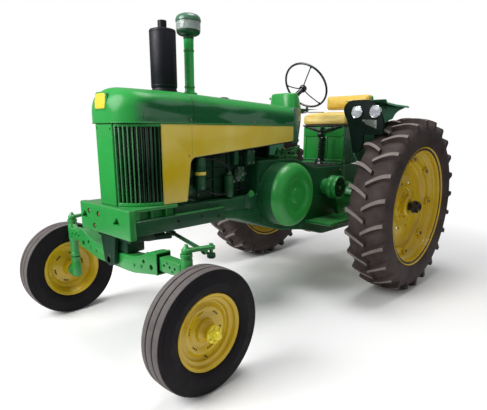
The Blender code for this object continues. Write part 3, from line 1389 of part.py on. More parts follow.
def flywheel_cover(parent):
    """The big round cover on the left end of the crankshaft."""
    profile = [
        (0, FLYWHEEL_HUB_X),
        (FLYWHEEL_HUB_RADIUS, FLYWHEEL_HUB_X),
        (FLYWHEEL_HUB_RADIUS, FLYWHEEL_DISH_X),
        (FLYWHEEL_DISH_RADIUS, FLYWHEEL_DISH_X),
        (FLYWHEEL_FACE_RADIUS, FLYWHEEL_FACE_X),
    ]
    reach = FLYWHEEL_RADIUS - FLYWHEEL_FACE_RADIUS
    rise = FLYWHEEL_FACE_X - FLYWHEEL_EDGE_X
    steps = 4
    for step in range(1, steps + 1):
        turn = pi / 2 * step / steps
        profile.append((FLYWHEEL_FACE_RADIUS + reach * sin(turn), FLYWHEEL_EDGE_X + rise * cos(turn)))
    profile += [(FLYWHEEL_RADIUS, CASE_HALF_WIDTH + FIT), (0, CASE_HALF_WIDTH + FIT)]
    cover = turned("flywheel_cover", profile, "X", ROUND_SEGMENTS, place=(0, CRANK_Y, CRANK_Z))
    return finish(cover, "green", parent)


def belt_pulley(parent):
    """The belt pulley on the right end of the crankshaft, from the crankshaft's own axis."""
    inner = -(CASE_HALF_WIDTH + PULLEY_SEAT_LENGTH + RUNNING_GAP)
    outer = inner - PULLEY_WIDTH
    bore = STUB_RADIUS + PIN_CLEARANCE
    web = inner - PULLEY_WEB
    profile = [
        (0, outer + PULLEY_HUB_END),
        (0, outer),
        (PULLEY_HUB_RADIUS, outer),
        (PULLEY_HUB_RADIUS, web),
        (PULLEY_RADIUS - PULLEY_RIM, web),
        (PULLEY_RADIUS - PULLEY_RIM, outer),
        (PULLEY_RADIUS, outer),
        (PULLEY_RADIUS + PULLEY_RIM / 3, (inner + outer) / 2),
        (PULLEY_RADIUS, inner),
        (bore, inner),
        (bore, outer + PULLEY_HUB_END),
    ]
    profile = profile[1:] + profile[:1]
    return finish(turned("belt_pulley", profile, "X", FRONT_SEGMENTS), "green", parent)


def housing_radius(x):
    """Outer radius of the tapering axle housing at a distance from the tractor's middle."""
    root_x = CASE_HALF_WIDTH + FIT + HOUSING_FLANGE_LENGTH
    share = (x - root_x) / (HOUSING_TIP_X - root_x)
    return HOUSING_ROOT_RADIUS + (HOUSING_TIP_RADIUS - HOUSING_ROOT_RADIUS) * share


def axle_housing(name, parent, side):
    """The tapering housing of one rear axle, open at its end for the shaft."""
    root = CASE_HALF_WIDTH + FIT
    bore = AXLE_SHAFT_RADIUS + PIN_CLEARANCE
    inner = AXLE_SHAFT_INNER_X - RUNNING_GAP
    profile = [
        (0, root), (HOUSING_FLANGE_RADIUS, root), (HOUSING_FLANGE_RADIUS, root + HOUSING_FLANGE_LENGTH),
        (HOUSING_ROOT_RADIUS, root + HOUSING_FLANGE_LENGTH), (HOUSING_TIP_RADIUS, HOUSING_TIP_X),
        (bore, HOUSING_TIP_X), (bore, inner), (0, inner),
    ]
    return finish(turned(name, profile, outward(side), place=(0, 0, REAR_TYRE_RADIUS)), "green", parent)


# Stacks

def muffler(parent):
    """The upright muffler on its pipe from the cylinder head."""
    edge = MUFFLER_EDGE
    profile = [
        (0, PIPE_TOP_Z),
        (PIPE_RADIUS, PIPE_TOP_Z),
        (PIPE_RADIUS, MUFFLER_TOP_Z),
        (MUFFLER_RADIUS - edge, MUFFLER_TOP_Z),
        (MUFFLER_RADIUS, MUFFLER_TOP_Z - edge),
        (MUFFLER_RADIUS, MUFFLER_BOTTOM_Z + edge),
        (MUFFLER_RADIUS - edge, MUFFLER_BOTTOM_Z),
        (PIPE_RADIUS, MUFFLER_BOTTOM_Z),
        (PIPE_RADIUS, HEAD_TOP_Z + FIT),
        (0, HEAD_TOP_Z + FIT),
    ]
    return finish(turned("muffler", profile, place=(0, MUFFLER_Y, 0)), "black", parent)


def intake(parent):
    """The air intake: green stem and funnel, glass bowl and green lid."""
    place = (0, STACK_Y, 0)
    stem = [
        (0, FUNNEL_TOP_Z), (FUNNEL_RADIUS, FUNNEL_TOP_Z), (STACK_RADIUS, STACK_TOP_Z),
        (STACK_RADIUS, ENGINE_TOP_Z + FIT), (0, ENGINE_TOP_Z + FIT),
    ]
    finish(turned("intake_stack", stem, place=place), "green", parent)
    bowl = [
        (0, BOWL_TOP_Z), (BOWL_RADIUS, BOWL_TOP_Z),
        (BOWL_RADIUS, FUNNEL_TOP_Z + FIT), (0, FUNNEL_TOP_Z + FIT),
    ]
    finish(turned("precleaner_bowl", bowl, place=place), "glass", parent)
    lid = [
        (0, LID_TOP_Z), (LID_RADIUS * LID_CROWN_SHARE, LID_TOP_Z - (LID_TOP_Z - LID_EDGE_Z) / 4),
        (LID_RADIUS, LID_EDGE_Z), (LID_RADIUS, BOWL_TOP_Z + FIT), (0, BOWL_TOP_Z + FIT),
    ]
    finish(turned("precleaner_lid", lid, place=place), "green", parent)


def fuel_cap(parent):
    """The round filler cap on the hood's ridge."""
    low = crown_height(CAP_Y - CAP_RADIUS) + FIT
    profile = [
        (0, low + CAP_HEIGHT), (CAP_RADIUS * CAP_CROWN_SHARE, low + CAP_HEIGHT),
        (CAP_RADIUS, low + CAP_HEIGHT / 2), (CAP_RADIUS, low), (0, low),
    ]
    return finish(turned("fuel_cap", profile, place=(0, CAP_Y, 0)), "black", parent)


# Driver's place

def steering_column(parent):
    """The tube from the cowl toward the steering wheel."""
    start, end, way = column_line()
    base = cylinder("steering_column", COLUMN_RADIUS, start, end, None)
    bore = cylinder("column_bore", STEER_SHAFT_RADIUS + PIN_CLEARANCE,
                    end - way * STEER_SHAFT_LENGTH, end + way * CUT_OVERRUN, None)
    cut(base, [bore])
    return finish(base, "black", parent)


def steering_wheel(parent):
    """Rim, three spokes, hub and shaft, drawn about +Z from the centre of the rim."""
    turns = [tau * step / STEER_SEGMENTS for step in range(STEER_SEGMENTS)]
    ring = [(STEER_RADIUS * cos(turn), STEER_RADIUS * sin(turn), 0) for turn in turns]
    rim = tube("steering_wheel", ring, STEER_RIM_RADIUS, closed=True, resolution=1)
    low = -STEER_DISH - STEER_HUB_HALF
    pieces = [cylinder("steer_hub", STEER_HUB_RADIUS, (0, 0, low), (0, 0, -STEER_DISH + STEER_HUB_HALF))]
    for number in range(STEER_SPOKES):
        turn = tau * number / STEER_SPOKES + STEER_SPOKE_TURN
        outer = Vector((STEER_RADIUS * cos(turn), STEER_RADIUS * sin(turn), 0))
        pieces.append(cylinder(f"spoke_{number}", STEER_SPOKE_RADIUS, (0, 0, -STEER_DISH), outer, None, 8))
    pieces.append(cylinder("steer_shaft", STEER_SHAFT_RADIUS, (0, 0, low - STEER_SHAFT_LENGTH),
                           (0, 0, -STEER_DISH)))
    combine(rim, pieces)
    return finish(rim, "black", parent)


def seat(parent):
    """Cushion, back rest, their steel frame and the box that carries them."""
    base_top = SEAT_BOTTOM_Z + SEAT_THICKNESS
    finish(box("seat_cushion", (-SEAT_HALF_WIDTH, SEAT_FRONT_Y, SEAT_BOTTOM_Z),
               (SEAT_HALF_WIDTH, SEAT_FRONT_Y + SEAT_DEPTH, base_top), SEAT_ROUND, 2), "seat", parent)
    finish(box("seat_back", (-SEAT_HALF_WIDTH, BACK_FRONT_Y, BACK_BOTTOM_Z),
               (SEAT_HALF_WIDTH, BACK_FRONT_Y + BACK_THICKNESS, BACK_BOTTOM_Z + BACK_HEIGHT), SEAT_ROUND, 2),
           "seat", parent)
    pan_top = SEAT_BOTTOM_Z - FIT
    strap = BACK_FRONT_Y + BACK_THICKNESS + FIT
    frame = box("seat_frame", (-SEAT_HALF_WIDTH + PAN_RIM, SEAT_FRONT_Y + PAN_RIM, pan_top - PAN_THICKNESS),
                (SEAT_HALF_WIDTH - PAN_RIM, strap + PAN_THICKNESS, pan_top))
    upright = box("seat_strap", (-BACK_STRAP_HALF, strap, pan_top - PAN_THICKNESS / 2),
                  (BACK_STRAP_HALF, strap + PAN_THICKNESS - SHEET / 4, BACK_BOTTOM_Z + BACK_HEIGHT / 2))
    combine(frame, [upright])
    finish(frame, "black", parent)
    foot = CASE_TOP_Z + FIT
    support = box("seat_support", (-SEAT_BOX_HALF, SEAT_BOX_FRONT_Y, foot),
                  (SEAT_BOX_HALF, SEAT_BOX_REAR_Y, pan_top - PAN_THICKNESS - FIT))
    recesses = []
    for side in (-1, 1):
        xs = sorted((side * SEAT_BOX_RIB, side * (SEAT_BOX_HALF - SEAT_BOX_BORDER)))
        low = (xs[0], SEAT_BOX_FRONT_Y - CUT_OVERRUN, foot + SEAT_BOX_BORDER)
        high = (xs[1], SEAT_BOX_FRONT_Y + SEAT_BOX_RECESS, SEAT_BOX_STEP_Z)
        recesses.append(box(f"seat_recess_{side}", low, high))
    cut(support, recesses)
    finish(support, "green", parent)


def fender(name, parent, side):
    """A flat-topped fender: top sheet, inner wall and the foot that stands on the axle housing."""
    top = FENDER_TOP_Z
    front = FENDER_FRONT_Y
    foot = REAR_TYRE_RADIUS + housing_radius(FENDER_WALL_X) + FIT
    wall = [
        (front, top - FENDER_SHEET / 2),
        (FENDER_TAIL_Y, top - FENDER_SHEET / 2),
        *((y, top - drop) for y, drop in FENDER_SLOPE),
        (FENDER_NECK_Y + FENDER_FOOT_HALF / 2, top - FENDER_NECK_DROP),
        (FENDER_FOOT_HALF, foot),
        (-FENDER_FOOT_HALF, foot),
        (front, top - FENDER_FRONT_DROP),
    ]
    xs = sorted((side * FENDER_WALL_X, side * (FENDER_WALL_X + FENDER_SHEET)))
    plate = prism(name, wall, xs[0], xs[1], "X")
    tail = FENDER_TAIL_Y + FENDER_SHEET
    edge = [(FENDER_OUTER_X, front), *((x, y) for y, x in FENDER_EDGE), (FENDER_WALL_X + FENDER_FLANGE, tail)]
    outline = [(FENDER_INNER_X, front)] + edge + [(FENDER_INNER_X, tail)]
    lid = prism(name + "_lid", [(side * x, y) for x, y in outline], top - FENDER_SHEET, top, "Z")
    strip = edge + [(x - FENDER_SHEET, y) for x, y in reversed(edge)]
    strip = [(side * x, y) for x, y in strip]
    lip = prism(name + "_lip", strip, top - FENDER_LIP, top - FENDER_SHEET / 2, "Z")
    combine(plate, [lid, lip])
    return finish(plate, "green", parent)


def light_panel(name, parent, side):
    """The black front of a fender with its two round lamps."""
    back = FENDER_FRONT_Y - FIT
    front = back - LIGHT_PANEL_DEPTH
    r = LIGHT_PANEL_ROUND
    top = FENDER_TOP_Z
    over_tyre = REAR_TYRE_RADIUS + sqrt((REAR_TYRE_RADIUS + TYRE_CLEARANCE) ** 2 - back ** 2)
    outline = [(FENDER_INNER_X + out, top - drop) for out, drop in LIGHT_PANEL_FOOT]
    outline += [(outline[-1][0], over_tyre), (FENDER_OUTER_X, over_tyre)]
    outline += [(FENDER_INNER_X + out, top - drop) for out, drop in LIGHT_PANEL_SIDE]
    outline += arc((FENDER_INNER_X + r, top - r), r, 90, 180, 4)
    outline += [(FENDER_INNER_X, LAMP_Z), (FENDER_INNER_X + LIGHT_PANEL_WAIST, LAMP_Z - LAMP_RADIUS * 2)]
    outline = [(side * x, z) for x, z in outline]
    plate = prism(name, outline, front, back, "Y")
    lamps = []
    for place in (LAMP_INNER_X, LAMP_OUTER_X):
        lamps.append(cylinder(f"{name}_lamp_{place}", LAMP_RADIUS, (side * place, front + SHEET, LAMP_Z),
                              (side * place, front - LAMP_DEPTH, LAMP_Z), None, LAMP_SEGMENTS,
                              LAMP_RADIUS * LAMP_EDGE_SHARE))
    combine(plate, lamps)
    return finish(plate, "black", parent)


def platform(name, parent, side):
    """The foot platform beside the main case."""
    xs = sorted((side * (CASE_HALF_WIDTH + FIT), side * PLATFORM_OUTER_X))
    plate = box(name, (xs[0], PLATFORM_FRONT_Y, PLATFORM_TOP_Z - PLATFORM_THICKNESS),
                (xs[1], PLATFORM_REAR_Y, PLATFORM_TOP_Z))
    return finish(plate, "green", parent)


def drawbar(parent):
    """The swinging drawbar under the main case, with its pin hole."""
    top = CASE_LOW_Z - FIT
    bar = box("drawbar", (-DRAWBAR_HALF_WIDTH, DRAWBAR_FRONT_Y, top - DRAWBAR_THICKNESS),
              (DRAWBAR_HALF_WIDTH, DRAWBAR_REAR_Y, top))
    y = DRAWBAR_REAR_Y - DRAWBAR_HALF_WIDTH
    hole = cylinder("drawbar_hole", DRAWBAR_HOLE_RADIUS, (0, y, top - DRAWBAR_THICKNESS - CUT_OVERRUN),
                    (0, y, top + CUT_OVERRUN))
    cut(bar, [hole])
    return finish(bar, "black", parent)


def gear_lever(parent):
    """The lever that stands on the gear case ahead of the seat."""
    stick = cylinder("gear_lever", LEVER_RADIUS, (LEVER_X, LEVER_Y, CASE_TOP_Z + FIT),
                     (LEVER_X, LEVER_Y, LEVER_TOP_Z))
    ball = [(LEVER_KNOB_RADIUS * cos(radians(turn)), LEVER_KNOB_RADIUS * sin(radians(turn)))
            for turn in (90, 40, -10, -60, -90)]
    knob = turned("lever_knob", ball, segments=SMALL_SEGMENTS, place=(LEVER_X, LEVER_Y, LEVER_TOP_Z))
    combine(stick, [knob])
    return finish(stick, "black", parent)


def build():
    """Makes every piece on its datum or its joint's axis."""
    datum = empty("tractor_datum", (0, REAR_AXLE_Y, 0))
    front_frame(datum)
    front_beam(datum)
    radiator(datum)
    grille(datum)
    nose(datum)
    hood(datum)
    cowl(datum)
    fuel_tank(datum)
    engine(datum)
    oil_filter(datum)
    main_case(datum)
    flywheel_cover(datum)
    muffler(datum)
    intake(datum)
    fuel_cap(datum)
    steering_column(datum)
    seat(datum)
    drawbar(datum)
    gear_lever(datum)
    crank = empty("crank_axis", (0, CRANK_Y, CRANK_Z), datum)
    belt_pulley(crank)
    steer_axis = empty("steering_wheel_axis", (0, STEER_Y, STEER_Z), datum)
    steer_axis.rotation_euler = (-STEER_TILT, 0, 0)
    steering_wheel(steer_axis)
    post = empty("centre_arm_axis", (0, CENTRE_ARM_Y, 0), datum)
    centre_arm(post)
    for side, word in ((1, "left"), (-1, "right")):
        side_panel(f"side_panel_{word}", datum, side)
        axle_extension(f"axle_extension_{word}", datum, side)
        axle_housing(f"axle_housing_{word}", datum, side)
        fender(f"fender_{word}", datum, side)
        light_panel(f"light_panel_{word}", datum, side)
        platform(f"platform_{word}", datum, side)
        kingpin = empty(f"kingpin_{word}", (side * KINGPIN_X, -WHEELBASE, 0), datum)
        knuckle(f"knuckle_{word}", kingpin, side)
        wheel_place = (side * (FRONT_WHEEL_X - KINGPIN_X), 0, FRONT_TYRE_RADIUS)
        wheel = empty(f"front_wheel_{word}", wheel_place, kingpin)
        front_tyre(f"front_tyre_{word}", wheel)
        front_rim(f"front_rim_{word}", wheel, side)
        rod_pin = empty(f"rod_pin_{word}", (side * ARM_X, ARM_Y, 0), post)
        tie_rod(f"tie_rod_{word}", rod_pin, side)
        rear = empty(f"rear_wheel_{word}", (side * REAR_WHEEL_X, 0, REAR_TYRE_RADIUS), datum)
        rear_tyre(f"rear_tyre_{word}", rear)
        rear_rim(f"rear_rim_{word}", rear, side)
        rear_hub(f"rear_hub_{word}", rear, side)
    for tool, owner in HOLES:
        tool.parent = owner.parent


clear_scene()
PIECES = collection("row_crop_tractor")
CUTTERS = collection("cutters")
HOLES = []
build()
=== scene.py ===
"""Looks of a 1950s row-crop tractor with a wide front axle, dressed around its CAD part.

Metres, +Z up. The front faces -Y and the tractor's left side faces +X. A shape is a pair of
corner points and faces; each piece joins shapes, takes one finish and rides on a body.
"""

import bmesh
import bpy
import numpy as np
from math import atan2, cos, pi, radians, sin, sqrt, tau
from mathutils import Matrix, Vector
from mathutils.bvhtree import BVHTree


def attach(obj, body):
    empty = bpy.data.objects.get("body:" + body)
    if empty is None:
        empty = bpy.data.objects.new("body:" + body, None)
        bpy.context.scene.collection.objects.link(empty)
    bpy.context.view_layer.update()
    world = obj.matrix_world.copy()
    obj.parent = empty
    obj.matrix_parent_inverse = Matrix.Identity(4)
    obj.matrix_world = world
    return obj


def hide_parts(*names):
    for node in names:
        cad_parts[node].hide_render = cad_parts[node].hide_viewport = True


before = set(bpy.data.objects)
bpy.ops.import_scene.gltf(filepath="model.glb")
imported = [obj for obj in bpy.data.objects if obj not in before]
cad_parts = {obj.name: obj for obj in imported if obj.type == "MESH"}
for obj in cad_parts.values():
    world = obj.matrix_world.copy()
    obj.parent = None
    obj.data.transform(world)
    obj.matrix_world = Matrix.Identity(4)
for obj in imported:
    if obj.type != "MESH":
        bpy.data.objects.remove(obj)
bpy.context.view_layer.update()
TINY = 1e-6
WELD = 1e-5
SIDES = (("left", 1), ("right", -1))
LEFT, RIGHT, FRONT, BACK, UP = (1, 0, 0), (-1, 0, 0), (0, -1, 0), (0, 1, 0), (0, 0, 1)

# Main places, the same as the CAD part's
REAR_RADIUS = 0.736
REAR_AXLE = Vector((0.821, 0.9475, REAR_RADIUS))
FRONT_AXLE = Vector((0.7775, -1.3385, 0.345))

# Places with y measured from the rear axle
KINGPIN = np.array((0.655, -2.286, 0.0))
POST = np.array((0.0, -2.08, 0.0))
MUFFLER = (0, -1.9, 0)
INTAKE = (0, -1.69, 0)
CRANK = (0, -1.01, 0.887)
BRAKE = (0.235, -0.345, 0.885)
PIVOT_Z = 0.583
HOOD_HALF, HOOD_FOOT, HOOD_TOP = 0.25, 1.402, 1.606
STEER_TILT = radians(56.7)


def tenths(*numbers):
    """A flat outline or profile, whose numbers are in tenths of a millimetre, as pairs in metres."""
    metres = [number / 10000 for number in numbers]
    return list(zip(metres[::2], metres[1::2]))


# Shapes: every function returns (points, faces)

def grid(points, wrap_rows=False, wrap_columns=False, cap_low=False, cap_high=False):
    """Quads over an array of rows of points; a cap fills the first or the last row."""
    rows, columns = points.shape[:2]
    index = np.arange(rows * columns).reshape(rows, columns)
    net = np.vstack([index, index[:1]]) if wrap_rows else index
    net = np.hstack([net, net[:, :1]]) if wrap_columns else net
    quads = np.stack([net[:-1, :-1], net[1:, :-1], net[1:, 1:], net[:-1, 1:]], -1)
    faces = quads.reshape(-1, 4).tolist()
    if cap_low:
        faces.append(index[0].tolist())
    if cap_high:
        faces.append(index[-1][::-1].tolist())
    return points.reshape(-1, 3), faces


def moved(shape, matrix):
    """The same shape turned and shifted by a 4 x 4 matrix."""
    turn = np.array(matrix, float)
    return shape[0] @ turn[:3, :3].T + turn[:3, 3], shape[1]


def spun(shape, angle, place=(0, 0, 0), axis="Z"):
    """A shape turned by an angle about an axis, then shifted to a place."""
    return moved(shape, Matrix.Translation(place) @ Matrix.Rotation(angle, 4, axis))


def shifted(shape, place):
    """The same shape shifted by a vector."""
    return shape[0] + np.array(place, float), shape[1]


def flipped(shape, axis=0):
    """The mirror image of a shape in the plane through the origin across one axis."""
    points = shape[0].copy()
    points[:, axis] *= -1
    return points, [face[::-1] for face in shape[1]]


def joined(shapes):
    """Several shapes as one."""
    points, faces, start = [], [], 0
    for corner, face in shapes:
        points.append(corner)
        faces += [[number + start for number in one] for one in face]
        start += len(corner)
    return np.vstack(points), faces


def aimed(direction, place=(0, 0, 0), up=(0, 0, 1)):
    """A matrix whose +Z points along direction, standing at place."""
    z = Vector(direction).normalized()
    side = Vector(up).cross(z)
    if side.length < 1e-4:
        side = Vector((1, 0, 0)).cross(z) if abs(z.x) < 0.9 else Vector((0, 1, 0)).cross(z)
    x = side.normalized()
    y = z.cross(x)
    turn = Matrix((x, y, z)).transposed().to_4x4()
    return Matrix.Translation(place) @ turn


def rounded(points, radius, steps=3, closed=False):
    """A 2-D or 3-D line whose corners are replaced by quadratic arcs that start radius away."""
    points = np.array(points, float)
    count = len(points)
    radius = np.broadcast_to(np.asarray(radius, float), (count,))
    made = []
    for number in range(count):
        here = points[number]
        if not closed and number in (0, count - 1):
            made.append(here)
            continue
        before, after = points[number - 1] - here, points[(number + 1) % count] - here
        reach_a = min(radius[number], 0.49 * np.linalg.norm(before))
        reach_b = min(radius[number], 0.49 * np.linalg.norm(after))
        if min(reach_a, reach_b) < TINY:
            made.append(here)
            continue
        start = here + before / np.linalg.norm(before) * reach_a
        end = here + after / np.linalg.norm(after) * reach_b
        for share in np.linspace(0, 1, steps + 1):
            made.append((1 - share) ** 2 * start + 2 * share * (1 - share) * here + share ** 2 * end)
    return np.array(made)


def lathe(profile, segments=64, closed=False):
    """A profile of (radius, height) turned about +Z: x = r cos t, y = r sin t, z = h."""
    profile = np.array(profile, float)
    turn = np.linspace(0, tau, segments, endpoint=False)
    radius, height = profile[:, 0][:, None], profile[:, 1][:, None]
    points = np.stack([radius * np.cos(turn), radius * np.sin(turn),
        np.broadcast_to(height, (len(profile), segments))], -1)
    return grid(points, wrap_rows=closed, wrap_columns=True)


def rod(radius, start, end, segments=24, edge=0.0015, tip=None):
    """A round bar from start to end with softened ends; tip is its radius at the far end."""
    start, end = Vector(start), Vector(end)
    length = (end - start).length
    tip = radius if tip is None else tip
    soft = min(edge, radius * 0.5, tip * 0.5, length * 0.4)
    line = [(0, 0), (radius - soft, 0), (radius, soft), (tip, length - soft), (tip - soft, length), (0, length)]
    return moved(lathe(line, segments), aimed(end - start, start))


def spline(points, count=48, closed=False):
    """A smooth Catmull-Rom line of count points through the given ones."""
    points = np.array(points, float)
    knots = np.vstack([points[-1:], points, points[:2]]) if closed else np.vstack([2 * points[:1] - points[1:2],
        points, 2 * points[-1:] - points[-2:-1]])
    spans = len(points) if closed else len(points) - 1
    place = np.linspace(0, spans, count, endpoint=not closed)
    first = np.minimum(place.astype(int), spans - 1)
    share = (place - first)[:, None]
    a, b, c, d = (knots[first + step] for step in range(4))
    return 0.5 * (2 * b + (c - a) * share + (2 * a - 5 * b + 4 * c - d) * share ** 2 + (3 * b - a - 3 * c + d)
        * share ** 3)


def sweep(path, section, closed=False, scale=None):
    """A flat section carried along a path without twist; section is a radius or (x, y) points."""
    path = np.array(path, float)
    if np.isscalar(section):
        turn = np.linspace(0, tau, 16, endpoint=False)
        section = np.stack([np.cos(turn), np.sin(turn)], -1) * section
    section = np.array(section, float)
    ahead = np.roll(path, -1, 0) - path if closed else np.gradient(path, axis=0)
    if closed:
        ahead = ahead + path - np.roll(path, 1, 0)
    ahead /= np.linalg.norm(ahead, axis=1)[:, None]
    side = np.cross(ahead[0], (0, 0, 1.0))
    if np.linalg.norm(side) < 0.1:
        side = np.cross(ahead[0], (0, 1.0, 0))
    rings = []
    scale = np.ones(len(path)) if scale is None else np.array(scale, float)
    for number, (place, way) in enumerate(zip(path, ahead)):
        side = side - way * side.dot(way)
        side /= np.linalg.norm(side)
        up = np.cross(side, way)
        ring = section * scale[number]
        rings.append(place + ring[:, :1] * side + ring[:, 1:] * up)
    return grid(np.array(rings), wrap_rows=closed, wrap_columns=True, cap_low=not closed, cap_high=not closed)


def inset(outline, distance):
    """An outline drawn anticlockwise and moved inward by a distance at every corner."""
    ahead = np.roll(outline, -1, 0) - outline
    ahead /= np.maximum(np.linalg.norm(ahead, axis=1), TINY)[:, None]
    normal = np.stack([-ahead[:, 1], ahead[:, 0]], -1)
    before = np.roll(normal, 1, 0)
    spread = np.maximum(1 + (normal * before).sum(1), 0.35)[:, None]
    return outline + (normal + before) / spread * distance


def anticlockwise(outline):
    """An outline turned round if its signed area says that it is drawn clockwise."""
    after = np.roll(outline, -1, 0)
    drawn = (outline[:, 0] * after[:, 1] - after[:, 0] * outline[:, 1]).sum()
    return outline[::-1] if drawn < 0 else outline


def slab(outline, low, high, edge=0.003, axis="Z", steps=3):
    """A flat outline thickened from low to high with quarter-round edges.

    The outline's two numbers are the two other axes in X, Y, Z order.
    """
    outline = anticlockwise(np.array(outline, float))
    edge = min(edge, (high - low) * 0.49)
    turns = np.linspace(0, pi / 2, steps + 1)
    rows = [(low + edge - edge * cos(turn), edge - edge * sin(turn)) for turn in turns]
    rows += [(high - edge + edge * sin(turn), edge - edge * cos(turn)) for turn in turns]
    points = []
    for level, pull in rows:
        flat = inset(outline, pull)
        points.append(np.column_stack([flat, np.full(len(flat), level)]))
    points, faces = grid(np.array(points), wrap_columns=True, cap_low=True, cap_high=True)
    order = {"Z": (0, 1, 2), "Y": (0, 2, 1), "X": (2, 0, 1)}[axis]
    return points[:, order], faces


def cut_plate(outline, radius, arc, low, high, edge=0.003, axis="Z", steps=3):
    """A slab whose outline first gets rounded corners of arc steps each."""
    return slab(rounded(outline, radius, arc, True), low, high, edge, axis, steps)


def block(low, high, edge=0.004, axis="Z", corner=None):
    """A box between two corners with rounded edges; corner rounds the four upright ones."""
    keep = {"Z": (0, 1, 2), "Y": (0, 2, 1), "X": (1, 2, 0)}[axis]
    (a, b, c), (d, e, f) = ([point[number] for number in keep] for point in (low, high))
    outline = rounded([(a, b), (d, b), (d, e), (a, e)], edge if corner is None else corner, 3, closed=True)
    return slab(outline, c, f, edge, axis)


def hulled(points, radius, steps=4):
    """The convex solid round points, each also mirrored across x = 0, with its edges rounded."""
    mesh = bmesh.new()
    for x, y, z in points:
        mesh.verts.new((x, y, z))
        if x > TINY:
            mesh.verts.new((-x, y, z))
    bmesh.ops.convex_hull(mesh, input=mesh.verts)
    bmesh.ops.delete(mesh, geom=[vert for vert in mesh.verts if not vert.link_faces], context="VERTS")
    bmesh.ops.dissolve_limit(mesh, angle_limit=radians(1), verts=mesh.verts, edges=mesh.edges)
    bmesh.ops.bevel(mesh, geom=mesh.edges[:] + mesh.verts[:], offset=radius, segments=steps, profile=0.5,
        affect="EDGES", clamp_overlap=True)
    bmesh.ops.recalc_face_normals(mesh, faces=mesh.faces)
    mesh.verts.index_update()
    made = np.array([vert.co[:] for vert in mesh.verts])
    faces = [tuple(vert.index for vert in face.verts) for face in mesh.faces]
    mesh.free()
    return made, faces


def skin(points, thickness):
    """A sheet through rows of points, made a closed wall by a second sheet inside it."""
    along = np.gradient(points, axis=0)
    across = np.gradient(points, axis=1)
    normal = np.cross(along, across)
    normal /= np.maximum(np.linalg.norm(normal, axis=-1), TINY)[..., None]
    inner = points - normal * thickness
    rows, columns = points.shape[:2]
    outer_faces = grid(points)[1]
    size = rows * columns
    inner_faces = [[number + size for number in face[::-1]] for face in outer_faces]
    index = np.arange(size).reshape(rows, columns)
    rim = np.concatenate([index[0, :-1], index[:-1, -1], index[-1, :0:-1], index[:0:-1, 0]])
    after = np.roll(rim, -1)
    walls = np.stack([rim, after, after + size, rim + size], -1).tolist()
    return np.vstack([points.reshape(-1, 3), inner.reshape(-1, 3)]), outer_faces + inner_faces + walls


def bolt(size, height, washer=0.0):
    """A six-sided head with a softened top, on a round washer where asked."""
    hexagon, circle = (np.stack([np.cos(turn), np.sin(turn)], -1) for turn in (np.arange(count) * tau / count
        for count in (6, 20)))
    head = slab(hexagon * size, washer - 0.0005, washer + height, size * 0.12, steps=1)
    if not washer:
        return head
    ring = slab(circle * size * 1.35, -0.0005, washer, washer * 0.3, steps=1)
    return joined([head, ring])


def bolts(places, direction, size=0.01, height=0.007, washer=0.002):
    """Bolt heads standing on a surface at each place, all facing one direction."""
    head = bolt(size, height, washer)
    return joined([moved(head, aimed(direction, place)) for place in places])


def ring_places(centre, radius, count, axis=0, start=0.0):
    """Places spread evenly round a circle whose axis is x (0), y (1) or z (2)."""
    first, second = [(1, 2), (0, 2), (0, 1)][axis]
    turn = start + np.arange(count) * tau / count
    places = np.tile(np.array(centre, float), (count, 1))
    places[:, first] += radius * np.cos(turn)
    places[:, second] += radius * np.sin(turn)
    return places


# Finishes

class Nodes:
    """Short calls to add and wire the nodes of one tree."""

    def __init__(self, tree):
        self.tree = tree

    def add(self, kind, *sources, **settings):
        """A node of a kind; sources feed its inputs in order, None leaves one as it is."""
        made = self.tree.nodes.new(kind)
        for name, value in settings.items():
            if hasattr(made, name):
                setattr(made, name, value)
        for number, source in enumerate(sources):
            self.feed(source, made.inputs[number])
        return made

    def feed(self, source, socket):
        """Links a socket, or sets its value where source is a number or a colour."""
        if source is None:
            return
        if isinstance(source, bpy.types.NodeSocket):
            self.tree.links.new(source, socket)
        elif isinstance(source, (tuple, list)) and len(source) == 3 and socket.type == "RGBA":
            socket.default_value = (*source, 1.0)
        else:
            socket.default_value = source

    def noise(self, vector, scale, detail=3.0, roughness=0.5):
        """Cloudy values of about 0 to 1."""
        made = self.add("ShaderNodeTexNoise")
        for name, value in (("Vector", vector), ("Scale", scale), ("Detail", detail), ("Roughness", roughness)):
            self.feed(value, made.inputs[name])
        return made.outputs["Fac"]

    def ramp(self, source, low, high, bottom=0.0, top=1.0):
        """Values spread from low..high to bottom..top and held there."""
        made = self.add("ShaderNodeMapRange", source, low, high, bottom, top)
        return made.outputs["Result"]

    def math(self, operation, first, second=None):
        """One sum, product or other operation on values."""
        return self.add("ShaderNodeMath", first, second, operation=operation).outputs[0]

    def mix(self, factor, first, second, blend="MIX"):
        """A colour between two others."""
        made = self.add("ShaderNodeMix", data_type="RGBA", blend_type=blend)
        self.feed(factor, made.inputs[0])
        self.feed(first, made.inputs[6])
        self.feed(second, made.inputs[7])
        return made.outputs[2]


def node_group(name, inputs, outputs):
    """An empty shader group with named sockets, and its start and end nodes."""
    tree = bpy.data.node_groups.new(name, "ShaderNodeTree")
    for label, kind, value in inputs:
        socket = tree.interface.new_socket(name=label, in_out="INPUT", socket_type=kind)
        if value is not None:
            socket.default_value = value
    for label, kind in outputs:
        tree.interface.new_socket(name=label, in_out="OUTPUT", socket_type=kind)
    maker = Nodes(tree)
    return maker, tree.nodes.new("NodeGroupInput").outputs, tree.nodes.new("NodeGroupOutput").inputs


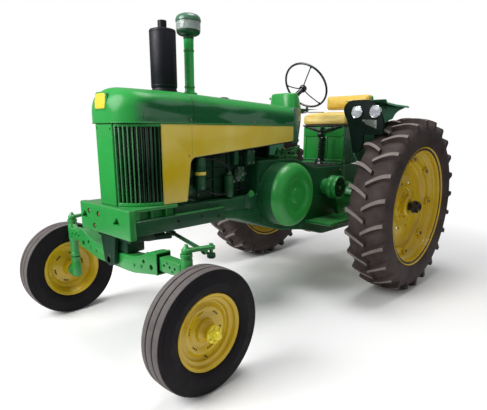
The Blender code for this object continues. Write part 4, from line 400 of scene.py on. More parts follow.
def make_paint_group():
    """Sprayed paint: slow drift of colour, settled dust on upward faces, and orange peel."""
    maker, given, out = node_group("sprayed_paint", [
        ("Vector", "NodeSocketVector", None), ("Colour", "NodeSocketColor", None),
        ("Second colour", "NodeSocketColor", None), ("Dust colour", "NodeSocketColor", None),
        ("Dust", "NodeSocketFloat", 0.1), ("Gloss low", "NodeSocketFloat", 0.2),
        ("Gloss high", "NodeSocketFloat", 0.4), ("Peel scale", "NodeSocketFloat", 300.0),
    ], [("Colour", "NodeSocketColor"), ("Roughness", "NodeSocketFloat"), ("Height", "NodeSocketFloat")])
    drift = maker.ramp(maker.noise(given["Vector"], 3.0, 4.0), 0.35, 0.7)
    base = maker.mix(drift, given["Colour"], given["Second colour"])
    normal = maker.add("ShaderNodeNewGeometry").outputs["Normal"]
    upward = maker.add("ShaderNodeSeparateXYZ", normal).outputs["Z"]
    lying = maker.ramp(upward, 0.3, 1.0)
    cloud = maker.ramp(maker.noise(given["Vector"], 9.0, 6.0, 0.65), 0.42, 0.75)
    settled = maker.math("MULTIPLY", maker.math("MULTIPLY", lying, cloud), given["Dust"])
    specks = maker.ramp(maker.noise(given["Vector"], 160.0, 2.0), 0.62, 0.78)
    dust = maker.math("ADD", settled, maker.math("MULTIPLY", maker.math("MULTIPLY", specks, 0.3),
        given["Dust"]))
    maker.feed(maker.mix(dust, base, given["Dust colour"]), out["Colour"])
    streaks = maker.ramp(maker.noise(given["Vector"], 22.0, 5.0), 0.3, 0.75)
    spread = maker.add("ShaderNodeMapRange", streaks, 0.0, 1.0, given["Gloss low"], given["Gloss high"])
    maker.feed(maker.math("ADD", spread.outputs["Result"], maker.math("MULTIPLY", dust, 0.5)), out["Roughness"])
    maker.feed(maker.noise(given["Vector"], given["Peel scale"], 1.0), out["Height"])
    return maker.tree


def make_cast_group():
    """Sand-cast metal under paint: pitted grain and broad waviness, as a height."""
    maker, given, out = node_group("sand_casting", [
        ("Vector", "NodeSocketVector", None), ("Grain scale", "NodeSocketFloat", 220.0),
    ], [("Height", "NodeSocketFloat")])
    grain = maker.noise(given["Vector"], given["Grain scale"], 6.0, 0.7)
    wave = maker.noise(given["Vector"], 24.0, 2.0)
    maker.feed(maker.math("ADD", grain, maker.math("MULTIPLY", wave, 1.5)), out["Height"])
    return maker.tree


def make_rubber_group():
    """Tyre rubber: brownish bloom, dust caught in patches, and fine mould grain."""
    maker, given, out = node_group("tyre_rubber", [
        ("Vector", "NodeSocketVector", None), ("Colour", "NodeSocketColor", None),
        ("Bloom", "NodeSocketColor", None), ("Dust colour", "NodeSocketColor", None),
        ("Dust", "NodeSocketFloat", 0.3),
    ], [("Colour", "NodeSocketColor"), ("Roughness", "NodeSocketFloat"), ("Height", "NodeSocketFloat")])
    bloom = maker.ramp(maker.noise(given["Vector"], 5.0, 5.0, 0.6), 0.38, 0.72)
    base = maker.mix(bloom, given["Colour"], given["Bloom"])
    patch = maker.ramp(maker.noise(given["Vector"], 14.0, 7.0, 0.7), 0.4, 0.72)
    dust = maker.math("MULTIPLY", patch, given["Dust"])
    maker.feed(maker.mix(dust, base, given["Dust colour"]), out["Colour"])
    maker.feed(maker.ramp(patch, 0.0, 1.0, 0.55, 0.85), out["Roughness"])
    fine = maker.noise(given["Vector"], 260.0, 4.0, 0.6)
    maker.feed(maker.math("ADD", fine, maker.math("MULTIPLY", maker.noise(given["Vector"], 60.0, 3.0), 0.8)),
        out["Height"])
    return maker.tree


FINISHES = {}
PAINT_GROUP = make_paint_group()
CAST_GROUP = make_cast_group()
RUBBER_GROUP = make_rubber_group()


def material(name, **constants):
    """A new Principled material, filed as a finish, with the constants that stay the same all over it."""
    made = FINISHES[name] = bpy.data.materials.new(name)
    made.use_nodes = True
    maker = Nodes(made.node_tree)
    shader = made.node_tree.nodes["Principled BSDF"]
    for label, value in constants.items():
        maker.feed(value, shader.inputs[label.replace("_", " ")])
    vector = maker.add("ShaderNodeTexCoord").outputs["Object"]
    return made, maker, shader, vector


def bump(maker, shader, height, strength, distance):
    """Wires a height into the shader's normal."""
    made = maker.add("ShaderNodeBump")
    for label, value in (("Strength", strength), ("Distance", distance), ("Height", height)):
        maker.feed(value, made.inputs[label])
    maker.feed(made.outputs["Normal"], shader.inputs["Normal"])


def painted(name, colour, second, dust=0.12, gloss=(0.18, 0.34), casting=0.0, coat=0.4,
        dust_colour=(0.33, 0.29, 0.22), peel=0.05, shine=0.5, sides=None):
    """Sprayed paint, smooth on sheet metal or over a sand casting; sides holds two greens of painted reflection
    on upright sides.
    """
    made, maker, shader, vector = material(name, Coat_Weight=coat, Coat_Roughness=0.12, IOR=1.48,
        Specular_IOR_Level=shine)
    group = maker.add("ShaderNodeGroup")
    group.node_tree = PAINT_GROUP
    for label, value in (("Vector", vector), ("Colour", colour), ("Second colour", second),
            ("Dust colour", dust_colour), ("Dust", dust), ("Gloss low", gloss[0]), ("Gloss high", gloss[1])):
        maker.feed(value, group.inputs[label])
    base = group.outputs["Colour"]
    # Painted reflection: upright faces take streaky bands of the two sides greens, standing in for the
    # surroundings mirrored in the paint.
    if sides:
        normal = maker.add("ShaderNodeNewGeometry").outputs["Normal"]
        across = maker.math("ABSOLUTE", maker.add("ShaderNodeSeparateXYZ", normal).outputs["X"])
        stretched = maker.add("ShaderNodeVectorMath", vector, (1.0, 1.3, 8.0), operation="MULTIPLY").outputs[0]
        reflection_bands = maker.ramp(maker.noise(stretched, 1.7, 1.0), 0.46, 0.54)
        base = maker.mix(maker.ramp(across, 0.8, 0.97), base, maker.mix(reflection_bands, *sides))
    maker.feed(base, shader.inputs["Base Color"])
    maker.feed(group.outputs["Roughness"], shader.inputs["Roughness"])
    height = group.outputs["Height"]
    if casting:
        cast = maker.add("ShaderNodeGroup")
        cast.node_tree = CAST_GROUP
        maker.feed(vector, cast.inputs["Vector"])
        height = cast.outputs["Height"]
    bump(maker, shader, height, casting if casting else peel, 0.002 if casting else 0.0008)
    return made


def rubber(name, colour, bloom, dust_colour, dust, grain=0.25):
    """Tyre or hose rubber."""
    made, maker, shader, vector = material(name, IOR=1.45, Specular_IOR_Level=0.16)
    group = maker.add("ShaderNodeGroup")
    group.node_tree = RUBBER_GROUP
    for label, value in (("Vector", vector), ("Colour", colour), ("Bloom", bloom), ("Dust colour", dust_colour),
            ("Dust", dust)):
        maker.feed(value, group.inputs[label])
    maker.feed(group.outputs["Colour"], shader.inputs["Base Color"])
    maker.feed(group.outputs["Roughness"], shader.inputs["Roughness"])
    bump(maker, shader, group.outputs["Height"], grain, 0.0012)
    return made


def metal(name, colour, second, low=0.25, high=0.5, scale=40.0):
    """Bare metal with stains that change its colour and gloss."""
    made, maker, shader, vector = material(name, Metallic=1.0)
    stain = maker.ramp(maker.noise(vector, scale, 6.0, 0.65), 0.35, 0.7)
    maker.feed(maker.mix(stain, colour, second), shader.inputs["Base Color"])
    maker.feed(maker.ramp(stain, 0.0, 1.0, low, high), shader.inputs["Roughness"])
    bump(maker, shader, maker.noise(vector, 300.0, 3.0), 0.08, 0.0008)
    return made


def vinyl(name, colour, second):
    """Seat vinyl: leather grain of small cells with soft wrinkles between them, their edges darkened as painted
    shade.
    """
    made, maker, shader, vector = material(name, IOR=1.47, Coat_Weight=0.15, Coat_Roughness=0.3,
        Sheen_Weight=0.05)
    cells = maker.add("ShaderNodeTexVoronoi", feature="DISTANCE_TO_EDGE")
    maker.feed(vector, cells.inputs["Vector"])
    maker.feed(420.0, cells.inputs["Scale"])
    grain = maker.ramp(cells.outputs["Distance"], 0.0, 0.12)
    shade = maker.ramp(maker.noise(vector, 7.0, 4.0), 0.35, 0.7)
    base = maker.mix(shade, colour, second)
    # Painted shade: the grain's creases are mixed a quarter of the way toward dark brown.
    crease_shade = maker.ramp(grain, 0.0, 1.0, 0.25, 0.0)
    maker.feed(maker.mix(crease_shade, base, (0.32, 0.2, 0.05)), shader.inputs["Base Color"])
    maker.feed(maker.ramp(maker.noise(vector, 30.0, 4.0), 0.3, 0.7, 0.38, 0.55), shader.inputs["Roughness"])
    soft = maker.math("MULTIPLY", maker.noise(vector, 16.0, 3.0), 3.0)
    bump(maker, shader, maker.math("ADD", grain, soft), 0.25, 0.0012)
    return made


def glass(name, tint, roughness=0.03, clear=1.0):
    """Clear or milky glass with faint smears in its gloss."""
    made, maker, shader, vector = material(name, Transmission_Weight=clear, IOR=1.45, Base_Color=tint,
        Metallic=0.0)
    smear = maker.ramp(maker.noise(vector, 30.0, 5.0), 0.4, 0.75, roughness, roughness + 0.12)
    maker.feed(smear, shader.inputs["Roughness"])
    return made


GREEN = (0.022, 0.285, 0.052)
CASTING = (0.018, 0.262, 0.046)
painted("green_sheet", GREEN, (0.03, 0.325, 0.062), 0.05, (0.2, 0.32), coat=0.15, shine=0.3)
# A brighter copy of the green paint: painted light on the intake stem.
painted("stem_green", (0.028, 0.43, 0.085), (0.034, 0.47, 0.1), 0.05, (0.25, 0.4), coat=0.1)
# The hood finish's sides pair is a painted reflection: pale grey-green and dark green bands on the upright
# sides of hood and nose.
painted("green_hood", GREEN, (0.03, 0.325, 0.062), 0.05, (0.26, 0.36), coat=0.03, shine=0.22,
    sides=((0.068, 0.178, 0.096), (0.004, 0.098, 0.026)))
painted("green_casting", CASTING, (0.018, 0.215, 0.045), 0.16, (0.28, 0.46), 0.16, 0.3)
# A much darker copy of the casting green: painted shade for parts in shadow, such as frame rails, tie rods, the
# grille's side bars, engine side parts, filter can and precleaner pan.
painted("dark_green_casting", (0.008, 0.075, 0.024), (0.005, 0.048, 0.017), 0.1, (0.32, 0.5), 0.16, 0.15,
    shine=0.35)
# A darker copy of the green: painted shade on the main case and the parts beside it, whose sides face away from
# the key lamp.
painted("case_green", (0.007, 0.085, 0.024), (0.004, 0.055, 0.017), 0.12, (0.34, 0.55), 0.16, 0.05, shine=0.25)
painted("bar_green", (0.065, 0.26, 0.095), (0.05, 0.205, 0.075), 0.1, (0.2, 0.35))
painted("badge_yellow", (0.72, 0.61, 0.04), (0.68, 0.56, 0.03), 0.02, (0.25, 0.35))
painted("panel_edge", (0.56, 0.47, 0.14), (0.5, 0.41, 0.11), 0.05, (0.16, 0.3))
painted("panel_seam", (0.18, 0.125, 0.02), (0.14, 0.095, 0.016), 0.0, (0.3, 0.5))
# A near-black copy of the green: painted shade for the engine and tank under the hood, the pivot ears, steering
# post and centre arm, the filter bracket and the brake faces.
painted("engine_green", (0.004, 0.036, 0.016), (0.002, 0.018, 0.009), 0.06, (0.35, 0.6), 0.22, 0.0, shine=0.25)
painted("yellow_sheet", (0.8, 0.65, 0.13), (0.7, 0.5, 0.012), 0.05, (0.14, 0.26), coat=0.5)
painted("yellow_rim", (0.64, 0.44, 0.006), (0.5, 0.32, 0.004), 0.12, (0.25, 0.45), 0.05, 0.35,
    (0.28, 0.2, 0.08))
painted("bright_yellow", (0.85, 0.72, 0.03), (0.76, 0.6, 0.02), 0.05)
painted("black_enamel", (0.006, 0.009, 0.01), (0.003, 0.004, 0.006), 0.1, (0.2, 0.4), coat=0.5)
painted("stack_black", (0.0035, 0.004, 0.009), (0.0055, 0.006, 0.012), 0.05, (0.42, 0.6), coat=0.0, peel=0.12,
    shine=0.28)
painted("wheel_black", (0.012, 0.01, 0.014), (0.02, 0.016, 0.022), 0.05, (0.25, 0.42), coat=0.3)
rubber("front_rubber", (0.007, 0.006, 0.008), (0.011, 0.009, 0.011), (0.045, 0.038, 0.04), 0.1)
rubber("front_tread", (0.09, 0.079, 0.079), (0.125, 0.112, 0.11), (0.21, 0.19, 0.18), 0.35, 0.5)
rubber("rear_rubber", (0.034, 0.025, 0.025), (0.066, 0.048, 0.047), (0.15, 0.118, 0.105), 0.24)
rubber("lug_top", (0.15, 0.125, 0.118), (0.215, 0.185, 0.172), (0.3, 0.265, 0.235), 0.4, 0.4)
rubber("hose_rubber", (0.01, 0.01, 0.011), (0.018, 0.017, 0.018), (0.09, 0.08, 0.07), 0.12)
metal("steel", (0.38, 0.37, 0.36), (0.24, 0.22, 0.2))
metal("dark_iron", (0.035, 0.034, 0.035), (0.065, 0.05, 0.042), 0.45, 0.7)
metal("brass", (0.55, 0.38, 0.14), (0.4, 0.26, 0.1))
metal("chrome", (0.86, 0.87, 0.88), (0.74, 0.75, 0.76), 0.06, 0.16)
vinyl("seat_vinyl", (0.78, 0.6, 0.18), (0.69, 0.5, 0.11))
vinyl("back_vinyl", (0.7, 0.48, 0.08), (0.6, 0.38, 0.04))
glass("bowl_glass", (0.6, 0.68, 0.64), 0.1, 0.6)
glass("lens_glass", (0.66, 0.67, 0.71), 0.2, 0.65)
painted("dial_white", (0.62, 0.6, 0.54), (0.55, 0.52, 0.46), 0.0)
# A somewhat darker copy of the green: painted shade on the flywheel cover and the seat box.
painted("green_gloss", (0.011, 0.235, 0.03), (0.014, 0.265, 0.038), 0.05, (0.28, 0.42), coat=0.1)
# A greyed, darker copy of the green: painted shade and painted reflection of the pale surroundings on the cowl
# shell, the seat box sides and the precleaner lid.
painted("green_shade", (0.05, 0.15, 0.085), (0.062, 0.175, 0.105), 0.1, (0.22, 0.36), coat=0.3)
painted("mat_rubber", (0.008, 0.014, 0.011), (0.014, 0.024, 0.018), 0.2, (0.5, 0.7))
# A paler, greyed copy of the green: painted reflection of the pale surroundings on the fender sheets.
painted("fender_green", (0.085, 0.3, 0.165), (0.1, 0.33, 0.19), 0.15, (0.55, 0.7), coat=0.0, shine=0.2)
painted("fender_black", (0.0015, 0.0065, 0.0045), (0.002, 0.01, 0.006), 0.02, (0.34, 0.5), coat=0.0, shine=0.08)
vinyl("seat_piping", (0.76, 0.54, 0.14), (0.66, 0.44, 0.08))
metal("reflector", (0.78, 0.8, 0.84), (0.6, 0.62, 0.66), 0.35, 0.5)
painted("grey_plate", (0.05, 0.064, 0.054), (0.035, 0.048, 0.04), 0.15, (0.4, 0.6))


def piece(name, shapes, finish, body="chassis", replaces=(), sharp=32):
    """Joins shapes into one object with outward faces, and hands it to its body.

    finish is one name for all shapes, or one name for each.
    """
    shapes = shapes if isinstance(shapes, list) else [shapes]
    finishes = [finish] * len(shapes) if isinstance(finish, str) else finish
    points, faces = joined(shapes)
    mesh = bpy.data.meshes.new(name)
    mesh.from_pydata(points.tolist(), [], faces)
    slots = list(dict.fromkeys(finishes))
    for label in slots:
        mesh.materials.append(FINISHES[label])
    numbers = np.concatenate([np.full(len(shape[1]), slots.index(label))
        for shape, label in zip(shapes, finishes)])
    mesh.polygons.foreach_set("material_index", numbers.astype(np.int32))
    bm = bmesh.new()
    bm.from_mesh(mesh)
    bmesh.ops.remove_doubles(bm, verts=bm.verts, dist=WELD)
    bmesh.ops.recalc_face_normals(bm, faces=bm.faces)
    bm.to_mesh(mesh)
    bm.free()
    mesh.shade_smooth()
    mesh.set_sharp_from_angle(angle=radians(sharp))
    made = bpy.data.objects.new(name, mesh)
    bpy.context.scene.collection.objects.link(made)
    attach(made, body)
    if replaces:
        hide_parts(*([replaces] if isinstance(replaces, str) else replaces))
    return made


def corners(mesh):
    """A mesh's points as rows of three numbers."""
    points = np.zeros(len(mesh.vertices) * 3)
    mesh.vertices.foreach_get("co", points)
    return points.reshape(-1, 3)


def put_corners(mesh, points):
    """Moves a mesh's points."""
    mesh.vertices.foreach_set("co", points.ravel())
    mesh.update()


def evaluated(made):
    """A piece with its modifiers worked out."""
    bpy.context.view_layer.update()
    return made.evaluated_get(bpy.context.evaluated_depsgraph_get())


def drilled(shape, tools):
    """A shape with others cut out of it: both become meshes, and the difference is read back."""
    pair = []
    for label, (points, faces) in (("drill_base", shape), ("drill_tool", joined(tools))):
        bm = bmesh.new()
        verts = [bm.verts.new(point) for point in points.tolist()]
        for face in faces:
            bm.faces.new([verts[number] for number in face])
        bmesh.ops.remove_doubles(bm, verts=bm.verts, dist=WELD)
        bmesh.ops.recalc_face_normals(bm, faces=bm.faces)
        mesh = bpy.data.meshes.new(label)
        bm.to_mesh(mesh)
        bm.free()
        made = bpy.data.objects.new(label, mesh)
        bpy.context.scene.collection.objects.link(made)
        pair.append(made)
    change = pair[0].modifiers.new("cut", "BOOLEAN")
    change.operation, change.object, change.solver = "DIFFERENCE", pair[1], "EXACT"
    result = evaluated(pair[0]).to_mesh()
    points, faces = corners(result), [list(polygon.vertices) for polygon in result.polygons]
    for made in pair:
        mesh = made.data
        bpy.data.objects.remove(made, do_unlink=True)
        bpy.data.meshes.remove(mesh)
    return points, faces


def outward(side):
    """A turn that takes a lathe's +Z to the tractor's outer side."""
    return Matrix.Rotation(side * pi / 2, 4, "Y")


def wheel_place(axle, side):
    """The shift from the origin to a wheel's middle."""
    return Matrix.Translation((side * axle.x, axle.y, axle.z))


# Front wheels

def front_tyre(word, side):
    """Ribbed steering tyre: the tread's radius dips in two grooves and is nicked along each rib."""
    tread = tenths(3385, 650, 3410, 620, 3422, 570, 3440, 310, 3436, 292, 3355, 280, 3350, 245, 3355, 210,
        3440, 198, 3448, 160, 3450, 0)
    tread = np.array(tread + [(radius, -height) for radius, height in tread[-2::-1]])
    wall = tenths(1960, 500, 2130, 515, 2140, 560, 2190, 625, 2300, 700, 2450, 750, 2640, 781, 2660, 785,
        2700, 785, 2720, 779, 2900, 770, 3080, 730, 3100, 731, 3130, 722, 3150, 706, 3220, 705, 3310, 700,
        3360, 685, 3385, 650)
    segments = 240
    points, faces = lathe(tread, segments)
    net = points.reshape(len(tread), segments, 3)
    nick = (np.arange(segments) % 2)[None, :, None] * 0.0016
    edge_rows = np.isin(np.round(np.abs(tread[:, 1]), 4), (0.062, 0.0292, 0.0198, 0.057))
    scale = 1 - nick / 0.344 * edge_rows[:, None, None]
    net[..., :2] *= scale
    walls = [lathe(wall, segments), lathe([(radius, -height) for radius, height in wall], segments)]
    inside = lathe([(0.196, 0.05), (0.196, -0.05)], segments)
    place = wheel_place(FRONT_AXLE, side) @ outward(side)
    parts = [moved(part, place) for part in [(net.reshape(-1, 3), faces)] + walls + [inside]]
    made = piece(f"tyre_front_{word}", parts, ["front_tread"] + ["front_rubber"] * 3, f"front_wheel_{word}",
        f"front_tyre_{word}")


def front_rim(word, side):
    """Pressed front wheel: lip, drop well, disc with groups of weight holes, and a stepped hub."""
    face = tenths(615, 300, 640, 120, 700, 70, 900, 80, 1000, 125, 1240, 205, 1300, 200, 1380, 130, 1500, 70,
        1590, 55, 1640, 100, 1665, 240, 1700, 270, 1860, 285, 1900, 330, 1925, 480, 1970, 530, 2040, 555,
        2075, 590, 2105, 593, 2122, 570, 2120, 523, 1960, 500, 1937, 420, 1910, 250, 1760, 190, 1720, 100,
        1720, -120, 1910, -300, 1937, -500, 2120, -523, 2122, -570, 2105, -593, 2050, -580, 1880, -500,
        1660, -150, 1640, -40, 1400, 40, 1240, 150, 1000, 60, 700, -10, 560, -60, 500, -720, 300, -720,
        300, 200)
    body = lathe(rounded(face, 0.0025, 2, closed=True), 96, closed=True)
    holes, plugs = [], []
    for group in range(6):
        for step in (-1, 0, 1):
            turn = tau * group / 6 + step * 0.13 + 0.3
            x, y = 0.1085 * cos(turn), 0.1085 * sin(turn)
            holes.append(rod(0.0058, (x, y, -0.02), (x, y, 0.05), 14, 0))
            plugs.append(rod(0.0064, (x, y, 0.0078), (x, y, 0.0112), 14, 0))
    body = drilled(body, holes)
    barrel = lathe(rounded(tenths(0, 780, 400, 780, 400, 480, 480, 380, 590, 300, 610, 260, 610, 40,
        0, 40), 0.002, 3), 64)
    flange = lathe(rounded(tenths(0, 900, 300, 900, 440, 890, 480, 860, 480, 780, 440, 750, 0, 740), 0.002, 3),
        64)
    cap = lathe(rounded(tenths(0, 1350, 60, 1345, 110, 1300, 200, 1240, 250, 1120, 260, 960, 300, 930, 310, 890,
        0, 880), 0.002, 3), 48)
    nuts = bolts(ring_places((0, 0, 0.089), 0.0385, 6, 2), (0, 0, 1), 0.007, 0.0105, 0.0012)
    valve = rod(0.0035, (0.15, 0, 0.007), (0.15, 0, 0.03), 10)
    place = wheel_place(FRONT_AXLE, side) @ outward(side)
    piece(f"rim_front_{word}", moved(body, place), "yellow_rim", f"front_wheel_{word}", f"front_rim_{word}", 40)
    piece(f"hub_front_{word}", [moved(part, place) for part in (barrel, flange, cap, nuts)],
        ["yellow_rim"] + ["bright_yellow"] * 3, f"front_wheel_{word}")
    piece(f"valve_front_{word}", [moved(part, place) for part in [valve] + plugs], "hose_rubber",
        f"front_wheel_{word}")


# Rear wheels

def rear_tyre(word, side):
    """Drive tyre: a round carcass turned about the axle, and two rows of curved lugs.

    A lug's foot and top run from the middle of the tread to its shoulder; its place round the
    tyre lags by (1 - s) to the power 1.5, s being the share of the way out.
    """
    half = tenths(4750, 1335, 5050, 1345, 5080, 1400, 5150, 1470, 5300, 1545, 5330, 1550, 5380, 1572,
        5600, 1610, 5900, 1634, 6150, 1625, 6400, 1590, 6600, 1520, 6780, 1370, 6900, 1150, 6980, 800,
        7010, 400, 7018, 0)
    profile = half + [(radius, -height) for radius, height in half[-2::-1]] + [(0.475, 0.0)]
    carcass = lathe(profile, 132, closed=True)
    stations, lugs = 15, 48
    share = np.linspace(0, 1, stations)
    across = -0.012 + 0.17 * share
    lag = -0.082 * (1 - (1 - share) ** 1.5 - 0.5)
    top = 0.7352 - 0.024 * np.clip((share - 0.35) / 0.65, 0, 1) ** 2
    foot = np.interp(across, [-0.02, 0.0, 0.08, 0.115, 0.137, 0.152, 0.16],
        [0.699, 0.699, 0.695, 0.687, 0.674, 0.655, 0.64])
    width = 0.0165 + 0.0035 * share
    # columns: place along the tread in half widths, height from foot (0) to top (1)
    section = np.array(tenths(-14500, 0, -11200, 3000, -9200, 8600, -8000, 10000, 0, 10120, 8000, 10000,
        9200, 8600, 11200, 3000, 14500, 0))
    along = lag[:, None] + width[:, None] * section[:, 0]
    height = foot[:, None] + (top - foot)[:, None] * np.minimum(section[:, 1], 1.0)
    spread = np.broadcast_to(across[:, None], along.shape)
    tops, sides = [], []
    for index in range(lugs):
        row = 1 if index % 2 else -1
        angle = tau * index / lugs - pi / 2 + along / REAR_RADIUS
        points = np.stack([row * spread, height * np.cos(angle), height * np.sin(angle)], -1)
        tops.append(grid(points[:, 3:6]))
        sides += [grid(points[:, :4]), grid(points[:, 5:])]
        sides.append(grid(points[:, [0, 8]]))
        for end in (0, -1):
            rim = points[end]
            sides.append((rim, [list(range(len(rim)))]))
    place = wheel_place(REAR_AXLE, side)
    parts = [moved(carcass, outward(side)), joined(tops), joined(sides)]
    made = piece(f"tyre_rear_{word}", [moved(part, place) for part in parts],
        ["rear_rubber", "lug_top", "rear_rubber"], f"rear_wheel_{word}", f"rear_tyre_{word}", 40)


def rear_rim(word, side):
    """Deep yellow rim with its dished disc, wedge clamps, cast hub and keyed axle end."""
    face = tenths(900, -50, 1500, -40, 1600, 40, 2000, 30, 2600, -50, 3440, -60, 3560, -10, 3640, 160,
        3720, 360, 3820, 400, 4180, 405, 4280, 450, 4330, 600, 4470, 720, 4620, 800, 4670, 900, 4700, 1180,
        4760, 1260, 4900, 1300, 4950, 1400, 4990, 1440, 5025, 1442, 5040, 1400, 5035, 1343, 4745, 1330,
        4737, 1200, 4700, 850, 4400, 400, 4400, -300, 4700, -850, 4737, -1330, 5035, -1343, 5040, -1400,
        5025, -1442, 4940, -1400, 4640, -850, 4310, -280, 4300, 290, 3820, 300, 3740, 240, 3660, 20, 3560, -140,
        900, -150)
    body = lathe(rounded(face, 0.004, 2, closed=True), 132, closed=True)
    slots = []
    for number in range(8):
        turn = tau * (number + 0.5) / 8
        slot = block((-0.03, -0.01, -0.05), (0.03, 0.01, 0.05), 0.0095, corner=0.0098)
        slots.append(moved(slot, Matrix.Rotation(turn, 4, "Z") @ Matrix.Translation((0.205, 0, 0))
            @ Matrix.Rotation(pi / 2, 4, "Z")))
    body = drilled(body, slots)
    clamps, studs = [], []
    for number in range(8):
        turn = Matrix.Rotation(tau * number / 8, 4, "Z")
        wedge = slab(tenths(3720, -300, 4300, -220, 4300, 220, 3720, 300), 0.036, 0.062, 0.004)
        clamps.append(moved(wedge, turn))
        studs.append(moved(bolt(0.013, 0.014, 0.003), turn @ Matrix.Translation((0.398, 0, 0.061))))
    hub = lathe(rounded(tenths(385, 548, 700, 548, 840, 460, 848, -10, 1300, 60, 1380, -50, 900, -130,
        848, -300, 848, -848, 385, -848), 0.004, 3, closed=True), 72, closed=True)
    ring = bolts(ring_places((0, 0, 0.001), 0.11, 8, 2, 0.2), (0, 0, 1), 0.0125, 0.012, 0.003)
    shaft_line = tenths(0, 1458, 300, 1458, 360, 1410, 360, 1120, 520, 1100, 540, 1060, 540, 900, 360, 860,
        360, 560, 300, 540, 300, -900, 370, -950, 370, -4200, 0, -4200)
    shaft = joined([lathe(rounded(shaft_line, 0.001, 2), 48),
        bolts(ring_places((0, 0, 0.109), 0.045, 6, 2, 0.3), (0, 0, 1), 0.009, 0.02, 0.0)])
    place = wheel_place(REAR_AXLE, side) @ outward(side)
    body_name = f"rear_wheel_{word}"
    piece(f"rim_rear_{word}", moved(body, place), "yellow_rim", body_name, f"rear_rim_{word}", 40)
    piece(f"clamps_rear_{word}", [moved(part, place) for part in clamps + studs], ["yellow_rim"] * 8 + ["steel"]
        * 8, body_name)
    piece(f"hub_rear_{word}", [moved(part, place) for part in (hub, ring, shaft)],
        ["yellow_rim", "yellow_rim", "wheel_black"], body_name, f"rear_hub_{word}", 40)


for word, side in SIDES:
    front_tyre(word, side)
    front_rim(word, side)
    rear_tyre(word, side)
    rear_rim(word, side)


# From here on y is measured from the rear axle, as in the CAD part

def fitted(name, shapes, finish, body="chassis", replaces=(), sharp=32, side=1):
    """A piece drawn for the left side, with y measured from the rear axle; side -1 mirrors it."""
    shapes = shapes if isinstance(shapes, list) else [shapes]
    shapes = [flipped(shape) for shape in shapes] if side < 0 else shapes
    return piece(name, [shifted(shape, (0, REAR_AXLE.y, 0)) for shape in shapes], finish, body, replaces, sharp)


def both(shapes):
    """Shapes, and their mirror images across the middle of the tractor."""
    return shapes + [flipped(shape) for shape in shapes]


def turned(profile, place, direction=UP, segments=64, closed=False):
    """A profile turned about a line through place; its heights run along direction."""
    return moved(lathe(profile, segments, closed), aimed(direction, place))


def pipe(points, radius, count=40, sides=16):
    """A bent tube through a few points."""
    turn = np.linspace(0, tau, sides, endpoint=False)
    ring = np.stack([np.cos(turn), np.sin(turn)], -1) * radius
    return sweep(spline(points, count), ring)


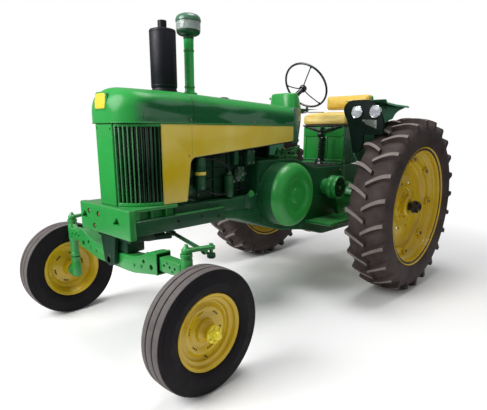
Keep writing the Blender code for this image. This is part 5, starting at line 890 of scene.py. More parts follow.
def front_frame():
    """Front casting: faced plate with pocket and bolts, pivot ears, steering post, channel rails."""
    plate = cut_plate(tenths(-2900, 7480, 2900, 7480, 2900, 9250, -2900, 9250), 0.01, 2, -2.389, -2.345, 0.007,
        "Y")
    pockets = [slab([(x - 0.044, 0.826), (x + 0.044, 0.826), (x, 0.874)], -2.4, -2.366, 0.001, "Y")
        for x in (-0.232, 0.152)]
    recesses = [rod(0.019, (x, -2.4, z), (x, -2.378, z), 24, 0) for x, z in ((-0.177, 0.872), (-0.063, 0.864),
        (-0.119, 0.785))]
    plate = drilled(plate, pockets + recesses)
    core = block((-0.225, -2.352, 0.785), (0.225, -2.02, 0.922), 0.012)
    flange = block((-0.266, -2.352, 0.903), (0.266, -2.026, 0.9245), 0.005)
    web = block((-0.262, -2.352, 0.846), (0.262, -2.3, 0.91), 0.006)
    shapes = [plate, core, flange, web]
    for y in (-2.215, -2.11):
        shapes += both([block((0.215, y - 0.006, 0.85), (0.258, y + 0.006, 0.908), 0.003)])
    ears = [rod(0.0219, (0, -2.374, PIVOT_Z), (0, -2.19, PIVOT_Z), 24), block((-0.19, -2.336, 0.704),
        (0.19, -2.152, 0.788), 0.014), block((-0.15, -2.33, 0.64), (0.15, -2.205, 0.712), 0.01)]
    for near, far in ((-2.37, -2.342), (-2.23, -2.202)):
        turn = np.radians(np.linspace(0, -180, 25))
        outline = [(0.095, 0.789)] + [(0.06 * cos(a), PIVOT_Z + 0.038 * sin(a))
            for a in turn] + [(-0.095, 0.789)]
        ears.append(slab(outline, near, far, 0.004, "Y"))
        ears.append(rod(0.036, (0, near - 0.004, PIVOT_Z), (0, far + 0.004, PIVOT_Z), 32, 0.003))
    fitted("front_casting", shapes, "green_casting", replaces="front_frame", sharp=35)
    # The pivot ears and the blocks round them take the near-black green: painted shade under the front casting.
    fitted("pivot_ears", ears, "engine_green")
    rails = []
    for side in (1, -1):
        channel = tenths(2400, 7680, 2850, 7680, 2850, 8560, 2400, 8560, 2400, 8430, 2720, 8430, 2720, 7810,
            2400, 7810)
        channel = rounded([(side * x, z) for x, z in channel], 0.007, 3, True)
        rails.append(slab(channel, -2.05, -1.64, 0.002, "Y"))
        head = block((0.222, -2.346, 0.768), (0.2845, -2.022, 0.856), 0.009, "Y")
        rails.append(head if side > 0 else flipped(head))
    rails += both([block((0.18, -2.03, 0.8), (0.236, -1.742, 0.903), 0.004)])
    # The rails, their heads and the filler blocks take the darker green: painted shade on the frame's sides.
    fitted("channel_rails", rails, "dark_green_casting")
    # A thin strip of lighter green on each rail's top edge: a painted highlight of the light on the top flange.
    fitted("rail_top_highlight", both([block((0.242, -2.048, 0.8552), (0.2835, -1.642, 0.8572), 0.0008)]),
        "green_casting")
    heads = [bolts([(-0.177, -2.38, 0.872), (-0.063, -2.38, 0.864)], FRONT, 0.0105, 0.0065),
        bolts([(-0.119, -2.38, 0.785)], FRONT, 0.0095, 0.0065)]
    fitted("plate_bolts", heads, "brass")
    side_bolts = bolts([(0.2848, -2.039, 0.82), (0.2848, -1.85, 0.825), (0.2848, -1.7, 0.806)], LEFT, 0.0085,
        0.006)
    fitted("rail_bolts", both([side_bolts]), "dark_iron")
    post = turned(tenths(0, 7000, 400, 7000, 560, 7080, 580, 7420, 460, 7480, 460, 7860), POST, segments=48)
    teeth = [block((0.05, -0.0045, 0.706), (0.0645, 0.0045, 0.744), 0.0018) for _ in range(22)]
    teeth = [spun(tooth, tau * number / 22, POST) for number, tooth in enumerate(teeth)]
    # The steering post and its teeth take the near-black green: painted shade.
    fitted("steering_post", [post] + teeth, "engine_green")


def front_beam():
    """Shallow V axle beam with raised, clamped ends and its bolt holes."""
    half = tenths(0, 6320, 2000, 6370, 3100, 6640, 3780, 7000, 4545, 7055, 4545, 5790, 2000, 5360)
    outline = half + [(-x, z) for x, z in half[:0:-1]]
    radii = [0.05, 0.05, 0.04, 0.02, 0.008, 0.008, 0.06]
    body = cut_plate(outline, radii + radii[:0:-1], 4, -2.336, -2.236, 0.005, "Y")
    tools = []
    for side in (1, -1):
        tools.append(rod(0.0125, (side * 0.326, -2.35, 0.632), (side * 0.326, -2.22, 0.632), 24, 0))
        tools.append(rod(0.005, (side * 0.443, -2.35, 0.632), (side * 0.443, -2.318, 0.632), 16, 0))
        tools.append(rod(0.017, (side * 0.4, -2.35, 0.612), (side * 0.4, -2.312, 0.612), 24, 0))
    shapes = [drilled(body, tools)]
    shapes += both([block((0.436, -2.3358, 0.576), (0.4545, -2.2362, 0.7058), 0.003)])
    lip = tenths(700, 6280, 2000, 6330, 3050, 6590, 3720, 6950)
    rim = np.array([(x, -2.3335, z + 0.003) for x, z in lip])
    shapes += both([sweep(spline(rim, 24), 0.0024)])
    low = np.array([(0.05, -2.334, 0.5455), (0.2, -2.334, 0.5415), (0.32, -2.334, 0.5615),
        (0.43, -2.334, 0.5815)])
    shapes += both([sweep(spline(low, 24), 0.0026)])
    fitted("axle_beam", shapes, "green_casting", replaces="front_axle_beam", sharp=35)
    studs = bolts([(0.3, -2.3355, 0.6), (0.225, -2.3355, 0.59)], FRONT, 0.009, 0.006)
    fitted("beam_bolts", both([studs]), "green_casting")


def axle_extension(word, side):
    """Sliding axle end with its row of holes, and the bored tube of the kingpin."""
    bar = cut_plate(tenths(4580, 6010, 5600, 6030, 6400, 6120, 6400, 6780, 4580, 6830), 0.006, 2, -2.32, -2.252,
        0.005, "Y")
    holes = [rod(0.0085, (x, -2.34, 0.642), (x, -2.23, 0.642), 20, 0) for x in (0.5, 0.551, 0.595)]
    bar = drilled(bar, holes)
    tube = turned(tenths(195, 4600, 325, 4600, 330, 4630, 330, 4860, 300, 4900, 300, 5800, 330, 5880, 330, 7000,
        305, 7040, 305, 7120, 330, 7160, 330, 7330, 320, 7350, 195, 7350), KINGPIN, segments=48, closed=True)
    fillet = [slab([(0.6, 0.606), (0.64, 0.56), (0.64, 0.606)], -2.3, -2.272, 0.003, "Y"),
        slab([(0.585, 0.676), (0.64, 0.676), (0.64, 0.716)], -2.3, -2.272, 0.003, "Y")]
    heads = bolts([(0.5255, -2.3195, 0.662), (0.573, -2.3195, 0.622)], FRONT, 0.006, 0.0045)
    shapes = [bar, tube, heads] + fillet
    fitted(f"axle_end_{word}", shapes, "green_casting", replaces=f"axle_extension_{word}", sharp=35, side=side)


def steering_arm(low, high, radius=0.026, waist=0.017):
    """A forged arm from its shaft to its rod pin, about the shaft: round ends and a slimmer middle."""
    end = np.array((0.04, 0.14))
    along = end / np.linalg.norm(end)
    across = np.array((along[1], -along[0]))
    turns = np.radians(np.linspace(0, 180, 13))
    first = [across * radius * cos(turn + pi) + along * radius * sin(turn + pi) for turn in turns]
    last = [end + across * radius * 0.85 * cos(turn) + along * radius * 0.85 * sin(turn) for turn in turns]
    middle = [end * share + across * waist for share in (0.35, 0.65)]
    other = [end * share - across * waist for share in (0.65, 0.35)]
    return slab(np.array(first + middle + last + other), low, high, 0.004)


def knuckle(word, side):
    """Steering knuckle: forged block on a collar, kingpin with a domed cap, and stub axle."""
    place = KINGPIN
    body = turned(tenths(0, 2980, 240, 2990, 340, 3060, 375, 3200, 380, 3720, 340, 3920, 300, 4120, 300, 4300,
        345, 4360, 345, 4520, 200, 4540), place, segments=48)
    pin = rod(0.0188, place + (0, 0, 0.4), place + (0, 0, 0.748), 24)
    stub = turned(tenths(0, 0, 360, 0, 370, 300, 400, 340, 460, 360, 460, 460, 300, 480, 215, 520, 205, 1500,
        0, 1500), place + (0, 0, 0.345), LEFT, 40)
    arm = shifted(steering_arm(0.741, 0.761), place)
    cap = turned(tenths(262, 7412, 262, 7560, 240, 7600, 185, 7640, 150, 7700, 110, 7780, 85, 7850, 0, 7855),
        place, segments=40)
    stud = rod(0.0098, place + (0.04, 0.14, 0.69), place + (0.04, 0.14, 0.752), 16)
    nut = bolts([place + (0.04, 0.14, 0.7605)], UP, 0.012, 0.01, 0.002)
    shapes = [body, pin, stub, arm, cap, stud, nut]
    fitted(f"steering_knuckle_{word}", shapes, "green_casting", f"knuckle_{word}", f"knuckle_{word}", 38, side)


def centre_arm():
    """Double arm under the steering post that moves both rods."""
    place = POST
    arms = [steering_arm(0.652, 0.686), flipped(steering_arm(0.652, 0.686))]
    shapes = [shifted(arm, place) for arm in arms]
    shapes.append(rod(0.0215, place + (0, 0, 0.662), place + (0, 0, 0.78), 32))
    shapes.append(bolts([place + (0, 0, 0.664)], (0, 0, -1), 0.02, 0.01, 0.003))
    for x in (-0.04, 0.04):
        shapes.append(rod(0.0098, place + (x, 0.14, 0.664), place + (x, 0.14, 0.719), 16))
        shapes.append(bolts([place + (x, 0.14, 0.664)], (0, 0, -1), 0.0115, 0.009, 0.002))
    # The centre arm takes the near-black green: painted shade under the front casting.
    fitted("steering_centre_arm", shapes, "engine_green", "centre_arm", "centre_steering_arm", 38)


def tie_rod(word, side):
    """Steering rod with turned-down threads, clamps and a ball socket at each end."""
    start = np.array((0.04, -1.94, 0.705))
    end = np.array((0.695, -2.146, 0.705))
    way = (end - start) / np.linalg.norm(end - start)
    bar = rod(0.0126, start + way * 0.085, end - way * 0.085, 24, 0.003)
    shapes = [bar]
    for place, toward in ((start, way), (end, -way)):
        shapes.append(rod(0.0092, place + toward * 0.018, place + toward * 0.095, 20, 0.001))
        socket = turned(tenths(105, -135, 200, -135, 236, -80, 238, 70, 200, 135, 105, 135), place, segments=32,
            closed=True)
        shapes.append(socket)
        clamp = place + toward * 0.092
        shapes.append(rod(0.0185, clamp - toward * 0.008, clamp + toward * 0.008, 24, 0.002))
        shapes.append(bolts([clamp + (0, 0, 0.0165)], UP, 0.0055, 0.005, 0.001))
    # The steering rods take the darker green: painted shade.
    fitted(f"steering_rod_{word}", shapes, "dark_green_casting", f"tie_rod_{word}", f"tie_rod_{word}", 38, side)


# Sheet metal

def crown_height(y):
    """Height of the hood's ridge, falling evenly from the nose to the cowl."""
    return HOOD_TOP - 0.038 * np.clip((y + 1.87) / 1.02, 0, 1)


def hood_row(y, half, top, foot=HOOD_FOOT):
    """One cross-section: straight side, round shoulder of 100 mm and a crown that rises 16 mm."""
    radius = min(0.1, half * 0.8)
    shoulder = top - 0.016 - radius
    turn = np.linspace(0, pi / 2, 15)
    xs = half - radius + radius * np.cos(turn)
    zs = shoulder + radius * np.sin(turn)
    reach = half - radius
    flat = np.linspace(reach, -reach, 23)[1:-1]
    crown = top - 0.016 * (flat / reach) ** 2
    sides = [(half, foot), (half, foot + 0.004), (half, foot + 0.03)]
    line = sides + list(zip(xs, zs)) + list(zip(flat, crown))
    line += [(-x, z) for x, z in zip(xs[::-1], zs[::-1])] + [(-x, z) for x, z in sides[::-1]]
    return [(x, y, z) for x, z in line]


def hood():
    """Hood in one skin, its lower edge hemmed, bored for the intake stem."""
    ys = np.concatenate([[-1.8692, -1.864], np.linspace(-1.84, -0.88, 33), [-0.856, -0.8502]])
    rows = np.array([hood_row(y, HOOD_HALF, crown_height(y)) for y in ys])
    body = skin(rows, 0.003)
    body = drilled(body, [rod(0.035, (0, -1.69, 1.4), (0, -1.69, 1.75), 40, 0)])
    fitted("hood_skin", body, "green_hood", replaces="hood", sharp=28)
    collar = turned(tenths(352, 15900, 480, 15940, 520, 16010, 480, 16100, 380, 16140, 345, 16120), INTAKE,
        segments=48, closed=True)
    fitted("stack_collar", collar, "green_sheet")
    screws = [bolts([(0.25, -1.312, 1.418), (0.25, -0.93, 1.418)], LEFT, 0.0075, 0.004, 0.0015)]
    fitted("hood_screws", both(screws), "steel")
    bead = [(0.2512, y, 1.4065) for y in (-1.866, -1.5, -0.856)]
    fitted("hood_beads", both([sweep(spline(bead, 20), 0.0026)]), "green_sheet")
    seam = np.array(hood_row(-1.8697, 0.2506, 1.6066))
    fitted("hood_seam", sweep(seam, 0.0016), "black_enamel")


def nose_half(setback, flat, depth):
    """Half width of the nose in plan: a flat front, then a quarter of an ellipse back to the straight side."""
    share = np.clip(1 - setback / depth, 0, 1)
    return flat + (HOOD_HALF - flat) * np.sqrt(np.clip(1 - share ** 2, 0, 1))


def nose():
    """Rounded nose: its half width grows as an ellipse with the way back; its top edge is a quarter round."""
    rows = []
    front, depth, round_depth, over = -2.357, 0.2, 0.105, 0.078
    turns = np.radians([0, 3, 7, 12, 17, 22, 28, 34, 40, 46, 52, 58, 64, 70, 76, 83, 90])
    for turn in turns:
        back = depth * (1 - cos(turn))
        bend = np.clip(1 - back / round_depth, 0, 1)
        drop = over * (1 - sqrt(1 - bend ** 2))
        rows.append(hood_row(front + back, nose_half(back, 0.062, depth), HOOD_TOP - drop))
    for y in np.linspace(front + depth, -1.8712, 12)[1:]:
        rows.append(hood_row(y, HOOD_HALF, HOOD_TOP))
    rows = np.array(rows)
    body = skin(rows, 0.003)
    shape = rows[0]
    middle = np.array((0.0, front, HOOD_FOOT))
    rings = [middle + (shape - middle) * share + (0, -0.0015 * (1 - share ** 2), 0)
        for share in (1.0, 0.97, 0.88, 0.72, 0.5, 0.25, 0.02)]
    plate = skin(np.array(rings[::-1]), 0.003)
    body = drilled(body, [rod(0.031, (0, -1.9, 1.4), (0, -1.9, 1.75), 32, 0)])
    fitted("nose_skin", [body, plate], "green_hood", replaces="nose", sharp=28)
    line = [(nose_half(depth * (1 - cos(turn)), 0.062, depth) + 0.0008, front + depth * (1 - cos(turn))
        - 0.0008, 1.4065) for turn in turns[1:]]
    line = line + [(0.2512, -2.02, 1.4065), (0.2512, -1.876, 1.4065)]
    around = line[::-1] + [(0.0, front - 0.0015, 1.4065)] + [(-x, y, z) for x, y, z in line]
    fitted("nose_beads", sweep(spline(around, 120), 0.0028), "green_sheet")
    badge = cut_plate(tenths(-550, 0, 550, 0, 590, 450, 520, 860, -520, 860, -590, 450), 0.014, 4, 0, 0.0085,
        0.003, "Z")
    turn = aimed((0, -1, 0.1), (0.0, -2.3555, 1.482))
    frame_plate = cut_plate(tenths(-640, -80, 640, -80, 680, 460, 600, 950, -600, 950, -680, 460), 0.018, 4,
        -0.004, 0.0035, 0.002, "Z")
    fitted("nose_badge", moved(badge, turn), "badge_yellow")
    fitted("nose_badge_frame", moved(frame_plate, turn), "green_sheet")
    dots = bolts([(0.248, -1.899, 1.426)], LEFT, 0.008, 0.005, 0.002)
    fitted("nose_screws", both([dots]), "steel")


GRILLE_PLAN = spline(tenths(920, -23450, 1150, -23330, 1400, -23180, 1650, -23000, 1900, -22770, 2120, -22500,
    2310, -22160, 2440, -21800, 2497, -21450, 2500, -21230), 60)


def grille_place(share):
    """Place and turn on the grille's plan at a share of the way from the strip to the side panel."""
    steps = np.linalg.norm(np.diff(GRILLE_PLAN, axis=0), axis=1)
    run = np.concatenate([[0], np.cumsum(steps)]) / steps.sum()
    x, y = (float(np.interp(share, run, GRILLE_PLAN[:, axis])) for axis in (0, 1))
    ahead = [float(np.interp(min(share + 0.01, 1), run, GRILLE_PLAN[:, axis])) for axis in (0, 1)]
    behind = [float(np.interp(max(share - 0.01, 0), run, GRILLE_PLAN[:, axis])) for axis in (0, 1)]
    return x, y, atan2(ahead[1] - behind[1], ahead[0] - behind[0])


def grille():
    """Grille: upright bars with rounded fronts round both corners, rails, strip, a dark core, and black slats
    as painted shade between the bars.
    """
    band = GRILLE_PLAN[::-5]
    outer = np.vstack([band, band[::-1] * (-1, 1)])
    inner = band * (0.86, 1) + (0, 0.02) * (band[:, 1:] < -2.13)
    inner = np.vstack([inner, inner[::-1] * (-1, 1)])
    ring = np.vstack([outer, inner[::-1]])
    rails = [slab(ring, 0.9265, 0.946, 0.003), slab(ring, 1.384, 1.4005, 0.003)]
    fitted("grille_rails", rails, "green_sheet", replaces="grille")
    bars, dark = [], []
    for number in range(11):
        x, y, turn = grille_place((number + 0.5) / 11)
        bar = cut_plate(tenths(-36, 0, 36, 0, 34, 240, -34, 240), 0.0028, 3, 0.938, 1.392, 0.001)
        bars.append(spun(bar, turn, (x, y, 0)))
        # Black slats just behind each gap between the bars: painted shade in the gaps.
        x, y, turn = grille_place((number + 1.0) / 11)
        slat = block((-0.004, 0.018, 0.938), (0.004, 0.036, 1.392), 0.001)
        dark.append(spun(slat, turn, (x, y, 0)))
    fitted("grille_bars", both(bars[:6]), "bar_green")
    # The side bars take the darker green: painted shade on the bars that face away from the light.
    fitted("grille_bars_rear", both(bars[6:]), "dark_green_casting")
    fitted("grille_gap_shade", both(dark), "black_enamel")
    strip = cut_plate(tenths(-920, -23485, 920, -23485, 920, -23260, -920, -23260), 0.006, 3, 0.9265, 1.4005,
        0.003)
    holes = [rod(0.0072, (x, -2.36, z), (x, -2.336, z), 16, 0) for x, z in ((-0.074, 1.376), (0.074, 1.372))]
    fitted("grille_strip", drilled(strip, holes), "green_sheet")
    core = block((-0.182, -2.232, 0.93), (0.182, -2.18, 1.396), 0.004)
    fins = [block((-0.178, -2.2365, z), (0.178, -2.231, z + 0.0016), 0.0005)
        for z in np.arange(0.945, 1.388, 0.009)]
    side_walls = both([block((0.198, -2.19, 0.93), (0.21, -2.128, 1.396), 0.002)])
    fitted("radiator_core", [core] + fins + side_walls, "black_enamel", replaces="radiator")
    tank = block((-0.24, -2.236, 1.41), (0.24, -2.15, 1.482), 0.018)
    foot = block((-0.198, -2.18, 0.926), (0.198, -2.15, 1.415), 0.006)
    fitted("radiator_tanks", [tank, foot], "black_enamel")


def side_panel(word, side):
    """Yellow side panel: tall behind the grille, then a tapering strip, with a lighter rolled border."""
    outline = tenths(-21218, 9265, -19365, 9265, -19000, 11960, -8530, 12870, -8530, 14005, -21218, 14005)
    radii = [0.004, 0.01, 0.04, 0.022, 0.006, 0.004]
    outline = rounded(outline, radii, 6, True)
    plate = slab(outline, 0.2465, 0.2512, 0.0015, "X")
    edge = inset(anticlockwise(outline), 0.0035)
    border = sweep([(0.2508, y, z) for y, z in edge], 0.0022, closed=True)
    seam = block((0.2505, -1.8903, 1.212), (0.2514, -1.8885, 1.399), 0.0003)
    shapes, finishes = [plate, border, seam], ["yellow_sheet", "panel_edge", "panel_seam"]
    shapes.append(bolts([(0.251, -1.915, 1.21)], LEFT, 0.0045, 0.0022, 0.0008))
    finishes.append("brass")
    fitted(f"panel_{word}", shapes, finishes, replaces=f"side_panel_{word}", side=side)
    # A black strip along inside the panel's lower edge: painted shade of the gap under the panel.
    rib = [(0.244, y, z) for y, z in ((-1.88, 1.199), (-1.4, 1.239), (-0.87, 1.285))]
    under = sweep(spline(rib, 20), tenths(-40, -60, 40, -60, 40, 60, -40, 60))
    fitted(f"panel_under_shade_{word}", under, "black_enamel", side=side)


def cowl():
    """Instrument cowl: cheeks that draw in toward the driver, a rounded dome, and its instruments behind."""
    cheeks = [(0.248, -0.849, 1.271), (0.248, -0.849, 1.54), (0.222, -0.745, 1.271), (0.205, -0.695, 1.45),
        (0.205, -0.695, 1.54)]
    dome = []
    for half, high_half, low_y, high_y in ((0.062, 0.055, -0.73, -0.724), (0.105, 0.096, -0.718, -0.712),
            (0.135, 0.124, -0.68, -0.676), (0.135, 0.124, -0.635, -0.64), (0.081, 0.072, -0.525, -0.584)):
        dome += [(half, low_y, 1.482), (half, low_y, 1.56), (high_half, high_y, 1.668)]
    # The cowl shell takes the greyed green: painted shade and painted reflection on its cheeks.
    fitted("cowl_shell", hulled(cheeks, 0.012), "green_shade", replaces="cowl", sharp=30)
    fitted("cowl_dome", hulled(dome, 0.024, 6), "green_sheet", sharp=40)
    nub = turned(tenths(0, 0, 100, 0, 110, 60, 70, 120, 0, 130), (-0.108, -0.708, 1.63), (-0.8, -0.6, 0.1), 20)
    fitted("cowl_trim", nub, "green_sheet")
    gauges, faces, needles = [], [], []
    out = Vector((0, 0.874, 0.486))
    for x, size in ((-0.05, 0.021), (0.05, 0.021)):
        middle = Vector((x, -0.5535, 1.612))
        gauges.append(turned([(size * 0.8, -0.002), (size, -0.002), (size, 0.006), (size * 0.92, 0.008),
            (size * 0.84, 0.005)], middle, out, 32, True))
        faces.append(turned([(0, 0.003), (size * 0.86, 0.003), (size * 0.86, -0.002), (0, -0.002)], middle, out,
            32))
        needles.append(moved(block((-0.001, -0.002, 0.003), (0.001, size * 0.7, 0.0045), 0.0004),
            aimed(out, middle) @ Matrix.Rotation(x * 12, 4, "Z")))
    fitted("gauge_rings", gauges, "chrome")
    fitted("gauge_faces", faces, "dial_white")
    fitted("gauge_needles", needles, "black_enamel")


# Engine and drive line

def engine():
    """Engine block with ribs, head with its covers, and the parts that hang on the left side."""
    body = block((-0.165, -1.806, 0.902), (0.165, -1.252, 1.25), 0.016)
    head = block((-0.19, -1.955, 0.932), (0.19, -1.8, 1.225), 0.02)
    shapes = [body, head]
    for z in (0.965, 1.035, 1.105, 1.175):
        shapes += both([block((0.16, -1.79, z), (0.176, -1.27, z + 0.01), 0.003)])
    for y in (-1.64, -1.505, -1.37):
        shapes += both([block((0.16, y - 0.006, 0.915), (0.18, y + 0.006, 1.235), 0.003)])
    gasket = block((-0.1915, -1.806, 0.93), (0.1915, -1.799, 1.2265), 0.001)
    cover = block((-0.15, -1.975, 0.96), (0.15, -1.95, 1.195), 0.012, "Y", 0.04)
    # The engine body takes the near-black green: painted shade under the hood.
    fitted("engine_body", shapes + [cover], "engine_green", replaces="engine_block", sharp=35)
    fitted("head_gasket", gasket, "dark_iron")
    studs = [bolts([(x, -1.799, z) for x in (-0.178, 0.178) for z in (0.945, 1.08, 1.212)], BACK, 0.009, 0.01)]
    studs.append(bolts([(0.1895, -1.935, z) for z in (0.95, 1.05, 1.15, 1.21)], LEFT, 0.0085, 0.008))
    studs.append(bolts([(0.1795, y, 1.243) for y in (-1.64, -1.505, -1.37)], LEFT, 0.007, 0.006))
    fitted("engine_studs", studs, "bar_green")
    ports = [turned(tenths(0, 0, 300, 0, 340, 60, 340, 140, 240, 200, 0, 200), (0.188, y, z), LEFT, 32)
        for y, z in ((-1.88, 1.1), (-1.88, 0.99))]
    governor = turned(tenths(0, 0, 520, 0, 560, 60, 560, 300, 440, 400, 300, 520, 180, 560, 0, 560),
        (0.165, -1.4, 1.06), LEFT, 48)
    pump = turned(tenths(0, -750, 300, -750, 360, -600, 360, 600, 300, 750, 0, 750), (0.206, -1.53, 0.985), UP,
        36)
    pump_lid = turned(tenths(0, 750, 220, 750, 260, 840, 200, 940, 0, 960), (0.206, -1.53, 0.985), UP, 32)
    box = block((0.16, -1.35, 1.12), (0.222, -1.268, 1.236), 0.012)
    tall = block((0.163, -1.47, 1.128), (0.21, -1.425, 1.244), 0.01)
    bosses = [ports[0], ports[1], governor, pump, pump_lid, box, tall]
    # The parts on the engine's side take the darker green: painted shade under the hood.
    fitted("engine_bosses", bosses, "dark_green_casting", sharp=38)
    lines = [pipe([(0.214, -1.53, 1.075), (0.224, -1.56, 1.13), (0.215, -1.65, 1.17), (0.205, -1.76, 1.19)],
        0.0055), pipe([(0.2, -1.43, 1.1), (0.226, -1.47, 1.06), (0.226, -1.5, 1.01), (0.232, -1.53, 0.96)],
        0.0045), pipe([(0.19, -1.72, 0.96), (0.222, -1.66, 0.94), (0.216, -1.56, 0.935), (0.19, -1.46, 0.945),
        (0.18, -1.33, 0.95)], 0.006), pipe([(0.196, -1.31, 1.232), (0.205, -1.38, 1.262), (0.2, -1.48, 1.262),
        (0.19, -1.6, 1.222)], 0.005)]
    fitted("engine_lines", lines, "dark_iron")
    wires = [pipe([(0.19, -1.86 + step, 1.205), (0.214, -1.8 + step, 1.216), (0.208, -1.66 + step, 1.2),
        (0.196, -1.48, 1.215 + step)], 0.0042) for step in (0.0, 0.03)]
    fitted("engine_wires", wires, "hose_rubber")
    nuts = [bolts([(0.214, -1.53, 1.076), (0.226, -1.5, 1.012)], (0.3, 0, 1), 0.0095, 0.012, 0),
        bolts([(0.221, -1.4, 1.06)], LEFT, 0.009, 0.006), bolts(ring_places((0.201, -1.4, 1.06), 0.048, 6, 0),
        LEFT, 0.006, 0.005), bolts([(0.222, -1.334, 1.138), (0.222, -1.284, 1.138), (0.222, -1.334, 1.218),
        (0.222, -1.284, 1.218)], LEFT, 0.0055, 0.004)]
    fitted("engine_nuts", nuts, "steel")
    manifold = pipe([(0.15, -1.88, 1.216), (0.15, -1.9, 1.262), (0.08, -1.9, 1.3), (0.0, -1.9, 1.33),
        (0.0, -1.9, 1.38)], 0.027, 40, 24)
    fitted("exhaust_pipe", manifold, "dark_iron")
    fan = [rod(0.03, (0, -2.01, 1.14), (0, -2.09, 1.14), 28, 0.004)]
    for number in range(4):
        blade = block((0.02, -0.004, -0.028), (0.165, 0.004, 0.028), 0.002, "Y", 0.018)
        turn = Matrix.Translation((0, -2.075, 1.14)) @ Matrix.Rotation(tau * number / 4 + 0.3, 4, "Y")
        fan.append(moved(blade, turn @ Matrix.Rotation(0.5, 4, "X")))
    fan.append(rod(0.012, (0, -1.97, 1.14), (0, -2.015, 1.14), 20))
    fitted("radiator_fan", fan, "black_enamel")


def oil_filter():
    """Upright filter can with its yellow band, clamp and lid bolt."""
    place = (0.2262, -1.806, 0)
    can = turned(tenths(0, 9850, 200, 9850, 300, 9900, 345, 10000, 345, 11400, 370, 11430, 370, 11520,
        345, 11560, 330, 11800, 270, 11940, 120, 11990, 0, 11990), place, segments=56)
    band = turned(tenths(346, 10830, 368, 10840, 374, 10880, 374, 10980, 368, 11020, 346, 11030), place,
        segments=56, closed=True)
    stripe = turned(tenths(348, 10100, 354, 10120, 354, 10180, 348, 10200), place, segments=56, closed=True)
    bracket = block((0.169, -1.836, 1.055), (0.226, -1.776, 1.075), 0.004)
    cap = bolts([(0.2262, -1.806, 1.197)], UP, 0.011, 0.01, 0.002)
    # The can, its stripe and its bracket take the darker greens: painted shade under the side panel.
    fitted("filter_can", [can, band, stripe, bracket, cap], ["dark_green_casting", "yellow_sheet", "case_green",
        "engine_green", "dark_iron"], replaces="oil_filter")


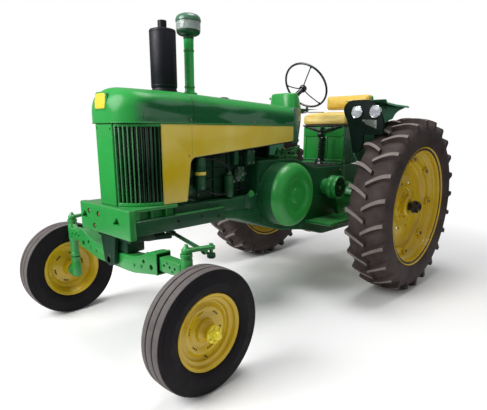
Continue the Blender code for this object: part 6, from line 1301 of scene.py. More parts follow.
def main_case():
    """Crankcase, gear case and final drive: one casting with covers, ribs, bosses and bolts."""
    profile = tenths(-17500, 7750, -14900, 7520, -10000, 5850, -6000, 5250, -3500, 4450, 2400, 4450, 3300, 5600,
        3300, 9500, 2300, 10600, -5000, 10600, -8000, 11500, -12500, 11500, -12500, 9000, -17500, 9000)
    radii = [0.01, 0.06, 0.1, 0.1, 0.05, 0.05, 0.06, 0.05, 0.06, 0.05, 0.05, 0.02, 0.02, 0.008]
    body = cut_plate(profile, radii, 5, -0.235, 0.235, 0.014, "X", 4)
    shapes = [body]
    seam = rounded(tenths(-12460, 7450, -12260, 7450, -12260, 11460, -12460, 11460), 0.004, 2, True)
    shapes.append(slab(seam, -0.2385, 0.2385, 0.004, "X"))
    for y, low, high in ((-0.705, 0.556, 1.1), (-0.1, 0.46, 1.052)):
        flange = rounded([(y - 0.012, low), (y + 0.012, low), (y + 0.012, high), (y - 0.012, high)], 0.004, 2,
            True)
        shapes.append(slab(flange, -0.242, 0.242, 0.004, "X"))
    cover = rounded(tenths(-6600, 6000, -1600, 5600, -1600, 8000, -6600, 8200), 0.04, 5, True)
    shapes += both([slab(cover, 0.234, 0.244, 0.004, "X")])
    shapes.append(block((-0.15, -0.64, 1.05), (0.15, -0.18, 1.0598), 0.006))
    shapes += both([cut_plate(tenths(-12000, 6800, -11000, 6400, -7600, 5750, -7400, 6000, -8000, 7200,
        -11900, 7600), 0.02, 4, 0.232, 0.24, 0.004, "X")])
    foot = rounded(tenths(-17400, 7800, -12600, 7600, -12600, 8000, -17400, 8150), 0.012, 3, True)
    shapes += both([slab(foot, 0.233, 0.241, 0.004, "X")])
    # The case and its bolts take the darker case green, the side plates and boss the darker casting green:
    # painted shade on the case's sides.
    fitted("case_casting", shapes, "case_green", replaces="main_case", sharp=35)
    rail = rounded(tenths(-17400, 8200, -12620, 8080, -12620, 8920, -17400, 8935), 0.012, 3, True)
    fitted("case_side_plate", both([slab(rail, 0.233, 0.2375, 0.003, "X")]), "dark_green_casting")
    boss_line = tenths(0, 0, 600, 0, 600, 80, 550, 120, 300, 140, 240, 160, 0, 160)
    boss = turned(boss_line, (0.235, -1.344, 0.863), LEFT, 48)
    hexagon = bolts([(0.25, -1.344, 0.916)], LEFT, 0.02, 0.016, 0.004)
    fitted("case_boss", [boss, hexagon], ["dark_green_casting", "green_casting"])
    brakes, faces, centre = [], [], []
    drum = tenths(680, 0, 680, 550, 860, 620, 980, 660, 1015, 720, 1015, 1000, 990, 1040, 990, 1200, 1015, 1240,
        1015, 1500, 985, 1600, 920, 1640, 880, 1600, 840, 1540, 680, 1520, 0, 1520)
    brakes.append(turned(drum, BRAKE, LEFT, 72))
    faces.append(turned(tenths(0, 1525, 400, 1525, 780, 1535, 800, 1560, 660, 1590, 300, 1560, 0, 1560), BRAKE,
        LEFT, 60))
    centre.append(bolts([(0.39, -0.345, 0.885)], LEFT, 0.014, 0.008, 0.002))
    centre.append(bolts(ring_places((0.3905, -0.345, 0.885), 0.052, 5, 0, 0.4), LEFT, 0.006, 0.005, 0.001))
    fitted("brake_drums", both(brakes), "green_casting", sharp=40)
    # The brake faces take the near-black green: painted shade.
    fitted("brake_faces", both(faces), "engine_green")
    fitted("brake_bolts", both(centre), "bar_green")
    heads = [bolts([(0.2415, -0.705, z) for z in (0.6, 0.72, 0.84, 0.96, 1.05)], LEFT, 0.0085, 0.006)]
    heads.append(bolts([(0.2385, -1.236, z) for z in (0.79, 0.93, 1.04, 1.125)], LEFT, 0.0085, 0.006))
    heads.append(bolts([(0.2435, y, z) for y, z in ((-0.63, 0.64), (-0.63, 0.785), (-0.41, 0.605),
        (-0.41, 0.785), (-0.19, 0.595), (-0.19, 0.77))], LEFT, 0.0075, 0.006))
    heads.append(bolts([(0.2405, y, z) for y, z in ((-1.7, 0.797), (-1.6, 0.794), (-1.5, 0.788), (-1.4, 0.785),
        (-1.3, 0.781))], LEFT, 0.008, 0.006))
    fitted("case_bolts", both(heads), "case_green")
    stub = [rod(0.069, (-0.236, -1.01, 0.887), (-0.265, -1.01, 0.887), 40, 0.003),
        rod(0.0215, (-0.26, -1.01, 0.887), (-0.37, -1.01, 0.887), 24)]
    fitted("pulley_seat", stub, "green_casting")


def linkage():
    """Small casting with levers and rods on the case ahead of the driver's place."""
    base = block((0.02, -0.9, 1.14), (0.15, -0.64, 1.172), 0.012)
    tower = [turned(tenths(0, 11650, 260, 11650, 240, 11900, 170, 12000, 150, 12140, 80, 12200,
        0, 12210), (0.1, y, 0), segments=28) for y in (-0.86, -0.795)]
    bar = rod(0.014, (0.03, -0.72, 1.188), (0.172, -0.72, 1.188), 24)
    lever = cut_plate(tenths(-7450, 11760, -7000, 11700, -6400, 12150, -6200, 12460, -6400, 12520, -6720, 12260,
        -7350, 12020), 0.01, 3, 0.14, 0.15, 0.003, "X")
    link = [rod(0.0055, (0.146, -0.64, 1.236), (0.12, -0.86, 1.205), 14), rod(0.0055, (0.08, -0.86, 1.18),
        (0.18, -0.98, 1.168), 14), rod(0.009, (0.16, -0.82, 1.155), (0.16, -0.82, 1.205), 16)]
    fitted("linkage_casting", [base, bar, lever] + tower + link, "green_casting", sharp=36)
    heads = [bolts([(0.1, -0.86, 1.219), (0.1, -0.795, 1.219), (0.16, -0.82, 1.204)], UP, 0.0085, 0.008, 0.002),
        bolts([(0.171, -0.72, 1.188)], LEFT, 0.0095, 0.008, 0.002), bolts([(0.149, -0.636, 1.236)], LEFT, 0.007,
        0.006, 0.001)]
    fitted("linkage_nuts", heads, "bar_green")


def flywheel_cover():
    """Flywheel cover: rolled rim, raised ring, shallow dish and a centre cap held by studs."""
    line = tenths(0, 4080, 400, 4080, 560, 4070, 600, 4030, 610, 3975, 750, 3950, 1000, 3945, 1180, 3975,
        1360, 4070, 1500, 4112, 1660, 4115, 1860, 4085, 2060, 4010, 2220, 3895, 2340, 3740, 2415, 3560,
        2445, 3420, 2430, 3380, 0, 3370)
    back = tenths(0, 3380, 2400, 3380, 2418, 3340, 2418, 2620, 2390, 2580, 2390, 2500, 2418, 2460, 2418, 2400,
        2380, 2392, 0, 2392)
    back = [(radius, out + 0.022 if out > 0.33 else out) for radius, out in back]
    cover, base = (moved(lathe(rounded(profile, 0.003, 3), 144), aimed(LEFT, (start, -1.01, 0.887)))
        for profile, start in ((line, 0.024), (back, 0.0)))
    # The shell takes a somewhat darker green and the housing the darker case green: painted shade.
    fitted("flywheel_shell", cover, "green_gloss", replaces="flywheel_cover", sharp=48)
    fitted("flywheel_housing", base, "case_green", sharp=40)
    heads = [bolts(ring_places((0.43, -1.01, 0.887), 0.046, 3, 0, 0.5), LEFT, 0.0065, 0.005, 0.0015),
        bolts([(0.431, -1.01, 0.887)], LEFT, 0.01, 0.0045, 0.0)]
    fitted("flywheel_bolts", heads, "green_casting")


def belt_pulley():
    """Belt pulley: crowned face, rolled rims, webbed disc with round openings and hub."""
    line = tenths(230, 2710, 540, 2710, 560, 2760, 560, 2850, 1460, 2850, 1490, 2790, 1550, 2715, 1595, 2730,
        1610, 3000, 1636, 3635, 1610, 4300, 1595, 4540, 1550, 4558, 1490, 4500, 1480, 3020, 560, 2980,
        540, 4400, 500, 4545, 240, 4545, 230, 4500)
    body = lathe(rounded(line, 0.002, 2, closed=True), 96, closed=True)
    holes = [rod(0.024, (0.1 * cos(a), 0.1 * sin(a), 0.26), (0.1 * cos(a), 0.1 * sin(a), 0.32), 28, 0)
        for a in np.arange(5) * tau / 5]
    body = moved(drilled(body, holes), aimed(RIGHT, CRANK))
    nut = turned(tenths(0, 4320, 180, 4320, 225, 4360, 225, 4440, 160, 4500, 0, 4500), CRANK, RIGHT, 32)
    fitted("pulley_wheel", [body, nut], ["green_casting", "steel"], "belt_pulley", "belt_pulley", 38)


def axle_housing(word, side):
    """Tapering cast housing with a bolted flange, a bearing ring at its end and ribs along it."""
    line = tenths(0, 2392, 1620, 2392, 1648, 2430, 1648, 2720, 1600, 2786, 1420, 2800, 1280, 2900, 1235, 3100,
        800, 5350, 780, 5450, 850, 5490, 860, 5530, 860, 5780, 830, 5845, 720, 5895, 400, 5898, 400, 5500,
        395, 3950, 0, 3950)
    body = turned(line, (0, 0, 0.736), LEFT, 72)
    ribs = []
    for number in range(6):
        rib = slab(tenths(2780, 1180, 5000, 800, 5300, 790, 5300, 880, 5000, 940, 2780, 1480), -0.005, 0.005,
            0.002)
        ribs.append(spun(rib, tau * (number + 0.5) / 6, (0, 0, REAR_AXLE.z), "X"))
    heads = bolts(ring_places((0.278, 0, 0.736), 0.152, 12, 0, 0.26), LEFT, 0.0095, 0.008)
    small = bolts(ring_places((0.584, 0, 0.736), 0.0765, 6, 0, 0.1), LEFT, 0.0055, 0.0045, 0.001)
    shapes = [body] + ribs + [heads, small]
    fitted(f"housing_{word}", shapes, ["green_casting"] * 7 + ["bar_green"] * 2,
        replaces=f"axle_housing_{word}", sharp=38, side=side)


# Stacks

def stacks():
    """Muffler with its rolled seams, and the air intake with glass bowl and domed lid."""
    line = tenths(0, 20235, 240, 20238, 275, 20210, 278, 19760, 320, 19725, 700, 19718, 790, 19690, 826, 19620,
        828, 16320, 790, 16250, 700, 16222, 300, 16218, 278, 16150, 278, 12290, 0, 12290)
    body = turned(line, MUFFLER, segments=96)
    mouth = turned(tenths(225, 19800, 225, 20236, 255, 20239, 278, 20225, 278, 19800), MUFFLER, segments=48,
        closed=True)
    hems = [turned([(0.0826, z - 0.004), (0.083, z - 0.003), (0.083, z + 0.003), (0.0826, z + 0.004)], MUFFLER,
        segments=96, closed=True) for z in (1.955, 1.64)]
    seam = block((-0.003, -1.9832, 1.634), (0.003, -1.9822, 1.962), 0.0003)
    turn = aimed(UP, MUFFLER) @ Matrix.Rotation(radians(150), 4, "Z") @ Matrix.Translation((0, 1.9, 0))
    collar = turned(tenths(282, 15960, 800, 15965, 815, 16000, 790, 16180, 760, 16240, 282, 16250), MUFFLER,
        segments=64, closed=True)
    fitted("muffler_body", [body, mouth] + hems + [moved(seam, turn)], "stack_black", replaces="muffler",
        sharp=38)
    fitted("muffler_collar", collar, "stack_black")
    stem = tenths(0, 19702, 328, 19700, 328, 19000, 318, 18970, 318, 16300, 330, 16260, 330, 12540, 0, 12540)
    # The stem takes a brighter copy of the green: painted light.
    fitted("intake_stem", turned(stem, INTAKE, segments=64), "stem_green", replaces="intake_stack", sharp=38)
    pan = tenths(0, 19940, 740, 19948, 778, 19925, 778, 19880, 745, 19810, 680, 19740, 590, 19695, 480, 19670,
        380, 19660, 345, 19630, 340, 19460, 329, 19455, 0, 19455)
    # The pan takes the darker green: painted shade.
    fitted("precleaner_pan", turned(rounded(pan, 0.002, 2), INTAKE, segments=72), "dark_green_casting",
        sharp=38)
    clamp = [turned([(0.0322, z), (0.035, z + 0.002), (0.035, z + 0.012), (0.0322, z + 0.014)], INTAKE,
        segments=48, closed=True) for z in (1.64, 1.868)]
    fitted("intake_clamps", clamp, "green_casting")
    bowl = tenths(740, 19962, 795, 19985, 798, 20050, 798, 20430, 785, 20492, 740, 20498, 740, 20440,
        745, 20050, 720, 20010)
    fitted("precleaner_glass", turned(bowl, INTAKE, segments=72, closed=True), "bowl_glass",
        replaces="precleaner_bowl", sharp=40)
    inner = [turned(tenths(0, 19970, 220, 19970, 240, 20000, 240, 20460, 200, 20490, 0, 20490), INTAKE,
        segments=40)]
    vane = block((0.028, -0.001, 2.0), (0.07, 0.001, 2.046), 0.0004)
    inner += [spun(vane, tau * number / 16, INTAKE) for number in range(16)]
    # The core's funnel takes the darker case green: painted shade inside the bowl.
    fitted("precleaner_core", inner, ["case_green"] + ["dial_white"] * 16)
    lid = tenths(0, 21005, 200, 21000, 450, 20970, 640, 20900, 765, 20790, 820, 20680, 835, 20560, 825, 20490,
        790, 20478, 0, 20478)
    # The lid takes the greyed green: painted shade and painted reflection.
    fitted("precleaner_cover", turned(rounded(lid, 0.003, 2), INTAKE, segments=72), "green_shade",
        replaces="precleaner_lid", sharp=40)
    nut = [bolts([(0, -1.69, 2.094)], UP, 0.009, 0.0066, 0.0)]
    fitted("precleaner_nut", nut, "bar_green")
    cap = tenths(0, 16010, 180, 16008, 270, 15985, 340, 15925, 355, 15860, 355, 15815, 0, 15815)
    ribs = [rod(0.0022, (0.0352 * cos(a), -1.37 + 0.0352 * sin(a), 1.583), (0.0352 * cos(a),
        -1.37 + 0.0352 * sin(a), 1.593), 6, 0.0005) for a in np.arange(18) * tau / 18]
    fitted("filler_cap", [turned(cap, (0, -1.37, 0), segments=48)] + ribs, "black_enamel", replaces="fuel_cap")
    low = tenths(0, 15830, 300, 15828, 400, 15790, 430, 15720, 430, 15665, 0, 15665)
    fitted("water_cap", turned(low, (0, -1.2, 0), segments=48), "black_enamel")
    tank = cut_plate(tenths(-2410, 13850, 2410, 13850, 2410, 14320, 1580, 15050, -1580, 15050, -2410, 14320),
        0.03, 5, -1.6, -0.87, 0.02, "Y", 4)
    legs = [block((-0.11, -1.52, 1.254), (0.11, -1.49, 1.39), 0.004), block((-0.11, -1.0, 1.154),
        (0.11, -0.97, 1.39), 0.004)]
    straps = [block((-0.243, y - 0.018, 1.3835), (0.243, y + 0.018, 1.43), 0.002) for y in (-1.45, -1.02)]
    # The tank takes the near-black green: painted shade under the hood.
    fitted("tank_body", [tank] + legs + straps, "engine_green", replaces="fuel_tank")


# Driver's place

AIR_FRAMES = 20
MOST_SWELL = 0.006
WHEEL_WAY = Vector((0, sin(STEER_TILT), cos(STEER_TILT)))
WHEEL_HUB = Vector((0, -0.36, 1.754))


def steering():
    """Column with its clamp, and the thin steering wheel: ring, three dished spokes and hub cap."""
    foot = WHEEL_HUB - WHEEL_WAY * 0.239
    top = WHEEL_HUB - WHEEL_WAY * 0.078
    shapes = [rod(0.0205, foot, top, 36, 0.002), turned(tenths(200, 0, 290, 20, 300, 100, 240, 160, 200, 180),
        foot + WHEEL_WAY * 0.03, WHEEL_WAY, 36, True)]
    fitted("column_tube", shapes, "black_enamel", replaces="steering_column")
    turn = aimed(WHEEL_WAY, WHEEL_HUB)
    angles = np.linspace(0, tau, 160, endpoint=False)
    ring = np.stack([0.205 * np.cos(angles), 0.205 * np.sin(angles), 0 * angles], -1)
    grip = 1 + 0.05 * np.cos(angles * 40)
    shapes = [sweep(ring, 0.009, closed=True, scale=grip)]
    for angle in np.radians((4, 124, 244)):
        way = np.array((cos(angle), sin(angle), 0))
        line = [way * 0.016 + (0, 0, -0.05), way * 0.07 + (0, 0, -0.044), way * 0.15 + (0, 0, -0.018),
            way * 0.204]
        shapes.append(sweep(spline(line, 20), 0.0048))
        shapes.append(rod(0.0085, way * 0.186 + (0, 0, -0.002), way * 0.2045, 14, 0.003))
    shapes.append(turned(tenths(0, -715, 240, -710, 300, -660, 325, -500, 310, -360, 240, -305, 130, -280,
        0, -274), (0, 0, 0), segments=48))
    shapes.append(rod(0.0108, (0, 0, -0.07), (0, 0, -0.159), 20, 0.001))
    fitted("steering_ring", [moved(shape, turn) for shape in shapes], "black_enamel", "steering_wheel",
        "steering_wheel", 40)


def rounded_box(low, high, radius, count):
    """A box whose faces' points are pushed out from an inner box by one radius; count quads a side."""
    low, high = np.array(low, float), np.array(high, float)
    half, centre = (high - low) / 2, (high + low) / 2
    line = np.sin(np.linspace(-pi / 2, pi / 2, count + 1) * 0.9) / sin(pi / 2 * 0.9)
    a, b = np.meshgrid(line, line, indexing="ij")
    sheets = []
    for axis in range(3):
        for side in (-1, 1):
            unit = np.zeros(a.shape + (3,))
            unit[..., axis] = side
            unit[..., (axis + 1) % 3] = a
            unit[..., (axis + 2) % 3] = b
            point = unit * half
            inner = np.clip(point, -(half - radius), half - radius)
            way = point - inner
            way /= np.maximum(np.linalg.norm(way, axis=-1), TINY)[..., None]
            sheets.append(grid(centre + inner + way * radius))
    return joined(sheets)


def remeshed(made, size):
    """Replaces a piece's mesh by an even voxel mesh of it."""
    change = made.modifiers.new("even", "REMESH")
    change.mode, change.voxel_size, change.use_smooth_shade = "VOXEL", size, True
    fresh = bpy.data.meshes.new_from_object(evaluated(made))
    made.modifiers.clear()
    made.data = fresh


def inflated(made, pinned, most):
    """Lets air pressure swell a cover held at its pinned points, and keeps each move under a limit."""
    rest = corners(made.data)
    group = made.vertex_groups.new(name="held")
    group.add(np.flatnonzero(pinned(rest)).tolist(), 1.0, "REPLACE")
    cloth = made.modifiers.new("air", "CLOTH")
    settings = cloth.settings
    settings.quality = 6
    settings.mass = 0.4
    settings.tension_stiffness = 25
    settings.compression_stiffness = 25
    settings.shear_stiffness = 15
    settings.bending_stiffness = 1.5
    settings.use_pressure = True
    settings.uniform_pressure_force = 4.0
    settings.effector_weights.gravity = 0.0
    settings.vertex_group_mass = "held"
    cloth.collision_settings.use_collision = False
    scene = bpy.context.scene
    cloth.point_cache.frame_start, cloth.point_cache.frame_end = 1, AIR_FRAMES
    for number in range(1, AIR_FRAMES + 1):
        scene.frame_set(number)
    move = corners(evaluated(made).to_mesh()) - rest
    length = np.maximum(np.linalg.norm(move, axis=1), TINY)[:, None]
    move *= np.minimum(length, most) / length
    made.modifiers.clear()
    put_corners(made.data, rest + move)
    scene.frame_set(1)


def piping(made, axis, level, radius, count=220):
    """A cord round a cushion where a plane across one axis meets its cover."""
    others = [number for number in range(3) if number != axis]
    points = corners(made.data)
    tree = BVHTree.FromPolygons(points.tolist(), [list(face.vertices) for face in made.data.polygons])
    centre = (points.min(0) + points.max(0)) / 2
    path = []
    for angle in np.linspace(0, tau, count, endpoint=False):
        way = np.zeros(3)
        way[others[0]], way[others[1]] = cos(angle), sin(angle)
        start = centre + way * 0.6
        start[axis] = level
        found = tree.ray_cast(Vector(start), Vector(-way))[0]
        path.append(np.array(found) - way * radius * 0.2)
    return sweep(np.array(path), radius, closed=True)


def cushion(name, low, high, node, face, crown, cover="seat_vinyl"):
    """A stuffed vinyl cushion: crowned face, sides drawn in between the corners, piping at both edges."""
    low, high = np.array(low), np.array(high)
    made = piece(name, shifted(rounded_box(low, high, 0.036, 26), (0, REAR_AXLE.y, 0)), cover, replaces=node,
        sharp=180)
    low[1] += REAR_AXLE.y
    high[1] += REAR_AXLE.y
    remeshed(made, 0.006)
    points = corners(made.data)
    middle, half = (low + high) / 2, (high - low) / 2
    unit = (points - middle) / half
    flat = [number for number in range(3) if number != face[0]]
    u, v = unit[:, flat[0]], unit[:, flat[1]]
    dome = np.clip(1 - u ** 2, 0, 1) * np.clip(1 - v ** 2, 0, 1)
    outer = np.clip(unit[:, face[0]] * face[1], 0, 1)
    edge = 1 - np.sqrt(np.clip(dome, 0, 1))
    points[:, face[0]] -= face[1] * outer * edge * crown
    points[:, flat[0]] -= np.sign(u) * np.abs(u) ** 3 * np.clip(1 - v ** 2, 0, 1) * 0.006
    points[:, flat[1]] -= np.sign(v) * np.abs(v) ** 3 * np.clip(1 - u ** 2, 0, 1) * 0.005
    put_corners(made.data, points)
    back = low[face[0]] if face[1] > 0 else high[face[0]]
    inflated(made, lambda rest: np.abs(rest[:, face[0]] - back) < 0.01, MOST_SWELL)
    put_corners(made.data, np.clip(corners(made.data), low - MOST_SWELL, high + MOST_SWELL))
    made.data.shade_smooth()
    made.data.materials.clear()
    made.data.materials.append(FINISHES[cover])
    levels = [middle[face[0]] + face[1] * half[face[0]] * share for share in (0.42, -0.72)]
    cords = [piping(made, face[0], level, 0.0038) for level in levels]
    piece(name + "_piping", cords, "seat_piping")
    return made


def seat():
    """Seat: two cushions, back shell, pan, braces, post and the box that carries them."""
    cushion("cushion_base", (-0.24, -0.06, 1.42), (0.24, 0.35, 1.54), "seat_cushion", (2, 1), 0.03)
    cushion("cushion_back", (-0.24, 0.335, 1.578), (0.24, 0.442, 1.714), "seat_back", (1, -1), 0.014,
        "back_vinyl")
    pan = block((-0.228, -0.048, 1.406), (0.228, 0.455, 1.4192), 0.005)
    strap = block((-0.03, 0.446, 1.41), (0.03, 0.4585, 1.646), 0.004)
    shell = block((-0.236, 0.4455, 1.582), (0.236, 0.457, 1.71), 0.005, "Y", 0.03)
    lip = [(-0.234, -0.052, 1.416), (0.234, -0.052, 1.416)]
    fitted("seat_pan", [pan, strap, rod(0.0065, lip[0], lip[1], 16)], "black_enamel", replaces="seat_frame")
    fitted("seat_back_shell", shell, "green_sheet")
    braces = []
    for side in (1, -1):
        braces.append(cut_plate([(side * 0.21, 1.4065), (side * 0.02, 1.35), (side * 0.02, 1.376),
            (side * 0.13, 1.4065)], 0.004, 2, -0.072, -0.05, 0.003, "Y"))
    braces.append(rod(0.026, (0, -0.074, 1.085), (0, -0.074, 1.3), 32, 0.004))
    braces.append(rod(0.014, (0, -0.074, 1.295), (0, -0.074, 1.406), 24, 0.002))
    braces.append(rod(0.031, (0, -0.074, 1.29), (0, -0.074, 1.306), 32, 0.003))
    fitted("seat_spring_post", braces, "black_enamel")
    fitted("seat_post_stripe", block((-0.006, -0.102, 1.09), (0.006, -0.0985, 1.285), 0.001), "bar_green")
    box = block((-0.2235, -0.04, 1.0635), (0.2235, 0.3195, 1.405), 0.008)
    upper = block((-0.2248, -0.0498, 1.312), (0.2248, 0.318, 1.404), 0.004)
    frames = [block((-0.2248, -0.0495, 1.064), (-0.196, -0.036, 1.314), 0.003), block((0.196, -0.0495, 1.064),
        (0.2248, -0.036, 1.314), 0.003), block((-0.224, -0.0495, 1.064), (0.224, -0.036, 1.095), 0.003),
        block((-0.05, -0.049, 1.064), (0.05, -0.036, 1.314), 0.003)]
    sides = both([cut_plate(tenths(-440, 10680, 3120, 10680, 3120, 14000, -440, 14000), 0.012, 4, 0.2225,
        0.2262, 0.0012, "X")])
    # The box takes a somewhat darker green and its sides the greyed green: painted shade, and painted
    # reflection on the sides.
    fitted("seat_box", [box, upper] + frames, "green_gloss", replaces="seat_support", sharp=35)
    fitted("seat_box_sides", sides, "green_shade")
    heads = [bolts([(x, -0.0505, z) for x in (-0.205, 0.205) for z in (1.33, 1.4)], FRONT, 0.0065, 0.004),
        bolts([(0.226, y, z) for y in (-0.02, 0.29) for z in (1.092, 1.376)], LEFT, 0.0065, 0.004)]
    fitted("seat_bolts", heads, "bar_green")


def driver_controls():
    """Mat and rails over the case, gear lever with its boot, and the throttle with its rod."""
    mat = block((-0.226, -0.485, 1.0608), (0.226, -0.066, 1.0665), 0.002)
    ribs = [block((-0.22, y - 0.003, 1.0655), (0.22, y + 0.003, 1.0685), 0.001)
        for y in np.arange(-0.47, -0.08, 0.02)]
    fitted("deck_mat", [mat] + ribs, "mat_rubber")
    rails = [block((-0.205, -0.066, 1.094), (0.238, -0.052, 1.104), 0.003), block((-0.205, -0.092, 1.068),
        (0.24, -0.076, 1.078), 0.003), rod(0.0045, (0.232, -0.085, 0.905), (0.232, -0.085, 1.1), 12, 0.001),
        rod(0.0045, (0.262, -0.06, 0.9), (0.248, -0.06, 1.14), 12, 0.001), pipe([(0.12, -0.12, 1.02),
        (0.24, -0.11, 1.018), (0.258, -0.09, 0.99), (0.262, -0.07, 0.93)], 0.0045)]
    fitted("deck_rails", rails, "bar_green")
    lever = [rod(0.0105, (0.05, -0.18, 1.066), (0.05, -0.18, 1.318), 20, 0.002, 0.0085), turned(tenths(0, -200,
        120, -180, 205, -60, 218, 20, 180, 140, 80, 210, 0, 220), (0.05, -0.18, 1.33), segments=28),
        turned(tenths(105, 460, 200, 400, 240, 300, 320, 220, 360, 100, 460, 40, 480, 0), (0.05, -0.18, 1.07),
        segments=32)]
    fitted("shift_lever", lever, "black_enamel", replaces="gear_lever", sharp=45)
    throttle = [pipe([(-0.06, -0.655, 1.5), (-0.04, -0.54, 1.52), (-0.01, -0.4, 1.52), (0.0, -0.335, 1.53),
        (0.0, -0.33, 1.556)], 0.0045, 30, 12), turned(tenths(0, -120, 90, -90, 120, 0, 90, 90, 0, 120),
        (0.0, -0.33, 1.566), segments=20)]
    throttle.append(pipe([(0.0, -0.333, 1.532), (0.0, -0.28, 1.53), (0.0, -0.16, 1.535), (0.0, -0.057, 1.538)],
        0.0035, 24, 10))
    fitted("throttle_lever", throttle, "black_enamel")


def fender(word, side):
    """Flat-topped fender: flat top sheet with a rolled lip along its outer edge and beads, inner wall with its
    foot.
    """
    top = []
    edge = np.array(tenths(-4500, 8145, -3800, 7775, -1800, 6895, 2000, 6045, 5080, 5785))
    for y in np.linspace(-0.45, 0.508, 60):
        out = np.interp(y, edge[:, 0], edge[:, 1])
        rows = []
        for x in np.concatenate([np.linspace(0.46, out - 0.022, 16), np.linspace(out - 0.018, out, 9)]):
            lip = 0.0195 * (1 - sqrt(max(1 - ((x - out + 0.018) / 0.018) ** 2, 0))) if x > out - 0.018 else 0.0
            rows.append((x, y, 1.5985 - lip))
        top.append(rows)
    sheet = skin(np.array(top)[::-1], 0.003)
    outline = rounded(tenths(-4500, 15980, 5070, 15980, 2790, 15360, 1990, 14750, 940, 14440, 475, 12000,
        750, 8620, -750, 8620, -4500, 11920), [0.002, 0.004, 0.08, 0.06, 0.04, 0.05, 0.008, 0.008, 0.03], 6,
        True)
    wall = slab(outline, 0.5605, 0.5645, 0.0012, "X")
    lines = [[(0.5625, 0.505, 1.597), (0.5625, 0.279, 1.537), (0.5625, 0.199, 1.476), (0.5625, 0.096, 1.44),
        (0.5625, 0.055, 1.2), (0.5625, 0.072, 0.875)], [(0.5625, -0.078, 0.87), (0.5625, -0.25, 1.012),
        (0.5625, -0.446, 1.186)]]
    hems = [sweep(spline(line, 50), 0.0042) for line in lines]
    foot = block((0.545, -0.08, 0.845), (0.59, 0.08, 0.864), 0.004)
    heads = bolts([(0.5645, y, z) for y, z in ((-0.05, 0.885), (0.05, 0.885), (-0.42, 1.56), (0.06, 1.56),
        (-0.18, 1.56))], LEFT, 0.0075, 0.005)
    shapes = [sheet, wall] + hems + [heads]
    # The fender sheet takes a paler, greyed green: painted reflection of the pale surroundings.
    fitted(f"fender_sheet_{word}", shapes, "fender_green", replaces=f"fender_{word}", sharp=35, side=side)
    fitted(f"fender_foot_{word}", foot, "green_casting", side=side)


def light_panel(word, side):
    """Black front of the fender with two lamps: chrome ring, bowl reflector, bulb and ribbed lens."""
    outline = tenths(5630, 11910, 6110, 11950, 6475, 12420, 6495, 13370, 8145, 13370, 8145, 14380, 7710, 15280,
        7090, 15865, 6700, 16005, 5060, 16012, 4605, 15580, 4605, 15110, 5130, 14110)
    radii = [0.012, 0.016, 0.03, 0.012, 0.012, 0.06, 0.08, 0.06, 0.05, 0.045, 0.03, 0.04, 0.1]
    shape = rounded(outline, radii, 6, True)
    plate = slab(shape, -0.4695, -0.452, 0.006, "Y", 4)
    edge = inset(anticlockwise(shape), 0.004)
    rim = sweep([(x, -0.469, z) for x, z in edge], 0.0035, closed=True)
    shapes = [plate, rim]
    rings, bowls, lenses, bulbs = [], [], [], []
    for x, z in ((0.584, 1.51), (0.738, 1.51)):
        place = (x, -0.469, z)
        rings.append(turned(tenths(440, -20, 480, 0, 488, 60, 475, 125, 455, 150, 432, 140, 432, 100), place,
            FRONT, 64, True))
        bowls.append(turned(tenths(0, -10, 100, -8, 260, 16, 400, 60, 434, 115, 434, 85, 400, 30, 260, -15,
            0, -35), place, FRONT, 64))
        dome = [(radius, 0.0128 + 0.0062 * (1 - (radius / 0.0434) ** 2))
            for radius in np.linspace(0.0434, 0, 12)]
        back = [(radius, 0.0112 + 0.0056 * (1 - (radius / 0.0434) ** 2))
            for radius in np.linspace(0, 0.0434, 12)]
        lenses.append(turned(dome + back[1:], place, FRONT, 64, False))
        bulbs.append(turned(tenths(0, 105, 40, 98, 58, 70, 52, 30, 52, -10, 0, -10), place, FRONT, 24))
    fitted(f"lamp_plate_{word}", shapes, "fender_black", replaces=f"light_panel_{word}", sharp=35, side=side)
    fitted(f"lamp_rings_{word}", rings, "chrome", sharp=40, side=side)
    fitted(f"lamp_bowls_{word}", bowls, "reflector", sharp=40, side=side)
    fitted(f"lamp_bulbs_{word}", bulbs, "lens_glass", side=side)
    fitted(f"lamp_lenses_{word}", lenses, "lens_glass", sharp=40, side=side)
    tag = cut_plate(tenths(6280, 14520, 6640, 14160, 7570, 13800, 7520, 14460), 0.005, 3, -0.4722, -0.469,
        0.001, "Y")
    heads = bolts([(0.64, -0.4718, 1.446), (0.744, -0.4718, 1.44), (0.747, -0.4718, 1.393)], FRONT, 0.004,
        0.003, 0.0006)
    fitted(f"lamp_tag_{word}", [tag, heads], ["grey_plate", "steel"], side=side)


def platforms():
    """Foot platforms with rolled edges, brackets and raised tread buttons."""
    for word, side in SIDES:
        plate = block((0.2392, -0.64, 0.601), (0.5, -0.2, 0.612), 0.003)
        edges = [block((0.49, -0.64, 0.596), (0.5, -0.2, 0.619), 0.003), block((0.2392, -0.64, 0.596),
            (0.5, -0.63, 0.619), 0.003), block((0.2392, -0.21, 0.596), (0.5, -0.2, 0.619), 0.003)]
        buttons = [turned([(0, 0.0032), (0.005, 0.003), (0.0075, 0.0)], (x, y, 0.6118), segments=8)
            for x in np.arange(0.262, 0.48, 0.034) for y in np.arange(-0.612, -0.22, 0.034)]
        shapes = [plate] + edges + buttons
        fitted(f"step_{word}", shapes, "green_casting", replaces=f"platform_{word}", sharp=35, side=side)


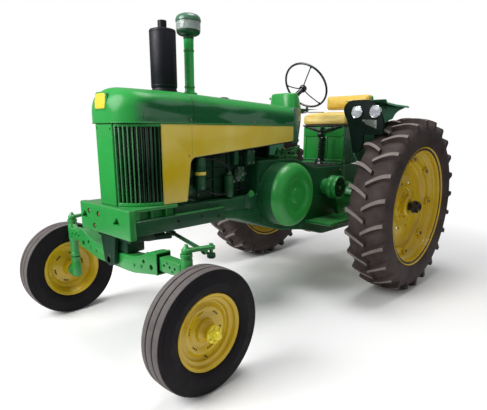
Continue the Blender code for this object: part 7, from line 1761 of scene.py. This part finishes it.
def drawbar():
    """Swinging drawbar with its pin hole and wear plates, and the covered shaft outlet above it."""
    body = cut_plate(tenths(-350, -2500, 350, -2500, 350, 7000, -350, 7000), 0.012, 4, 0.4132, 0.4408, 0.004)
    body = drilled(body, [rod(0.014, (0, 0.665, 0.4), (0, 0.665, 0.46), 24, 0)])
    wear = turned(tenths(142, 0, 260, 0, 270, 20, 260, 40, 142, 40), (0, 0.665, 0.44), segments=32, closed=True)
    fitted("drawbar_bar", [body, wear], "dark_iron", replaces="drawbar")
    cover = [turned(tenths(0, 0, 750, 0, 780, 40, 780, 120, 600, 180, 440, 200, 440, 520, 380, 580,
        0, 580), (0, 0.328, 0.72), BACK, 48), cut_plate(tenths(-2000, 6000, 2000, 6000, 2000, 9200,
        -2000, 9200), 0.05, 5, 0.325, 0.338, 0.004, "Y")]
    heads = [bolts([(x, 0.3378, z) for x in (-0.18, -0.06, 0.06, 0.18) for z in (0.622, 0.898)], BACK, 0.009,
        0.007), bolts(ring_places((0, 0.3395, 0.72), 0.066, 6, 1), BACK, 0.007, 0.005)]
    fitted("rear_cover", cover, "green_casting")
    fitted("rear_cover_bolts", heads, "bar_green")


front_frame()
front_beam()
centre_arm()
hood()
nose()
grille()
cowl()
engine()
oil_filter()
main_case()
linkage()
flywheel_cover()
belt_pulley()
stacks()
steering()
seat()
driver_controls()
platforms()
drawbar()
for word, side in SIDES:
    axle_extension(word, side)
    knuckle(word, side)
    tie_rod(word, side)
    side_panel(word, side)
    axle_housing(word, side)
    fender(word, side)
    light_panel(word, side)


# Camera, floor and light

def aim_camera():
    """The photo's camera: azimuth 43.94 and elevation 13.77 degrees with a slight roll."""
    azimuth, elevation, roll = radians(43.9367), radians(13.7695), radians(0.1238)
    right = Vector((cos(azimuth), sin(azimuth), 0))
    back = Vector((sin(azimuth) * cos(elevation), -cos(azimuth) * cos(elevation), sin(elevation)))
    up = back.cross(right)
    right, up = cos(roll) * right + sin(roll) * up, cos(roll) * up - sin(roll) * right
    turn = Matrix((right, up, back)).transposed().to_4x4()
    data = bpy.data.cameras.new("camera")
    data.sensor_width, data.lens = 36.0, 31.641
    data.shift_x, data.shift_y = 0.00932, 0.06544
    data.clip_start, data.clip_end = 0.05, 100.0
    camera = bpy.data.objects.new("camera", data)
    bpy.context.scene.collection.objects.link(camera)
    camera.matrix_world = Matrix.Translation((2.351, -2.701, 1.3551)) @ turn
    bpy.context.scene.camera = camera


def lay_floor():
    """A wide pale floor that fades to plain white toward the horizon."""
    mesh = bpy.data.meshes.new("floor")
    half = 60.0
    mesh.from_pydata([(-half, -half, 0), (half, -half, 0), (half, half, 0), (-half, half, 0)], [],
        [(0, 1, 2, 3)])
    made = bpy.data.materials.new("floor")
    made.use_nodes = True
    maker = Nodes(made.node_tree)
    shader = made.node_tree.nodes["Principled BSDF"]
    end = made.node_tree.nodes["Material Output"]
    maker.feed((0.9, 0.9, 0.9), shader.inputs["Base Color"])
    maker.feed(0.75, shader.inputs["Roughness"])
    vector = maker.add("ShaderNodeTexCoord").outputs["Object"]
    distance = maker.add("ShaderNodeVectorMath", vector, operation="LENGTH").outputs["Value"]
    far = maker.ramp(distance, 2.2, 4.2)
    light = maker.add("ShaderNodeEmission")
    maker.feed((1.0, 1.0, 1.0), light.inputs["Color"])
    seen = maker.add("ShaderNodeLightPath").outputs["Is Camera Ray"]
    maker.feed(maker.math("MULTIPLY", seen, 1.0), light.inputs["Strength"])
    blend = maker.add("ShaderNodeMixShader")
    maker.feed(far, blend.inputs[0])
    made.node_tree.links.new(shader.outputs[0], blend.inputs[1])
    made.node_tree.links.new(light.outputs[0], blend.inputs[2])
    made.node_tree.links.new(blend.outputs[0], end.inputs["Surface"])
    mesh.materials.append(made)
    floor = bpy.data.objects.new("floor", mesh)
    bpy.context.scene.collection.objects.link(floor)


def light_scene():
    """White surroundings for the camera and its reflections, and three soft lamps."""
    world = bpy.data.worlds.new("world")
    world.use_nodes = True
    bpy.context.scene.world = world
    maker = Nodes(world.node_tree)
    ground = world.node_tree.nodes["Background"]
    path = maker.add("ShaderNodeLightPath").outputs
    seen = maker.math("MAXIMUM", path["Is Camera Ray"], path["Is Transmission Ray"])
    maker.feed((1.0, 1.0, 1.0), ground.inputs["Color"])
    maker.feed(maker.ramp(seen, 0.0, 1.0, 0.36, 1.0), ground.inputs["Strength"])
    for name, place, size, power in (("key", (-1.6, -6.2, 4.6), 5.0, 620.0),
            ("fill", (5.5, -1.0, 2.2), 3.0, 14.0), ("top", (0.6, 0.4, 6.5), 3.0, 200.0)):
        data = bpy.data.lights.new(name, "AREA")
        data.shape, data.size, data.energy = "DISK", size, power
        lamp = bpy.data.objects.new(name, data)
        bpy.context.scene.collection.objects.link(lamp)
        lamp.matrix_world = aimed(Vector(place) - Vector((0, 0, 0.8)), place)


aim_camera()
lay_floor()
light_scene()
bpy.context.scene.view_settings.view_transform = "Standard"
